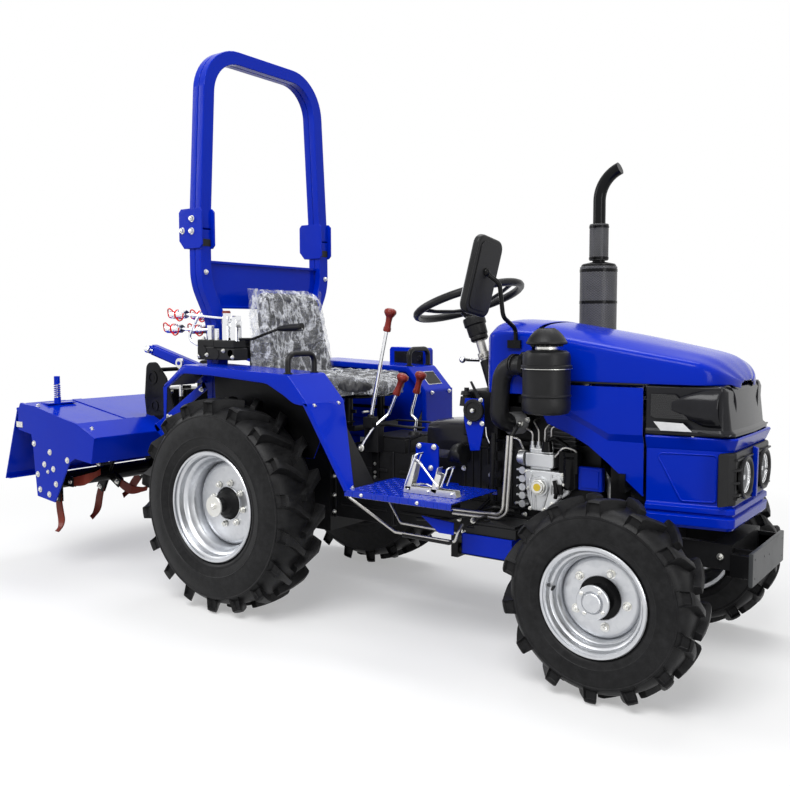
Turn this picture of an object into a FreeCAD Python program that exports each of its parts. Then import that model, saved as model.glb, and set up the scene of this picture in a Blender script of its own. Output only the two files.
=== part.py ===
import FreeCAD, Part
import math
import os

import Sketcher

from FreeCAD import Placement, Rotation, Vector

# A compact tractor with a rotary tiller on its three-point hitch.
# Everything is laid out from the point on the ground under the rear axle:
# X forward, Y to the tractor's left, Z up, in millimetres.  Each sub-part is
# then moved along X by rear_axle_x, so that the origin is the middle of the
# whole machine on the ground.

SIZES = [
    # where the origin is
    ("rear_axle_x", -264.085, "rear axle from the origin"),
    # running gear
    ("wheelbase", 1575.0, "rear axle to front axle"),
    ("rear_tyre_r", 430.0, "rear tyre to the lug tips"),
    ("rear_tyre_width", 236.0, "rear tyre over its sidewalls"),
    ("rear_track", 946.0, "between the middles of the rear tyres"),
    ("rear_bead_r", 203.0, "rear rim where the tyre sits"),
    ("rear_flange_r", 222.0, "rear rim over its flange"),
    ("rear_rim_half", 102.0, "middle of the rear rim to its edge"),
    ("rear_disc_hole_r", 65.0, "hole in the rear wheel disc"),
    ("rear_lugs", 18, "lugs on each side of a rear tyre"),
    ("rear_lug_length", 122.0, "rear lug along its bar"),
    ("rear_lug_width", 34.0, "rear lug across its bar"),
    ("rear_lug_height", 30.0, "rear lug above the carcass"),
    ("rear_lug_y", 60.0, "middle of a rear lug from the tyre's middle"),
    ("front_tyre_r", 315.0, "front tyre to the lug tips"),
    ("front_tyre_width", 164.0, "front tyre over its sidewalls"),
    ("front_track", 866.0, "between the middles of the front tyres"),
    ("front_bead_r", 152.0, "front rim where the tyre sits"),
    ("front_flange_r", 171.0, "front rim over its flange"),
    ("front_rim_half", 76.0, "middle of the front rim to its edge"),
    ("front_disc_hole_r", 60.0, "hole in the front wheel disc"),
    ("front_lugs", 14, "lugs on each side of a front tyre"),
    ("front_lug_length", 86.0, "front lug along its bar"),
    ("front_lug_width", 27.0, "front lug across its bar"),
    ("front_lug_height", 24.0, "front lug above the carcass"),
    ("front_lug_y", 41.0, "middle of a front lug from the tyre's middle"),
    ("lug_angle", 45.0, "lug bar from the tyre's circumference, degrees"),
    ("lug_root", 34.0, "how deep a lug reaches into the carcass"),
    ("bead_drop", 7.0, "rim barrel wall"),
    ("flange_wall", 8.0, "rim flange thickness"),
    ("disc_wall", 8.0, "wheel disc thickness"),
    ("seat_gap", 0.1, "gap between a tyre and its rim"),
    ("bead_lift", 3.0, "tyre's side above the rim flange"),
    ("turn_gap", 5.0, "face gap beside a turning piece"),
    ("shaft_gap", 0.05, "radial gap of a shaft in its bore"),
    # rear axle
    ("axle_tube_r", 60.0, "rear axle tube"),
    ("axle_tube_end", 448.0, "rear axle tube end from the middle"),
    ("axle_shaft_r", 30.0, "rear axle shaft"),
    ("axle_bore_depth", 70.0, "shaft bore in the rear axle tube"),
    ("rear_hub_r", 105.0, "rear hub flange"),
    ("rear_hub_wall", 14.0, "rear hub flange thickness"),
    ("rear_hub_boss_r", 56.0, "rear hub boss"),
    ("rear_hub_boss_out", 30.0, "rear hub boss beyond the disc"),
    ("rear_shaft_out", 78.0, "rear shaft beyond the wheel's middle"),
    ("rear_washer_r", 42.0, "washer on the rear shaft"),
    ("rear_washer_wall", 8.0, "washer thickness"),
    ("rear_bolt_circle_r", 86.0, "rear wheel bolts' circle"),
    ("rear_bolts", 8, "bolts in a rear wheel"),
    ("wheel_bolt_r", 11.0, "wheel bolt head"),
    ("wheel_bolt_head", 14.0, "wheel bolt head height"),
    ("drive_case_half", 150.0, "rear drive casing, half width"),
    ("drive_case_back", -185.0, "rear drive casing's back face"),
    ("drive_case_front", 260.0, "rear drive casing's front face"),
    ("drive_case_bottom", 290.0, "rear drive casing's bottom"),
    ("drive_case_top", 610.0, "rear drive casing's top"),
    # gearbox and engine
    ("gearbox_front", 900.0, "gearbox's front face"),
    ("gearbox_half", 125.0, "gearbox, half width"),
    ("gearbox_bottom", 350.0, "gearbox's bottom"),
    ("gearbox_top", 640.0, "gearbox's top"),
    ("engine_half", 135.0, "engine, half width"),
    ("engine_top", 730.0, "engine block's top"),
    ("sump_bottom", 312.0, "sump's bottom"),
    ("sump_top", 390.0, "sump's top"),
    ("head_top", 850.0, "cylinder head's top"),
    ("head_half", 105.0, "cylinder head, half width"),
    ("cover_top", 900.0, "rocker cover's top"),
    ("timing_back", 1171.0, "timing cover's back"),
    ("timing_front", 1336.0, "timing cover's front"),
    ("timing_bottom", 495.0, "timing cover's bottom"),
    ("timing_top", 640.0, "timing cover's top"),
    ("castings_y", 190.0, "outer face of the castings on the engine's right"),
    ("filler_x", 1242.0, "oil filler's middle"),
    ("filler_z", 585.0, "oil filler's middle"),
    ("filler_r", 30.0, "oil filler cap"),
    ("filler_out", 22.0, "oil filler cap beyond the castings"),
    ("pump_back", 1182.0, "injection pump's back"),
    ("pump_front", 1290.0, "injection pump's front"),
    ("pump_bottom", 650.0, "injection pump's bottom"),
    ("pump_top", 702.0, "injection pump's top"),
    ("filter_x", 1350.0, "filter's axis"),
    ("filter_y", 170.0, "filter's axis right of the middle"),
    ("filter_r", 28.0, "filter"),
    ("filter_bottom", 582.0, "filter's bottom"),
    ("filter_top", 711.0, "filter's top"),
    # front frame and bumper
    ("rail_inner", 142.0, "frame rail's inner face"),
    ("rail_outer", 166.0, "frame rail's outer face"),
    ("rail_bottom", 385.0, "frame rail's bottom"),
    ("rail_top", 465.0, "frame rail's top"),
    ("rail_back", 860.0, "frame rail's back end"),
    ("cross_half", 70.0, "front axle carrier, half length"),
    ("bumper_wall", 14.0, "bumper plate thickness"),
    ("bumper_half", 197.0, "bumper plate, half width"),
    ("bumper_bottom", 350.0, "bumper plate's bottom"),
    ("bumper_top", 455.0, "bumper plate's top"),
    # front axle and steering
    ("kingpin_y", 350.0, "kingpin from the middle"),
    ("kingpin_r", 18.0, "kingpin"),
    ("boss_r", 42.0, "kingpin boss on the axle beam"),
    ("boss_half", 40.0, "kingpin boss, half height"),
    ("beam_half_x", 34.0, "axle beam, half length"),
    ("beam_half_z", 33.0, "axle beam, half height"),
    ("carrier_half", 60.0, "front axle carrier, half width"),
    ("carrier_drop", 20.0, "front axle carrier below the axle beam"),
    ("front_drive_r", 22.0, "front drive shaft"),
    ("front_drive_y", 50.0, "front drive shaft right of the middle"),
    ("front_drive_drop", 35.0, "front drive shaft below the axle's middle"),
    ("transfer_case", 60.0, "length and width of the front drive's take-off"),
    ("ear_wall", 18.0, "knuckle ear thickness"),
    ("ear_half", 40.0, "knuckle ear, half width"),
    ("ear_inner", 38.0, "knuckle ear inboard of the kingpin"),
    ("web_inner", 48.0, "knuckle web's inner face from the kingpin"),
    ("web_wall", 18.0, "knuckle web thickness"),
    ("spindle_r", 22.0, "front wheel spindle"),
    ("spindle_length", 62.0, "front wheel spindle"),
    ("arm_back", 90.0, "tie-rod pin behind the kingpin"),
    ("arm_half", 15.0, "steering arm, half width"),
    ("tie_pin_r", 8.0, "tie-rod pin"),
    ("tie_eye_r", 18.0, "tie-rod eye"),
    ("tie_eye_drop", 3.0, "tie-rod eye below the steering arm"),
    ("tie_eye_height", 20.0, "tie-rod eye"),
    ("tie_rod_r", 8.5, "tie rod"),
    ("front_hub_r", 52.0, "front hub barrel"),
    ("front_hub_out", 66.0, "front hub beyond the wheel's middle"),
    ("front_hub_flange_r", 100.0, "front hub flange"),
    ("front_hub_flange_wall", 10.0, "front hub flange thickness"),
    ("front_disc_y", 10.0, "front disc outboard of the wheel's middle"),
    ("front_cap_r", 30.0, "front hub cap"),
    ("front_cap_height", 10.0, "front hub cap"),
    ("front_bolt_circle_r", 84.0, "front wheel bolts' circle"),
    ("front_bolts", 5, "bolts in a front wheel"),
    # hood
    ("hood_back", 1252.0, "hood's back edge"),
    ("hood_half", 250.0, "hood, half width"),
    ("lip_half", 234.0, "hood lip, half width"),
    ("tip_half", 90.0, "hood's front edge, half width"),
    ("hood_seam", 957.0, "hood's lower edge"),
    ("hood_wall", 5.0, "hood sheet as modelled"),
    ("back_crease", 1112.0, "hood crease at its back edge"),
    ("mid_crease", 1068.0, "hood crease in the middle"),
    ("fore_crease", 1038.0, "hood crease at the front section"),
    ("lip_crease", 1020.0, "hood crease at the lip"),
    ("tip_crease", 966.0, "hood crease at the front edge"),
    ("back_crest", 1153.0, "hood crest at its back edge"),
    ("mid_crest", 1111.0, "hood crest in the middle"),
    ("fore_crest", 1073.0, "hood crest at the front section"),
    ("lip_crest", 1046.0, "hood crest at the lip"),
    ("tip_crest", 973.0, "hood crest at the front edge"),
    ("hinge_z", 1124.0, "hood hinge height"),
    ("hinge_in", 38.0, "hood hinge ahead of the hood's back edge"),
    ("hinge_half", 120.0, "hood hinge rod, half length"),
    ("hinge_r", 5.0, "hood hinge rod"),
    ("hinge_lug", 20.0, "hood hinge lug thickness"),
    ("hinge_drop", 80.0, "cowl's hinge arms below the hinge"),
    ("hinge_gap", 15.0, "gap behind the hood"),
    ("panel_gap", 11.0, "gap under the hood's side"),
    ("nose_corner_half", 217.0, "nose corner, half width"),
    ("nose_front_half", 200.0, "nose front face, half width"),
    ("nose_bottom", 513.0, "nose's bottom edge"),
    ("nose_step", 577.0, "nose where its lower band begins"),
    ("nose_step_half", 214.0, "nose lower band, half width"),
    ("lamp_bottom", 797.0, "headlamp band's bottom"),
    ("grille_bottom", 590.0, "grille's bottom"),
    ("grille_top", 766.0, "grille's top"),
    ("grille_half", 172.0, "grille, half width"),
    ("grille_depth", 30.0, "grille from front to back"),
    ("grille_rim", 12.0, "grille's raised edge and slats"),
    ("grille_slats", 3, "slats of the grille"),
    ("lamp_y", 156.0, "headlamp from the middle"),
    ("lamp_z", 883.0, "headlamp's middle"),
    ("lamp_r", 42.0, "headlamp"),
    ("lamp_out", 16.0, "headlamp ahead of its band"),
    ("low_lamp_y", 112.0, "lower lamp from the middle"),
    ("low_lamp_z", 672.0, "lower lamp's middle"),
    ("low_lamp_r", 36.0, "lower lamp"),
    ("seam_gap", 6.0, "seam beside the hood's moving panels"),
    # side panels
    ("panel_wall", 4.0, "side panel sheet"),
    ("panel_step_x", 1289.0, "side panel's lower edge, first corner"),
    ("panel_step_z", 885.0, "side panel's lower edge, first corner"),
    ("panel_mid_z", 755.0, "side panel's lower edge, second corner"),
    ("panel_low_z", 596.0, "side panel's lowest corner"),
    ("radiator_half", 190.0, "radiator, half width"),
    ("radiator_bottom", 490.0, "radiator's bottom"),
    ("radiator_top", 925.0, "radiator's top"),
    # dash and steering column
    ("cowl_back", 1020.0, "cowl's back face"),
    ("cowl_corner", 1085.0, "cowl where its back corner ends"),
    ("cowl_bottom", 905.0, "cowl's bottom"),
    ("cowl_back_half", 165.0, "cowl's back face, half width"),
    ("cowl_crease", 1120.0, "cowl's side top"),
    ("cowl_crest", 1162.0, "cowl's crest"),
    ("support_front", 1060.0, "cowl support's front face"),
    ("head_back", 1066.0, "cylinder head's back face"),
    ("support_half", 165.0, "cowl support, half width"),
    ("clutch_back", 720.0, "clutch casing's back"),
    ("clutch_half", 125.0, "clutch casing, half width"),
    ("clutch_bottom", 675.0, "clutch casing's bottom"),
    ("clutch_top", 785.0, "clutch casing's top"),
    ("side_plate_y", 208.0, "bracket plate beside the cowl support, outer face"),
    ("side_plate_wall", 8.0, "bracket plate beside the cowl support"),
    ("side_plate_back", 945.0, "bracket plate's upper back corner"),
    ("side_plate_front", 1026.0, "bracket plate's upper front corner"),
    ("side_plate_top", 880.0, "bracket plate's top"),
    ("side_plate_bottom", 694.0, "bracket plate's bottom"),
    ("side_plate_taper", 20.0, "bracket plate's corners, further in at the bottom"),
    ("switch_x", 990.0, "round switch on the bracket plate"),
    ("switch_z", 838.0, "round switch on the bracket plate"),
    ("switch_r", 40.0, "round switch"),
    ("switch_out", 14.0, "round switch beyond its plate"),
    ("wheel_tilt", 18.95, "steering column from upright, degrees"),
    ("steer_x", 837.0, "steering wheel's middle"),
    ("steer_z", 1235.0, "steering wheel's middle"),
    ("steer_r", 206.0, "steering wheel, middle of its rim"),
    ("steer_grip_r", 15.0, "steering wheel rim section"),
    ("steer_spokes", 3, "spokes of the steering wheel"),
    ("spoke_r", 9.0, "spoke"),
    ("steer_hub_r", 36.0, "steering wheel hub"),
    ("steer_hub_down", 40.0, "steering hub below the rim"),
    ("column_r", 28.0, "steering column"),
    ("column_length", 455.0, "steering column and its shaft"),
    ("steer_shaft_r", 12.0, "steering shaft"),
    # air cleaner, exhaust and mirror
    ("cleaner_x", 1343.0, "air cleaner's axis"),
    ("cleaner_y", 350.0, "air cleaner's axis right of the middle"),
    ("cleaner_r", 80.0, "air cleaner can"),
    ("cleaner_bottom", 856.0, "air cleaner can's bottom"),
    ("cleaner_top", 1062.0, "air cleaner can's top"),
    ("cleaner_neck_r", 34.0, "air cleaner neck"),
    ("cleaner_cap_r", 66.0, "air cleaner's rain cap"),
    ("cleaner_cap_wall", 50.0, "air cleaner's rain cap, height"),
    ("cleaner_cap_top", 1133.0, "air cleaner's rain cap, top"),
    ("hose_r", 34.0, "intake hose"),
    ("hose_back", 1122.0, "intake hose where it runs down"),
    ("hose_bottom", 800.0, "intake hose's lower end"),
    ("muffler_x", 1222.0, "exhaust's axis"),
    ("muffler_y", 335.0, "exhaust's axis left of the middle"),
    ("muffler_r", 71.0, "muffler"),
    ("muffler_bottom", 1090.0, "muffler's bottom"),
    ("muffler_top", 1379.0, "muffler's top"),
    ("sleeve_r", 36.0, "heat guard around the exhaust pipe"),
    ("sleeve_top", 1531.0, "heat guard's top"),
    ("exhaust_pipe_r", 24.0, "exhaust pipe"),
    ("exhaust_elbow_z", 1640.0, "exhaust pipe where it bends"),
    ("exhaust_out", 70.0, "exhaust outlet ahead of its axis"),
    ("exhaust_top", 1740.0, "exhaust outlet"),
    ("header_z", 800.0, "exhaust header from the engine"),
    ("mirror_x", 1128.0, "mirror's middle"),
    ("mirror_y", 400.0, "mirror right of the middle"),
    ("mirror_bottom", 1170.0, "mirror's bottom"),
    ("mirror_top", 1436.0, "mirror's top"),
    ("mirror_half", 76.0, "mirror, half width"),
    ("mirror_wall", 34.0, "mirror thickness"),
    ("mirror_arm_r", 8.0, "mirror arm"),
    ("mirror_foot_x", 1165.0, "mirror arm's foot"),
    ("mirror_foot_z", 1084.0, "mirror arm's foot"),
    # seat
    ("seat_half", 223.0, "seat, half width"),
    ("seat_round", 130.0, "seat cushion's front corners"),
    ("seat_back_x", -10.0, "seat cushion's back edge"),
    ("seat_front_x", 462.0, "seat cushion's front edge"),
    ("cushion_bottom", 862.0, "seat cushion's bottom"),
    ("cushion_top", 952.0, "seat cushion's top"),
    ("back_bottom_x", -10.3, "back cushion's lower front edge"),
    ("back_top_x", -92.0, "back cushion's upper front edge"),
    ("back_wall", 70.0, "back cushion thickness"),
    ("back_top_z", 1290.0, "back cushion's top"),
    ("back_top_half", 182.0, "back cushion at its top, half width"),
    ("seat_base_top", 861.7, "seat base's top"),
    ("seat_base_bottom", 715.0, "seat base's bottom"),
    ("seat_base_half", 150.0, "seat base, half width"),
    # fenders and footboards
    ("fender_inner", 283.0, "fender's inner edge from the middle"),
    ("fender_outer", 500.0, "fender's outer edge from the middle"),
    ("fender_wall", 5.0, "fender sheet"),
    ("fender_lip", 26.0, "fender's folded outer edge"),
    ("fender_side_run", 120.0, "fender side wall's lower edge ahead of the drive casing"),
    ("fender_tip_x", -354.0, "fender's rear tip"),
    ("fender_tip_z", 898.0, "fender's rear tip"),
    ("fender_rear_x", -232.0, "fender's rear bend"),
    ("fender_deck_z", 985.0, "fender deck"),
    ("fender_front_x", 350.0, "fender's front bend"),
    ("fender_front_z", 960.0, "fender's front bend"),
    ("fender_knee_x", 448.0, "fender's knee"),
    ("fender_knee_z", 855.0, "fender's knee"),
    ("fender_foot_x", 640.0, "fender plate's foot"),
    ("fender_foot_z", 555.0, "fender plate's foot"),
    ("apron_inner", 462.0, "fender plate's inner edge at its foot"),
    ("left_foot_x", 452.0, "left fender plate's foot"),
    ("fender_side_y", 332.0, "fender's side wall from the middle"),
    ("fender_side_bottom", 620.0, "fender side wall's bottom"),
    ("handle_x", 330.0, "grab handle across the fender"),
    ("handle_inner", 323.0, "grab handle's inner leg from the middle"),
    ("handle_outer", 473.0, "grab handle's outer leg from the middle"),
    ("handle_rise", 1.5, "grab handle's feet above the fender's front bend"),
    ("handle_top", 1036.0, "grab handle's top"),
    ("handle_r", 11.0, "grab handle tube"),
    ("handle_bend", 34.0, "grab handle's bend"),
    ("box_back", 105.0, "left fender box's back"),
    ("box_front", 315.0, "left fender box's front"),
    ("box_top", 1042.0, "left fender box's top"),
    ("box_inner", 478.0, "left fender box's inner face"),
    ("box_outer", 540.0, "left fender box's outer face"),
    ("board_back", 622.0, "footboard's back edge"),
    ("board_front", 1075.0, "footboard's front edge"),
    ("board_inner", 190.0, "footboard's inner edge"),
    ("board_outer", 500.0, "footboard's outer edge"),
    ("board_top", 555.0, "footboard's top"),
    ("board_wall", 6.0, "footboard sheet"),
    ("board_lip", 24.0, "footboard's folded edge"),
    ("hanger_wall", 40.0, "footboard hanger"),
    ("hanger_z", 520.0, "footboard hanger's bottom"),
    ("hanger_in", 70.0, "footboard hangers in from its edges"),
    # roll bar
    ("rops_x", -250.0, "roll bar's middle plane"),
    ("rops_half_x", 35.0, "roll bar tube, half depth"),
    ("rops_tube", 60.0, "roll bar tube, width"),
    ("rops_fold_gap", 3.0, "between the hoop's foot and its bracket plates"),
    ("rops_foot_y", 262.0, "roll bar post's foot, inner face"),
    ("rops_foot_z", 470.0, "roll bar post's foot"),
    ("rops_bend_z", 1165.0, "roll bar post where it leans out"),
    ("rops_wide_z", 1330.0, "roll bar post where it is widest"),
    ("rops_wide_y", 347.0, "roll bar post's inner face at its widest"),
    ("rops_pivot_z", 1503.0, "roll bar's folding pivot"),
    ("rops_pivot_back", 62.0, "folding pivot behind the roll bar's plane"),
    ("rops_split_z", 1545.0, "roll bar where its upper part begins"),
    ("rops_split_gap", 2.0, "gap between the roll bar's two parts"),
    ("rops_top_y", 306.0, "upper hoop's inner face at its top corner"),
    ("rops_top_z", 2316.0, "roll bar's top"),
    ("rops_corner_r", 200.0, "roll bar corner, outside"),
    ("rops_panel_bottom", 1222.0, "roll bar cross panel's bottom"),
    ("rops_panel_top", 1418.0, "roll bar cross panel's top"),
    ("rops_panel_wall", 8.0, "roll bar cross panel"),
    ("bracket_wall", 8.0, "roll bar bracket plate"),
    ("bracket_front", 52.0, "roll bar bracket ahead of the plane"),
    ("bracket_back", 88.0, "roll bar bracket behind the plane"),
    ("bracket_bottom", 1466.0, "roll bar bracket's bottom"),
    ("bracket_top", 1632.0, "roll bar bracket's top"),
    ("pivot_pin_r", 9.0, "folding pivot pin"),
    # levers, pedals and hydraulics
    ("lever_r", 7.0, "lever rod"),
    ("knob_r", 19.0, "lever knob"),
    ("knob_height", 55.0, "lever knob"),
    ("tall_foot_x", 486.0, "tall lever's foot"),
    ("tall_y", 165.0, "tall lever right of the middle"),
    ("tall_top_x", 567.0, "tall lever's top"),
    ("tall_foot_z", 780.0, "tall lever's foot"),
    ("tall_top_z", 1125.0, "tall lever's rod top"),
    ("mid_foot_x", 520.0, "gear lever's foot"),
    ("mid_y", 110.0, "gear lever right of the middle"),
    ("mid_top_x", 640.0, "gear lever's top"),
    ("mid_top_z", 890.0, "gear lever's rod top"),
    ("far_foot_x", 580.0, "range lever's foot"),
    ("far_top_x", 612.0, "range lever's top"),
    ("far_top_z", 885.0, "range lever's rod top"),
    ("console_back", 430.0, "lever console's back"),
    ("console_front", 620.0, "lever console's front"),
    ("console_half", 120.0, "lever console, half width"),
    ("console_top", 700.0, "lever console's top"),
    ("pedal_back", 824.0, "pedal frame's back"),
    ("pedal_front", 1045.0, "pedal frame's front"),
    ("pedal_y", 402.0, "pedal frame from the middle"),
    ("pedal_half", 16.0, "pedal frame, half width"),
    ("pedal_bar", 24.0, "pedal frame bar"),
    ("pedal_top", 690.0, "pedal frame's top"),
    ("pad_back", 731.0, "bracket plate's back"),
    ("pad_front", 833.0, "bracket plate's front"),
    ("pad_top", 703.0, "bracket plate's top"),
    ("battery_back", 1013.0, "battery box's back"),
    ("battery_front", 1215.0, "battery box's front"),
    ("battery_inner", 172.0, "battery box's inner face"),
    ("battery_outer", 332.0, "battery box's outer face"),
    ("battery_bottom", 345.0, "battery tray's bottom"),
    ("battery_split", 418.0, "battery tray's rim"),
    ("battery_top", 462.0, "battery's top"),
    ("cell_back", 1059.0, "battery's back"),
    ("cell_front", 1222.0, "battery's front"),
    ("lift_back", -300.0, "lift casting's back"),
    ("lift_front", 120.0, "lift casting's front"),
    ("lift_half", 140.0, "lift casting, half width"),
    ("lift_top", 715.0, "lift casting's top"),
    ("valve_back", -340.0, "control valve's back"),
    ("valve_front", -185.0, "control valve's front"),
    ("valve_arm_front", -100.0, "control valve's front beside the seat"),
    ("valve_arm_left", 296.0, "control valve's part beside the seat, its left side"),
    ("valve_right", 372.0, "control valve's right side from the middle"),
    ("valve_left", 60.0, "control valve's left side from the middle"),
    ("valve_bottom", 1000.0, "control valve's bottom"),
    ("valve_top", 1090.0, "control valve's top"),
    ("coupler_z", 1126.0, "upper hydraulic couplers"),
    ("coupler_low_z", 1070.0, "lower hydraulic couplers"),
    ("coupler_r", 18.0, "hydraulic coupler"),
    ("coupler_back", -535.0, "hydraulic couplers' outer ends"),
    ("coupler_y", 345.0, "outer hydraulic couplers from the middle"),
    ("coupler_pitch", 106.0, "between outer and inner hydraulic couplers"),
    ("stack_x", -221.0, "upright fitting on the valve"),
    ("stack_top", 1144.0, "outer upright fitting's top"),
    ("stack_drop", 8.0, "inner upright fitting below the outer one"),
    # three-point hitch
    ("lower_pivot_x", -160.0, "lower links' pivot"),
    ("lower_pivot_z", 400.0, "lower links' pivot"),
    ("lower_end_x", -662.0, "lower links' rear pins"),
    ("lower_end_z", 505.0, "lower links' rear pins"),
    ("lower_y", 236.0, "lower links from the middle"),
    ("link_half", 11.0, "lower link, half thickness"),
    ("link_bar", 32.0, "lower link, half height"),
    ("link_pin_r", 12.0, "lower link pins"),
    ("top_pivot_x", -345.0, "top link's pivot"),
    ("top_pivot_z", 830.0, "top link's pivot"),
    ("top_end_x", -790.0, "top link's rear pin"),
    ("top_end_z", 935.0, "top link's rear pin"),
    ("top_link_r", 15.0, "top link tube"),
    ("top_eye_r", 27.0, "top link eye"),
    ("top_eye_half", 15.0, "top link eye, half width"),
    ("top_pin_r", 10.0, "top link pins"),
    ("loop_gap", 3.5, "play in the eyes where a linkage is opened"),
    ("arm_pivot_x", -262.0, "lift arms' shaft"),
    ("arm_pivot_z", 905.0, "lift arms' shaft"),
    ("arm_end_x", -740.0, "lift arms' ends"),
    ("arm_end_z", 1034.0, "lift arms' ends"),
    ("arm_y", 236.0, "lift arms from the middle"),
    ("arm_bar", 24.0, "lift arm, half height"),
    ("arm_wall_half", 14.0, "lift arm, half thickness"),
    ("lift_shaft_r", 24.0, "lift arms' shaft"),
    ("rod_share", 0.55, "lift rod's eye along the arm, as a share of it"),
    ("lift_rod_r", 8.0, "lift rod"),
    ("lift_eye_r", 22.0, "lift rod eye"),
    ("lift_eye_half", 10.0, "lift rod eye, half width"),
    ("lift_pin_r", 9.0, "lift rod pins"),
    # tiller
    ("tiller_half", 610.0, "tiller, half width over its side plates"),
    ("tiller_wall", 8.0, "tiller side plates"),
    ("hood_sheet", 6.0, "tiller deck sheet"),
    ("deck_back_x", -1291.0, "tiller deck's back edge"),
    ("deck_back_z", 745.0, "tiller deck's back edge"),
    ("deck_top_x", -1270.0, "tiller deck's rear top edge"),
    ("deck_top_z", 780.0, "tiller deck's rear top edge"),
    ("deck_bend_x", -838.0, "tiller deck's bend"),
    ("deck_bend_z", 708.0, "tiller deck's bend"),
    ("deck_front_x", -702.0, "tiller deck's front edge"),
    ("deck_front_z", 652.0, "tiller deck's front edge"),
    ("deck_low_x", -727.0, "tiller deck's lower front edge"),
    ("deck_low_z", 540.0, "tiller deck's lower front edge"),
    ("side_low_x", -928.0, "side plate's lower front corner"),
    ("side_low_z", 458.0, "side plate's lower front corner"),
    ("side_foot_x", -1022.0, "side plate's lowest corner"),
    ("side_foot_z", 332.0, "side plate's lowest corner"),
    ("side_heel_x", -1140.0, "side plate's heel"),
    ("side_heel_z", 345.0, "side plate's heel"),
    ("side_back_x", -1187.0, "side plate's rear lower corner"),
    ("side_back_z", 447.0, "side plate's rear lower corner"),
    ("side_rear_z", 640.0, "side plate's rear notch"),
    ("rotor_x", -1075.0, "rotor's axis"),
    ("rotor_z", 424.0, "rotor's axis"),
    ("rotor_tube_r", 38.0, "rotor tube"),
    ("tine_r", 246.0, "rotor over its tine tips"),
    ("tine_wall", 9.0, "tine thickness"),
    ("tine_width", 34.0, "tine blade width"),
    ("tine_foot", 46.0, "tine's sideways foot"),
    ("tine_ring_r", 78.0, "rotor flange"),
    ("rotor_rings", 5, "rotor flanges"),
    ("ring_tines", 4, "tines on a rotor flange"),
    ("rotor_stub_r", 20.0, "rotor stub shaft"),
    ("rotor_side_gap", 12.0, "rotor tube from the side plates"),
    ("gear_case_half", 85.0, "tiller gear case, half width"),
    ("gear_case_back", -900.0, "tiller gear case's back"),
    ("gear_case_front", -690.0, "tiller gear case's front"),
    ("gear_case_top", 840.0, "tiller gear case's top"),
    ("gear_case_z", 600.0, "tiller input shaft"),
    ("headstock_y", 205.0, "headstock plate from the middle"),
    ("headstock_wall", 12.0, "headstock plate"),
    ("headstock_back", -850.0, "headstock plate's back"),
    ("headstock_front", -700.0, "headstock plate's front"),
    ("headstock_top", 973.0, "headstock plate's top"),
    ("beam_half", 28.0, "tiller cross tube, half width"),
    ("beam_x", -770.0, "tiller cross tube"),
    ("beam_z", 622.0, "tiller cross tube"),
    ("flap_hinge_x", -1303.0, "tail board's hinge"),
    ("flap_hinge_z", 752.0, "tail board's hinge"),
    ("flap_low_x", -1424.0, "tail board's lower edge"),
    ("flap_low_z", 409.0, "tail board's lower edge"),
    ("flap_wall", 6.0, "tail board sheet"),
    ("flap_pin_r", 8.0, "tail board's hinge rod"),
    ("flap_lug_r", 15.0, "tail board's hinge lug"),
    ("flap_lug_half", 12.0, "tail board's hinge lug, half width"),
    ("flap_lug_y", 480.0, "outer hinge lugs from the middle"),
    ("screw_x", -1205.0, "depth rod"),
    ("screw_y", 446.0, "depth rod from the middle"),
    ("screw_r", 9.0, "depth rod"),
    ("screw_top", 905.0, "depth rod's top"),
    ("spring_r", 20.0, "depth rod's spring"),
    ("spring_top", 868.0, "depth rod spring's top"),
    ("shaft_tube_r", 20.0, "drive shaft tube"),
    ("power_x", -255.0, "power take-off's end"),
    ("power_z", 470.0, "power take-off"),
    ("power_r", 17.0, "power take-off shaft"),
    ("yoke_pin_r", 8.0, "drive shaft's cross pin"),
    ("input_out", 30.0, "tiller's input stub ahead of its case"),
    ("shaft_open_gap", 18.0, "drive shaft's open end from the tiller's input stub"),
]

# Pieces that go with the front axle, measured ahead of it.
FRONT_PLACES = [
    ("engine_front", -135.0, "engine's front face"),
    ("rail_front", 310.0, "frame rail's front end"),
    ("bumper_x", 366.0, "bumper plate's back face"),
    ("hood_mid", -56.0, "hood, middle section"),
    ("hood_fore", 125.0, "hood, front section"),
    ("hood_lip", 225.0, "hood where the lip begins"),
    ("hood_tip", 303.0, "hood's front edge"),
    ("nose_back", 57.0, "nose's back edge"),
    ("nose_front", 328.0, "nose's front face"),
    ("nose_corner_x", 307.0, "nose where its corner begins"),
    ("panel_mid_x", -88.0, "side panel's lower edge, second corner"),
    ("panel_low_x", 25.0, "side panel's lowest corner"),
    ("radiator_back", -75.0, "radiator's back face"),
    ("radiator_front", -5.0, "radiator's front face"),
]


class Size:
    """A number together with the sheet expression that gives it."""

    def __init__(self, number, text):
        self.number = number
        self.text = text

    def combined(self, other, sign, result):
        other = as_size(other)
        return Size(result(self.number, other.number), f"({self.text} {sign} {other.text})")

    def __add__(self, other):
        return self.combined(other, "+", lambda a, b: a + b)

    def __sub__(self, other):
        return self.combined(other, "-", lambda a, b: a - b)

    def __mul__(self, other):
        return self.combined(other, "*", lambda a, b: a * b)

    def __truediv__(self, other):
        return self.combined(other, "/", lambda a, b: a / b)

    def __neg__(self):
        return Size(-self.number, f"(0 - {self.text})")

    def __radd__(self, other):
        return as_size(other) + self

    def __rsub__(self, other):
        return as_size(other) - self

    def __rmul__(self, other):
        return as_size(other) * self

    def root(self):
        return Size(math.sqrt(self.number), f"sqrt({self.text})")


def as_size(value):
    """A Size as it is, or a plain number as a Size."""
    if isinstance(value, Size):
        return value
    return Size(float(value), f"({value!r})")


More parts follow.
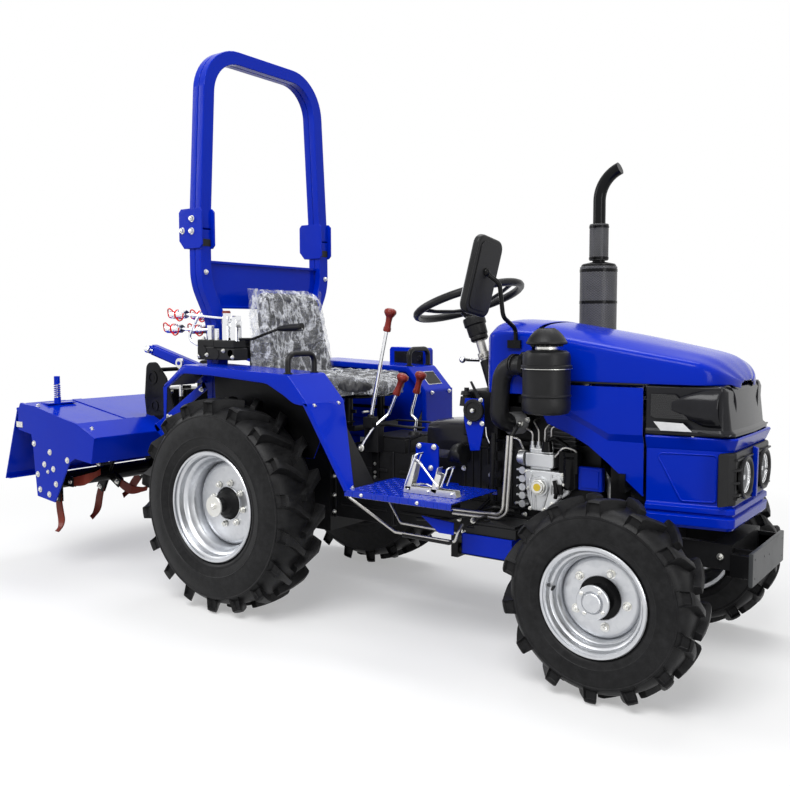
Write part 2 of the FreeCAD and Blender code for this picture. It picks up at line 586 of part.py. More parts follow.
class Table:
    """The sheet of driving sizes, read by name."""

    def __init__(self, document):
        self.sheet = document.addObject("Spreadsheet::Sheet", "Sizes")
        for row, (alias, number, note) in enumerate(SIZES + FRONT_PLACES, start=1):
            self.sheet.set(f"A{row}", note)
            self.sheet.set(f"B{row}", str(number))
            self.sheet.setAlias(f"B{row}", alias)
            setattr(self, alias, Size(float(number), f"Sizes.{alias}"))
        for alias, _, _ in FRONT_PLACES:
            setattr(self, alias, self.wheelbase + getattr(self, alias))


doc = FreeCAD.newDocument("CompactTractor")
size = Table(doc)
doc.recompute()

ALONG = {"x": Vector(1, 0, 0), "y": Vector(0, 1, 0), "z": Vector(0, 0, 1)}
SIDE_PLANE = "XZ_Plane"
CROSS_PLANE = "YZ_Plane"
FLOOR_PLANE = "XY_Plane"
sub_parts = []


def bind(thing, prop, value):
    """Bind one property to the expression of a size."""
    thing.setExpression(prop, as_size(value).text)


def place_at(thing, x, y, z):
    """Bind where an object stands."""
    for letter, value in zip("xyz", (x, y, z)):
        bind(thing, f"Placement.Base.{letter}", value)


def block(x, y, z):
    """A box between the two ends given along each axis."""
    box = doc.addObject("Part::Box", "Block")
    for prop, (low, high) in zip(("Length", "Width", "Height"), (x, y, z)):
        bind(box, prop, as_size(high) - low)
    place_at(box, x[0], y[0], z[0])
    return box


def rod(axis, low, high, radius, across):
    """A round bar along an axis letter, from low to high, at (u, v) across it."""
    cylinder = doc.addObject("Part::Cylinder", "Rod")
    bind(cylinder, "Radius", radius)
    bind(cylinder, "Height", as_size(high) - low)
    cylinder.Placement = Placement(Vector(0, 0, 0), Rotation(Vector(0, 0, 1), ALONG[axis]))
    where = {
        "x": (low, across[0], across[1]),
        "y": (across[0], low, across[1]),
        "z": (across[0], across[1], low),
    }
    place_at(cylinder, *where[axis])
    return cylinder


def span(side, near, far):
    """The ends across the tractor of a piece from near to far on one side, low end first."""
    ends = (as_size(near) * side, as_size(far) * side)
    return ends if side > 0 else (ends[1], ends[0])


def point(x, y, z):
    return tuple(as_size(value) for value in (x, y, z))


def vector(place):
    return Vector(*[as_size(value).number for value in place])


def distance(a, b):
    """The distance between two points as a Size."""
    total = as_size(0)
    for first, second in zip(a, b):
        total = total + (second - first) * (second - first)
    return total.root()


def bar(a, b, radius):
    """A round bar between two points."""
    a = point(*a)
    b = point(*b)
    cylinder = doc.addObject("Part::Cylinder", "Bar")
    bind(cylinder, "Radius", radius)
    bind(cylinder, "Height", distance(a, b))
    cylinder.Placement = Placement(vector(a), Rotation(Vector(0, 0, 1), vector(b) - vector(a)))
    place_at(cylinder, *a)
    return cylinder


def plane_of(body, role):
    """One of a body's own origin planes."""
    for feature in body.Origin.OriginFeatures:
        if feature.Role == role:
            return feature
    raise ValueError(role)


def outline_sketch(body, role, points, offset=None):
    """A closed outline on one of the body's planes, each corner bound to the sheet."""
    sketch = body.newObject("Sketcher::SketchObject", "Outline")
    sketch.AttachmentSupport = [(plane_of(body, role), "")]
    sketch.MapMode = "FlatFace"
    if offset is not None:
        bind(sketch, "AttachmentOffset.Base.z", offset)
    corners = [(as_size(u), as_size(v)) for u, v in points]
    count = len(corners)
    for index, (u, v) in enumerate(corners):
        far_u, far_v = corners[(index + 1) % count]
        start = Vector(u.number, v.number, 0)
        end = Vector(far_u.number, far_v.number, 0)
        sketch.addGeometry(Part.LineSegment(start, end))
    for index in range(count):
        following = (index + 1) % count
        sketch.addConstraint(Sketcher.Constraint("Coincident", index, 2, following, 1))
    for index, (u, v) in enumerate(corners):
        for kind, value in (("DistanceX", u), ("DistanceY", v)):
            number = sketch.addConstraint(Sketcher.Constraint(kind, -1, 1, index, 1, value.number))
            bind(sketch, f"Constraints[{number}]", value)
    return sketch


def plate(role, points, low, high, rounds=()):
    """An outline padded from low to high along the plane's axis, with rounded corners.

    The outline of a side plane is given as (x, z), of a cross plane as (y, z) and of
    the floor plane as (x, y).  rounds holds (radius, corner numbers).
    """
    body = doc.addObject("PartDesign::Body", "Plate")
    low = as_size(low)
    high = as_size(high)
    start = -high if role == SIDE_PLANE else low
    sketch = outline_sketch(body, role, points, start)
    pad = body.newObject("PartDesign::Pad", "Pad")
    pad.Profile = sketch
    bind(pad, "Length", high - low)
    body.Tip = pad
    for radius, corners in rounds:
        doc.recompute()
        spots = [tuple(as_size(value).number for value in points[corner]) for corner in corners]
        fillet = body.newObject("PartDesign::Fillet", "Round")
        fillet.Base = (pad, upright_edges(pad.Shape, role, spots))
        bind(fillet, "Radius", radius)
        body.Tip = fillet
        pad = fillet
    return body


def upright_edges(shape, role, spots):
    """The edges that run along a plane's axis through the given corners."""
    normal, picked = {
        SIDE_PLANE: ("y", ("x", "z")),
        CROSS_PLANE: ("x", ("y", "z")),
        FLOOR_PLANE: ("z", ("x", "y")),
    }[role]
    names = []
    for index, edge in enumerate(shape.Edges, start=1):
        first = edge.Vertexes[0].Point
        last = edge.Vertexes[-1].Point
        along = abs(getattr(last - first, normal))
        if along < 0.99 * edge.Length:
            continue
        for spot in spots:
            near = [abs(getattr(first, axis) - value) for axis, value in zip(picked, spot)]
            if max(near) < 0.01:
                names.append(f"Edge{index}")
                break
    return names


def turned(points):
    """A solid of revolution about the Y axis, its outline given as (across, radius)."""
    body = doc.addObject("PartDesign::Body", "Turned")
    sketch = outline_sketch(body, CROSS_PLANE, points)
    revolution = body.newObject("PartDesign::Revolution", "Revolution")
    revolution.Profile = sketch
    revolution.ReferenceAxis = (sketch, ["H_Axis"])
    revolution.Angle = 360.0
    body.Tip = revolution
    return body


def joined(*pieces):
    """Pieces fused into one."""
    if len(pieces) == 1:
        return pieces[0]
    fuse = doc.addObject("Part::MultiFuse", "Joined")
    fuse.Shapes = list(pieces)
    fuse.Refine = True
    return fuse


def without(base, *tools):
    """A piece with others cut out of it."""
    cut = doc.addObject("Part::Cut", "Cut")
    cut.Base = base
    cut.Tool = joined(*tools)
    return cut


def group(*pieces):
    """Solids that don't touch, kept as one sub-part."""
    compound = doc.addObject("Part::Compound", "Group")
    compound.Links = list(pieces)
    return compound


def mirrored(piece):
    """The same piece on the tractor's other side."""
    mirror = doc.addObject("Part::Mirroring", "Mirror")
    mirror.Source = piece
    mirror.Normal = ALONG["y"]
    return mirror


def both(piece):
    """A piece and its mirror image as one sub-part."""
    return group(piece, mirrored(piece))


def bent_tube(points, radius, bend, section=None):
    """A tube along straight runs joined by tangent arcs.

    No body feature sweeps a path that bends in space, so the shape is made directly.
    """
    spots = [vector(place) for place in points]
    edges = []
    start = spots[0]
    for before, corner, after in zip(spots, spots[1:], spots[2:]):
        back = (before - corner).normalize()
        ahead = (after - corner).normalize()
        half_turn = (math.pi - back.getAngle(ahead)) / 2
        reach = as_size(bend).number * math.tan(half_turn)
        first = corner + back * reach
        last = corner + ahead * reach
        inward = (back + ahead).normalize()
        bulge = corner + inward * (as_size(bend).number * (1 / math.cos(half_turn) - 1))
        edges.append(Part.LineSegment(start, first).toShape())
        edges.append(Part.Arc(first, bulge, last).toShape())
        start = last
    edges.append(Part.LineSegment(start, spots[-1]).toShape())
    path = Part.Wire(edges)
    heading = (spots[1] - spots[0]).normalize()
    circle = Part.Wire([Part.makeCircle(as_size(radius).number, spots[0], heading)])
    tube = doc.addObject("Part::Feature", "BentTube")
    tube.Shape = path.makePipeShell([circle], True, True)
    return tube


def loft(sections):
    """A straight-sided loft through outlines across the tractor, (x, [(y, z), ...])."""
    body = doc.addObject("PartDesign::Body", "Loft")
    sketches = []
    for x, points in sections:
        sketches.append(outline_sketch(body, CROSS_PLANE, points, x))
    feature = body.newObject("PartDesign::AdditiveLoft", "Loft")
    feature.Profile = sketches[0]
    feature.Sections = sketches[1:]
    feature.Ruled = True
    body.Tip = feature
    return body


def keep(name, piece):
    """Name a finished sub-part, and move it from the rear axle's frame to the machine's."""
    if piece.TypeId in ("Part::Box", "Part::Cylinder"):
        piece = group(piece)
    piece.Label = name
    bind(piece, "Placement.Base.x", size.rear_axle_x)
    sub_parts.append(piece)
    return piece


def keep_pair(name, piece):
    """Keep a right-hand piece and its mirror image as two sub-parts."""
    keep(f"{name}_right", piece)
    twin = mirrored(piece)
    twin.Label = f"{name}_left"
    sub_parts.append(twin)


# ---------------------------------------------------------------- wheels

def polygon_ring(across, radius, sides):
    """A regular polygon round the Y axis."""
    polygon = doc.addObject("Part::RegularPolygon", "Ring")
    polygon.Polygon = sides
    bind(polygon, "Circumradius", radius)
    polygon.Placement = Placement(Vector(0, 0, 0), Rotation(Vector(0, 0, 1), ALONG["y"]))
    bind(polygon, "Placement.Base.y", across)
    return polygon


def tyre(tip_r, width, bead_r, flange_r, rim_half, lugs, length, bar_width, height, lug_y):
    """A tyre about the Y axis: a faceted carcass with a V of straight lugs.

    The lugs' flat tips have their corners on the tip radius, and one corner
    points straight down, where the tyre stands.
    """
    slant = math.radians(size.lug_angle.number)
    sides = int(2 * lugs.number)
    carcass_r = tip_r - height
    side_r = carcass_r * 0.86
    half = width / 2
    bead_half = rim_half - size.flange_wall - size.seat_gap
    bead_top = flange_r + size.bead_lift
    rings = [
        (-bead_half, bead_top), (-half, side_r), (-(half * 0.8), carcass_r),
        (half * 0.8, carcass_r), (half, side_r), (bead_half, bead_top),
    ]
    carcass = doc.addObject("Part::Loft", "Carcass")
    carcass.Sections = [polygon_ring(across, radius, sides) for across, radius in rings]
    carcass.Solid = True
    carcass.Ruled = True
    reach = length * (math.cos(slant) / 2) + bar_width * (math.sin(slant) / 2)
    seat = (tip_r * tip_r - reach * reach).root()
    first = math.degrees(math.atan2(reach.number, seat.number))
    bars = []
    for index in range(sides):
        side = 1 if index % 2 else -1
        lug = doc.addObject("Part::Box", "Lug")
        bind(lug, "Length", length)
        bind(lug, "Width", bar_width)
        bind(lug, "Height", height + size.lug_root)
        angle = 180.0 + first + index * 360.0 / sides
        turn = Placement(Vector(0, 0, 0), Rotation(ALONG["y"], angle))
        foot = seat.number - height.number - size.lug_root.number
        seating = Placement(Vector(0, side * lug_y.number, foot), Rotation())
        swing = Placement(Vector(0, 0, 0), Rotation(ALONG["z"], -side * size.lug_angle.number))
        middle = Placement(Vector(-length.number / 2, -bar_width.number / 2, 0), Rotation())
        lug.Placement = turn * seating * swing * middle
        bars.append(lug)
    bore = doc.addObject("Part::Prism", "Bore")
    bore.Polygon = sides
    bind(bore, "Circumradius", (bead_r + size.seat_gap) / math.cos(math.pi / sides))
    bind(bore, "Height", width * 2)
    bore.Placement = Placement(Vector(0, 0, 0), Rotation(Vector(0, 0, 1), ALONG["y"]))
    bind(bore, "Placement.Base.y", -width)
    return without(joined(carcass, *bars), bore)


def rim(bead_r, flange_r, rim_half, disc_y, hole_r):
    """A rim about the Y axis, its disc outboard of the middle by disc_y."""
    barrel_r = bead_r - size.bead_drop
    lip_r = flange_r - size.seat_gap
    inner = rim_half - size.flange_wall
    half_wall = size.disc_wall / 2
    return turned([
        (-rim_half, flange_r), (-inner, lip_r), (-inner, bead_r), (inner, bead_r),
        (inner, lip_r), (rim_half, flange_r), (rim_half, barrel_r),
        (half_wall - disc_y, barrel_r), (half_wall - disc_y, hole_r),
        (-half_wall - disc_y, hole_r), (-half_wall - disc_y, barrel_r),
        (-rim_half, barrel_r),
    ])


def bolt_circle(count, circle_r, radius, low, high):
    """Bolt heads in a circle round the Y axis."""
    heads = []
    number = int(count.number)
    for index in range(number):
        angle = 2 * math.pi * (index + 0.5) / number
        across = (circle_r * math.cos(angle), circle_r * math.sin(angle))
        heads.append(rod("y", low, high, radius, across))
    return heads


def wheel_at(name, piece, x, track, z):
    """Place a right-hand wheel piece on its axle, with its twin on the left."""
    piece.Label = f"{name}_right"
    place_at(piece, size.rear_axle_x + x, -(track / 2), z)
    sub_parts.append(piece)
    twin = mirrored(piece)
    twin.Label = f"{name}_left"
    sub_parts.append(twin)


def rear_wheels():
    here = (0, size.rear_track, size.rear_tyre_r)
    rubber = tyre(
        size.rear_tyre_r, size.rear_tyre_width, size.rear_bead_r, size.rear_flange_r,
        size.rear_rim_half, size.rear_lugs, size.rear_lug_length, size.rear_lug_width,
        size.rear_lug_height, size.rear_lug_y)
    wheel_at("rear_tyre", rubber, *here)
    metal = rim(size.rear_bead_r, size.rear_flange_r, size.rear_rim_half, 0, size.rear_disc_hole_r)
    wheel_at("rear_rim", metal, *here)
    face = size.disc_wall / 2
    inner = face + size.rear_hub_wall
    shaft_in = size.rear_track / 2 - size.axle_tube_end + size.axle_bore_depth - size.turn_gap
    centre = (0, 0)
    hub = joined(
        rod("y", face, inner, size.rear_hub_r, centre),
        rod("y", -face - size.rear_hub_boss_out, face, size.rear_hub_boss_r, centre),
        rod("y", -size.rear_shaft_out, shaft_in, size.axle_shaft_r, centre),
        rod("y", -size.rear_shaft_out - size.rear_washer_wall, -size.rear_shaft_out,
            size.rear_washer_r, centre))
    heads = bolt_circle(size.rear_bolts, size.rear_bolt_circle_r, size.wheel_bolt_r,
                        -face - size.wheel_bolt_head, -face)
    wheel_at("rear_hub", group(hub, *heads), *here)


def front_wheels():
    here = (size.wheelbase, size.front_track, size.front_tyre_r)
    rubber = tyre(
        size.front_tyre_r, size.front_tyre_width, size.front_bead_r, size.front_flange_r,
        size.front_rim_half, size.front_lugs, size.front_lug_length, size.front_lug_width,
        size.front_lug_height, size.front_lug_y)
    wheel_at("front_tyre", rubber, *here)
    metal = rim(size.front_bead_r, size.front_flange_r, size.front_rim_half,
                size.front_disc_y, size.front_disc_hole_r)
    wheel_at("front_rim", metal, *here)
    outer_face = -size.front_disc_y - size.disc_wall / 2
    inner_face = size.disc_wall / 2 - size.front_disc_y
    web_face = size.front_track / 2 - size.kingpin_y - size.web_inner - size.web_wall
    hub_in = web_face - size.turn_gap
    centre = (0, 0)
    barrel = joined(
        rod("y", -size.front_hub_out, hub_in, size.front_hub_r, centre),
        rod("y", inner_face, inner_face + size.front_hub_flange_wall,
            size.front_hub_flange_r, centre),
        rod("y", -size.front_hub_out - size.front_cap_height, -size.front_hub_out,
            size.front_cap_r, centre))
    bore = rod("y", web_face - size.spindle_length, hub_in + size.turn_gap,
               size.spindle_r + size.shaft_gap, centre)
    heads = bolt_circle(size.front_bolts, size.front_bolt_circle_r, size.wheel_bolt_r,
                        outer_face - size.wheel_bolt_head, outer_face)
    wheel_at("front_hub", group(without(barrel, bore), *heads), *here)


# ---------------------------------------------------------------- rear axle and drive line

def rear_axle_housing():
    case = block(
        (size.drive_case_back, size.drive_case_front),
        (-size.drive_case_half, size.drive_case_half),
        (size.drive_case_bottom, size.drive_case_top))
    across = (0, size.rear_tyre_r)
    tubes = rod("y", -size.axle_tube_end, size.axle_tube_end, size.axle_tube_r, across)
    bores = []
    for side in (-1, 1):
        ends = span(side, size.axle_tube_end - size.axle_bore_depth, size.axle_tube_end)
        bores.append(rod("y", *ends, size.axle_shaft_r + size.shaft_gap, across))
    power = rod("x", size.power_x, size.drive_case_back, size.power_r, (0, size.power_z))
    cross = rod("y", -size.power_r - size.turn_gap - 8, size.power_r + size.turn_gap + 8,
                size.yoke_pin_r, (size.power_x + 10, size.power_z))
    pin_reach = size.lower_y + size.link_half + 8
    pins = rod("y", -pin_reach, pin_reach, size.link_pin_r,
               (size.lower_pivot_x, size.lower_pivot_z))
    keep("rear_axle_housing", without(joined(case, tubes, power, cross, pins), *bores))


def gearbox_housing():
    keep("gearbox_housing", block(
        (size.drive_case_front, size.gearbox_front),
        (-size.gearbox_half, size.gearbox_half),
        (size.gearbox_bottom, size.gearbox_top)))


def engine():
    body = block((size.gearbox_front, size.engine_front), (-size.engine_half, size.engine_half),
                 (size.sump_top, size.engine_top))
    sump = block((size.gearbox_front + 60, size.engine_front - 40),
                 (-size.head_half, size.head_half), (size.sump_bottom, size.sump_top))
    head = block((size.head_back, size.engine_front - 30),
                 (-size.head_half, size.head_half), (size.engine_top, size.head_top))
    cover = block((size.head_back + 20, size.engine_front - 50),
                  (-size.head_half + 20, size.head_half - 20), (size.head_top, size.cover_top))
    outside = (-size.castings_y, -size.engine_half)
    timing = block((size.timing_back, size.timing_front), outside,
                   (size.timing_bottom, size.timing_top))
    filler = rod("y", -size.castings_y - size.filler_out, -size.castings_y, size.filler_r,
                 (size.filler_x, size.filler_z))
    pump = block((size.pump_back, size.pump_front), outside, (size.pump_bottom, size.pump_top))
    filter_can = rod("z", size.filter_bottom, size.filter_top, size.filter_r,
                     (size.filter_x, -size.filter_y))
    keep("engine", joined(body, sump, head, cover, timing, filler, pump, filter_can))


def radiator():
    core = block((size.radiator_back, size.radiator_front),
                 (-size.radiator_half, size.radiator_half),
                 (size.radiator_bottom, size.radiator_top))
    foot = block((size.radiator_back, size.radiator_front),
                 (-size.rail_outer, size.rail_outer),
                 (size.rail_top, size.radiator_bottom))
    stay_x = (size.radiator_front - 20, size.radiator_front)
    stays = []
    for low, high in ((size.nose_step, size.nose_step + 90), (size.radiator_top - 90, size.radiator_top)):
        half = size.hood_half - size.panel_wall
        stays.append(block(stay_x, (-half, half), (low + 30, high)))
    keep("radiator", joined(core, foot, *stays))


def front_frame():
    pieces = []
    for side in (-1, 1):
        ends = span(side, size.rail_inner, size.rail_outer)
        pieces.append(block((size.rail_back, size.rail_front), ends, (size.rail_bottom, size.rail_top)))
    for low, high in ((size.wheelbase - size.cross_half, size.wheelbase + size.cross_half),
                      (size.rail_front - 60, size.rail_front)):
        pieces.append(block((low, high), (-size.rail_inner, size.rail_inner),
                            (size.rail_bottom, size.rail_top)))
    for side in (-1, 1):
        ends = span(side, size.gearbox_half, size.rail_inner)
        pieces.append(block((size.rail_back, size.gearbox_front), ends,
                            (size.rail_bottom, size.rail_top)))
    keep("front_frame", joined(*pieces))


def front_bumper():
    face = block((size.bumper_x, size.bumper_x + size.bumper_wall),
                 (-size.bumper_half, size.bumper_half), (size.bumper_bottom, size.bumper_top))
    arms = []
    for side in (-1, 1):
        ends = span(side, size.rail_inner, size.rail_outer)
        arms.append(block((size.rail_front, size.bumper_x), ends,
                          (size.rail_bottom, size.bumper_top)))
    keep("front_bumper", joined(face, *arms))


def front_axle():
    beam_x = (size.wheelbase - size.beam_half_x, size.wheelbase + size.beam_half_x)
    centre = size.front_tyre_r
    pieces = [
        block(beam_x, (-size.kingpin_y, size.kingpin_y),
              (centre - size.beam_half_z, centre + size.beam_half_z)),
        block((size.wheelbase - size.cross_half, size.wheelbase + size.cross_half),
              (-size.carrier_half, size.carrier_half),
              (centre - size.beam_half_z - size.carrier_drop, size.rail_bottom)),
    ]
    bores = []
    for side in (-1, 1):
        across = (size.wheelbase, size.kingpin_y * side)
        pieces.append(rod("z", centre - size.boss_half, centre + size.boss_half, size.boss_r, across))
        bores.append(rod("z", centre - size.boss_half, centre + size.boss_half,
                         size.kingpin_r + size.shaft_gap, across))
    drive_z = centre - size.front_drive_drop
    case_front = size.gearbox_front - size.transfer_case
    pieces.append(rod("x", case_front, size.wheelbase - size.cross_half, size.front_drive_r,
                      (-size.front_drive_y, drive_z)))
    half = size.transfer_case / 2
    pieces.append(block((case_front - half, case_front),
                        (-size.front_drive_y - half, -size.front_drive_y + half),
                        (drive_z - half, size.gearbox_bottom)))
    keep("front_axle", without(joined(*pieces), *bores))


def knuckles():
    centre = size.front_tyre_r
    pin = (size.wheelbase, -size.kingpin_y)
    inboard = -size.kingpin_y + size.ear_inner
    web_in = -size.kingpin_y - size.web_inner
    web_out = web_in - size.web_wall
    ear_x = (size.wheelbase - size.ear_half, size.wheelbase + size.ear_half)
    low = centre - size.boss_half - size.turn_gap
    high = centre + size.boss_half + size.turn_gap
    arm_tip = (size.wheelbase - size.arm_back, -size.kingpin_y)
    arm_z = (low - size.ear_wall, low)
    pieces = [
        block(ear_x, (web_in, inboard), (high, high + size.ear_wall)),
        block(ear_x, (web_in, inboard), arm_z),
        block(ear_x, (web_out, web_in), (low - size.ear_wall, high + size.ear_wall)),
        rod("z", low, high, size.kingpin_r, pin),
        rod("y", web_out - size.spindle_length, web_out, size.spindle_r,
            (size.wheelbase, centre)),
        plate(FLOOR_PLANE, [
            (size.wheelbase - size.ear_half, -size.kingpin_y - size.arm_half),
            (size.wheelbase - size.ear_half, inboard),
            (arm_tip[0], arm_tip[1] + size.arm_half),
            (arm_tip[0] - size.arm_half, arm_tip[1] + size.arm_half),
            (arm_tip[0] - size.arm_half, arm_tip[1] - size.arm_half),
            (arm_tip[0], arm_tip[1] - size.arm_half),
        ], *arm_z),
        rod("z", arm_z[0] - size.tie_eye_drop - size.tie_eye_height, arm_z[0],
            size.tie_pin_r, arm_tip),
    ]
    keep_pair("steering_knuckle", joined(*pieces))


def tie_rod():
    low = (size.front_tyre_r - size.boss_half - size.turn_gap - size.ear_wall
           - size.tie_eye_drop - size.tie_eye_height)
    high = low + size.tie_eye_height
    x = size.wheelbase - size.arm_back
    reach = size.kingpin_y
    middle = low + size.tie_eye_height / 2
    pieces = [rod("y", -reach + size.tie_eye_r / 2, reach - size.tie_eye_r / 2,
                  size.tie_rod_r, (x, middle))]
    bores = []
    for side in (-1, 1):
        across = (x, reach * side)
        pieces.append(rod("z", low, high, size.tie_eye_r, across))
        bores.append(rod("z", low - 1, high + 1, size.tie_pin_r + size.shaft_gap, across))
    keep("tie_rod", without(joined(*pieces), *bores))


# ---------------------------------------------------------------- hood and sheet metal

def hood_section(x, half, crease, crest, seam, wall=0):
    """An outline of the hood: upright sides, a sloping shoulder and a crest."""
    half = half - wall
    shoulder = half * 0.62
    crease = crease - as_size(wall) * 0.6
    crest = crest - wall
    bend = crease + (crest - crease) * 0.75
    return x, [
        (-half, seam), (-half, crease), (-shoulder, bend), (as_size(0), crest),
        (shoulder, bend), (half, crease), (half, seam),
    ]


def hood_sections():
    return [
        (size.hood_back, size.hood_half, size.back_crease, size.back_crest),
        (size.hood_mid, size.hood_half, size.mid_crease, size.mid_crest),
        (size.hood_fore, size.hood_half, size.fore_crease, size.fore_crest),
        (size.hood_lip, size.lip_half, size.lip_crease, size.lip_crest),
        (size.hood_tip, size.tip_half, size.tip_crease, size.tip_crest),
    ]


def hood_top():
    outside = loft([hood_section(*entry, size.hood_seam) for entry in hood_sections()])
    inside_sections = []
    for x, half, crease, crest in hood_sections():
        inside_sections.append(hood_section(x, half, crease, crest, size.hood_seam - 1, size.hood_wall))
    back_x = size.hood_back - 1
    inside_sections[0] = (back_x, inside_sections[0][1])
    tip_x = size.hood_tip - size.hood_wall * 2
    inside_sections[-1] = (tip_x, inside_sections[-1][1])
    shell = without(outside, loft(inside_sections))
    hinge_x = size.hood_back + size.hinge_in
    hinge = rod("y", -size.hinge_half, size.hinge_half, size.hinge_r, (hinge_x, size.hinge_z))
    lugs = []
    for side in (-1, 1):
        ends = span(side, size.hinge_half - size.hinge_lug, size.hinge_half)
        lug = block((hinge_x - 10, hinge_x + 10), ends, (size.hinge_z - 10, size.back_crest))
        lugs.append(lug)
    hanging = doc.addObject("Part::Common", "Hanging")
    hanging.Base = joined(*lugs)
    hanging.Tool = loft([hood_section(*entry, size.hood_seam) for entry in hood_sections()])
    keep("hood_top", joined(shell, hinge, hanging))


def nose_plan(half, front_half, corner_half, corner_x, front, back, wall):
    """A U-shaped sheet seen from above, open to the rear."""
    inner = [
        (back, half - wall), (corner_x - wall, corner_half - wall),
        (front - wall, front_half - wall), (front - wall, wall - front_half),
        (corner_x - wall, wall - corner_half), (back, wall - half),
    ]
    outer = [
        (back, -half), (corner_x, -corner_half), (front, -front_half),
        (front, front_half), (corner_x, corner_half), (back, half),
    ]
    return inner + outer


def nose_cowl():
    wall = size.hood_wall
    upper = plate(FLOOR_PLANE, nose_plan(
        size.hood_half, size.nose_front_half, size.nose_corner_half, size.nose_corner_x,
        size.nose_front, size.nose_back, wall), size.nose_step, size.lamp_bottom)
    lower = plate(FLOOR_PLANE, nose_plan(
        size.nose_step_half, size.nose_front_half - 12, size.nose_corner_half - 24,
        size.nose_corner_x - 20, size.nose_front - 12, size.nose_back, wall * 3),
        size.nose_bottom, size.nose_step)
    ledge = plate(FLOOR_PLANE, nose_plan(
        size.hood_half, size.nose_front_half, size.nose_corner_half, size.nose_corner_x,
        size.nose_front, size.nose_back, size.hood_half - size.nose_step_half + wall * 3),
        size.nose_step, size.nose_step + wall)
    mouth = block((size.nose_corner_x - 60, size.nose_front + 10),
                  (-size.grille_half, size.grille_half), (size.grille_bottom, size.grille_top))
    keep("nose_cowl", without(joined(upper, lower, ledge), mouth))


def grille():
    """A dark panel with a raised edge, slats, an upright and two round lamps."""
    front = size.nose_front - size.turn_gap
    across = (-size.grille_half, size.grille_half)
    up = (size.grille_bottom, size.grille_top)
    rim_wall = size.grille_rim
    face = front - rim_wall
    edge = without(block((face, front), across, up),
                   block((face, front), (across[0] + rim_wall, across[1] - rim_wall),
                         (up[0] + rim_wall, up[1] - rim_wall)))
    pieces = [block((front - size.grille_depth, face), across, up), edge,
              block((face, front), (-rim_wall / 2, rim_wall / 2), up)]
    pitch = (size.grille_top - size.grille_bottom) / (size.grille_slats + 1)
    for index in range(int(size.grille_slats.number)):
        z = size.grille_bottom + pitch * (index + 1)
        pieces.append(block((face, front - size.turn_gap), across, (z - rim_wall / 2, z + rim_wall / 2)))
    for side in (-1, 1):
        pieces.append(rod("x", face, front, size.low_lamp_r, (size.low_lamp_y * side, size.low_lamp_z)))
    keep("grille", joined(*pieces))


def headlamp_band():
    """A dark band round the nose with a round lamp near each front corner."""
    wall = size.hood_wall * 4
    front = size.nose_front - wall
    band = plate(FLOOR_PLANE, nose_plan(
        size.hood_half, size.nose_front_half - 8, size.nose_corner_half, size.nose_corner_x - 14,
        front, size.nose_back, wall), size.lamp_bottom, size.hood_seam)
    lamps = []
    for side in (-1, 1):
        lamps.append(rod("x", front - wall, front + size.lamp_out, size.lamp_r,
                         (size.lamp_y * side, size.lamp_z)))
    keep("headlamp_band", joined(band, *lamps))


def side_panels():
    top = size.hood_seam - size.panel_gap
    front = size.nose_back - size.seam_gap
    points = [
        (size.hood_back, top), (size.hood_back, size.panel_step_z + 20),
        (size.panel_step_x, size.panel_step_z), (size.panel_mid_x, size.panel_mid_z),
        (size.panel_low_x, size.panel_low_z), (front, size.panel_low_z), (front, top),
    ]
    panel = plate(SIDE_PLANE, points, -size.hood_half, -size.hood_half + size.panel_wall)
    keep("side_panels", both(panel))


def dash_cowl():
    bottom = size.cowl_bottom
    front = size.hood_back - size.hinge_gap
    sections = [
        hood_section(size.cowl_back, size.cowl_back_half, size.cowl_crease - 20,
                     size.cowl_crest - 12, bottom),
        hood_section(size.cowl_corner, size.hood_half, size.cowl_crease, size.cowl_crest, bottom),
        hood_section(front, size.hood_half, size.cowl_crease - 4, size.cowl_crest - 4, bottom),
    ]
    hinge_x = size.hood_back + size.hinge_in
    arms = []
    bores = []
    for side in (-1, 1):
        outer = size.hinge_half - size.hinge_lug - size.turn_gap
        ends = span(side, outer - size.hinge_lug * 0.75, outer)
        arms.append(plate(SIDE_PLANE, [
            (front, size.hinge_z - size.hinge_drop - 20), (hinge_x + 10, size.hinge_z - size.hinge_drop - 20),
            (hinge_x + 10, size.hinge_z - 8), (hinge_x - 10, size.hinge_z - 8),
            (hinge_x - 10, size.hinge_z - size.hinge_drop), (front, size.hinge_z - size.hinge_drop),
        ], *ends))
        arms.append(rod("y", *ends, 9, (hinge_x, size.hinge_z)))
        bores.append(rod("y", ends[0] - 1, ends[1] + 1, size.hinge_r + size.shaft_gap,
                         (hinge_x, size.hinge_z)))
    keep("dash_cowl", without(joined(loft(sections), *arms), *bores))


def cowl_support():
    """The black frame and casings between the cowl and the clutch housing."""
    case = block((size.gearbox_front, size.support_front), (-size.support_half, size.support_half),
                 (size.engine_top, size.cowl_bottom))
    clutch = block((size.clutch_back, size.gearbox_front), (-size.clutch_half, size.clutch_half),
                   (size.clutch_bottom, size.clutch_top))
    bracket = plate(SIDE_PLANE, [
        (size.side_plate_back, size.side_plate_top),
        (size.side_plate_front, size.side_plate_top),
        (size.side_plate_front - size.side_plate_taper, size.side_plate_bottom),
        (size.side_plate_back + size.side_plate_taper, size.side_plate_bottom),
    ], -size.side_plate_y, -size.side_plate_y + size.side_plate_wall)
    switch = rod("y", -size.side_plate_y - size.switch_out, -size.support_half, size.switch_r,
                 (size.switch_x, size.switch_z))
    socket = rod("z", -size.column_length, 0, size.column_r, (0, 0))
    socket.Placement = column_frame()
    place_at(socket, size.steer_x - size.column_length * column_slope(),
             0, size.steer_z - size.column_length * column_rise())
    keep("cowl_support", without(joined(case, clutch, bracket, switch), socket))


# ---------------------------------------------------------------- controls

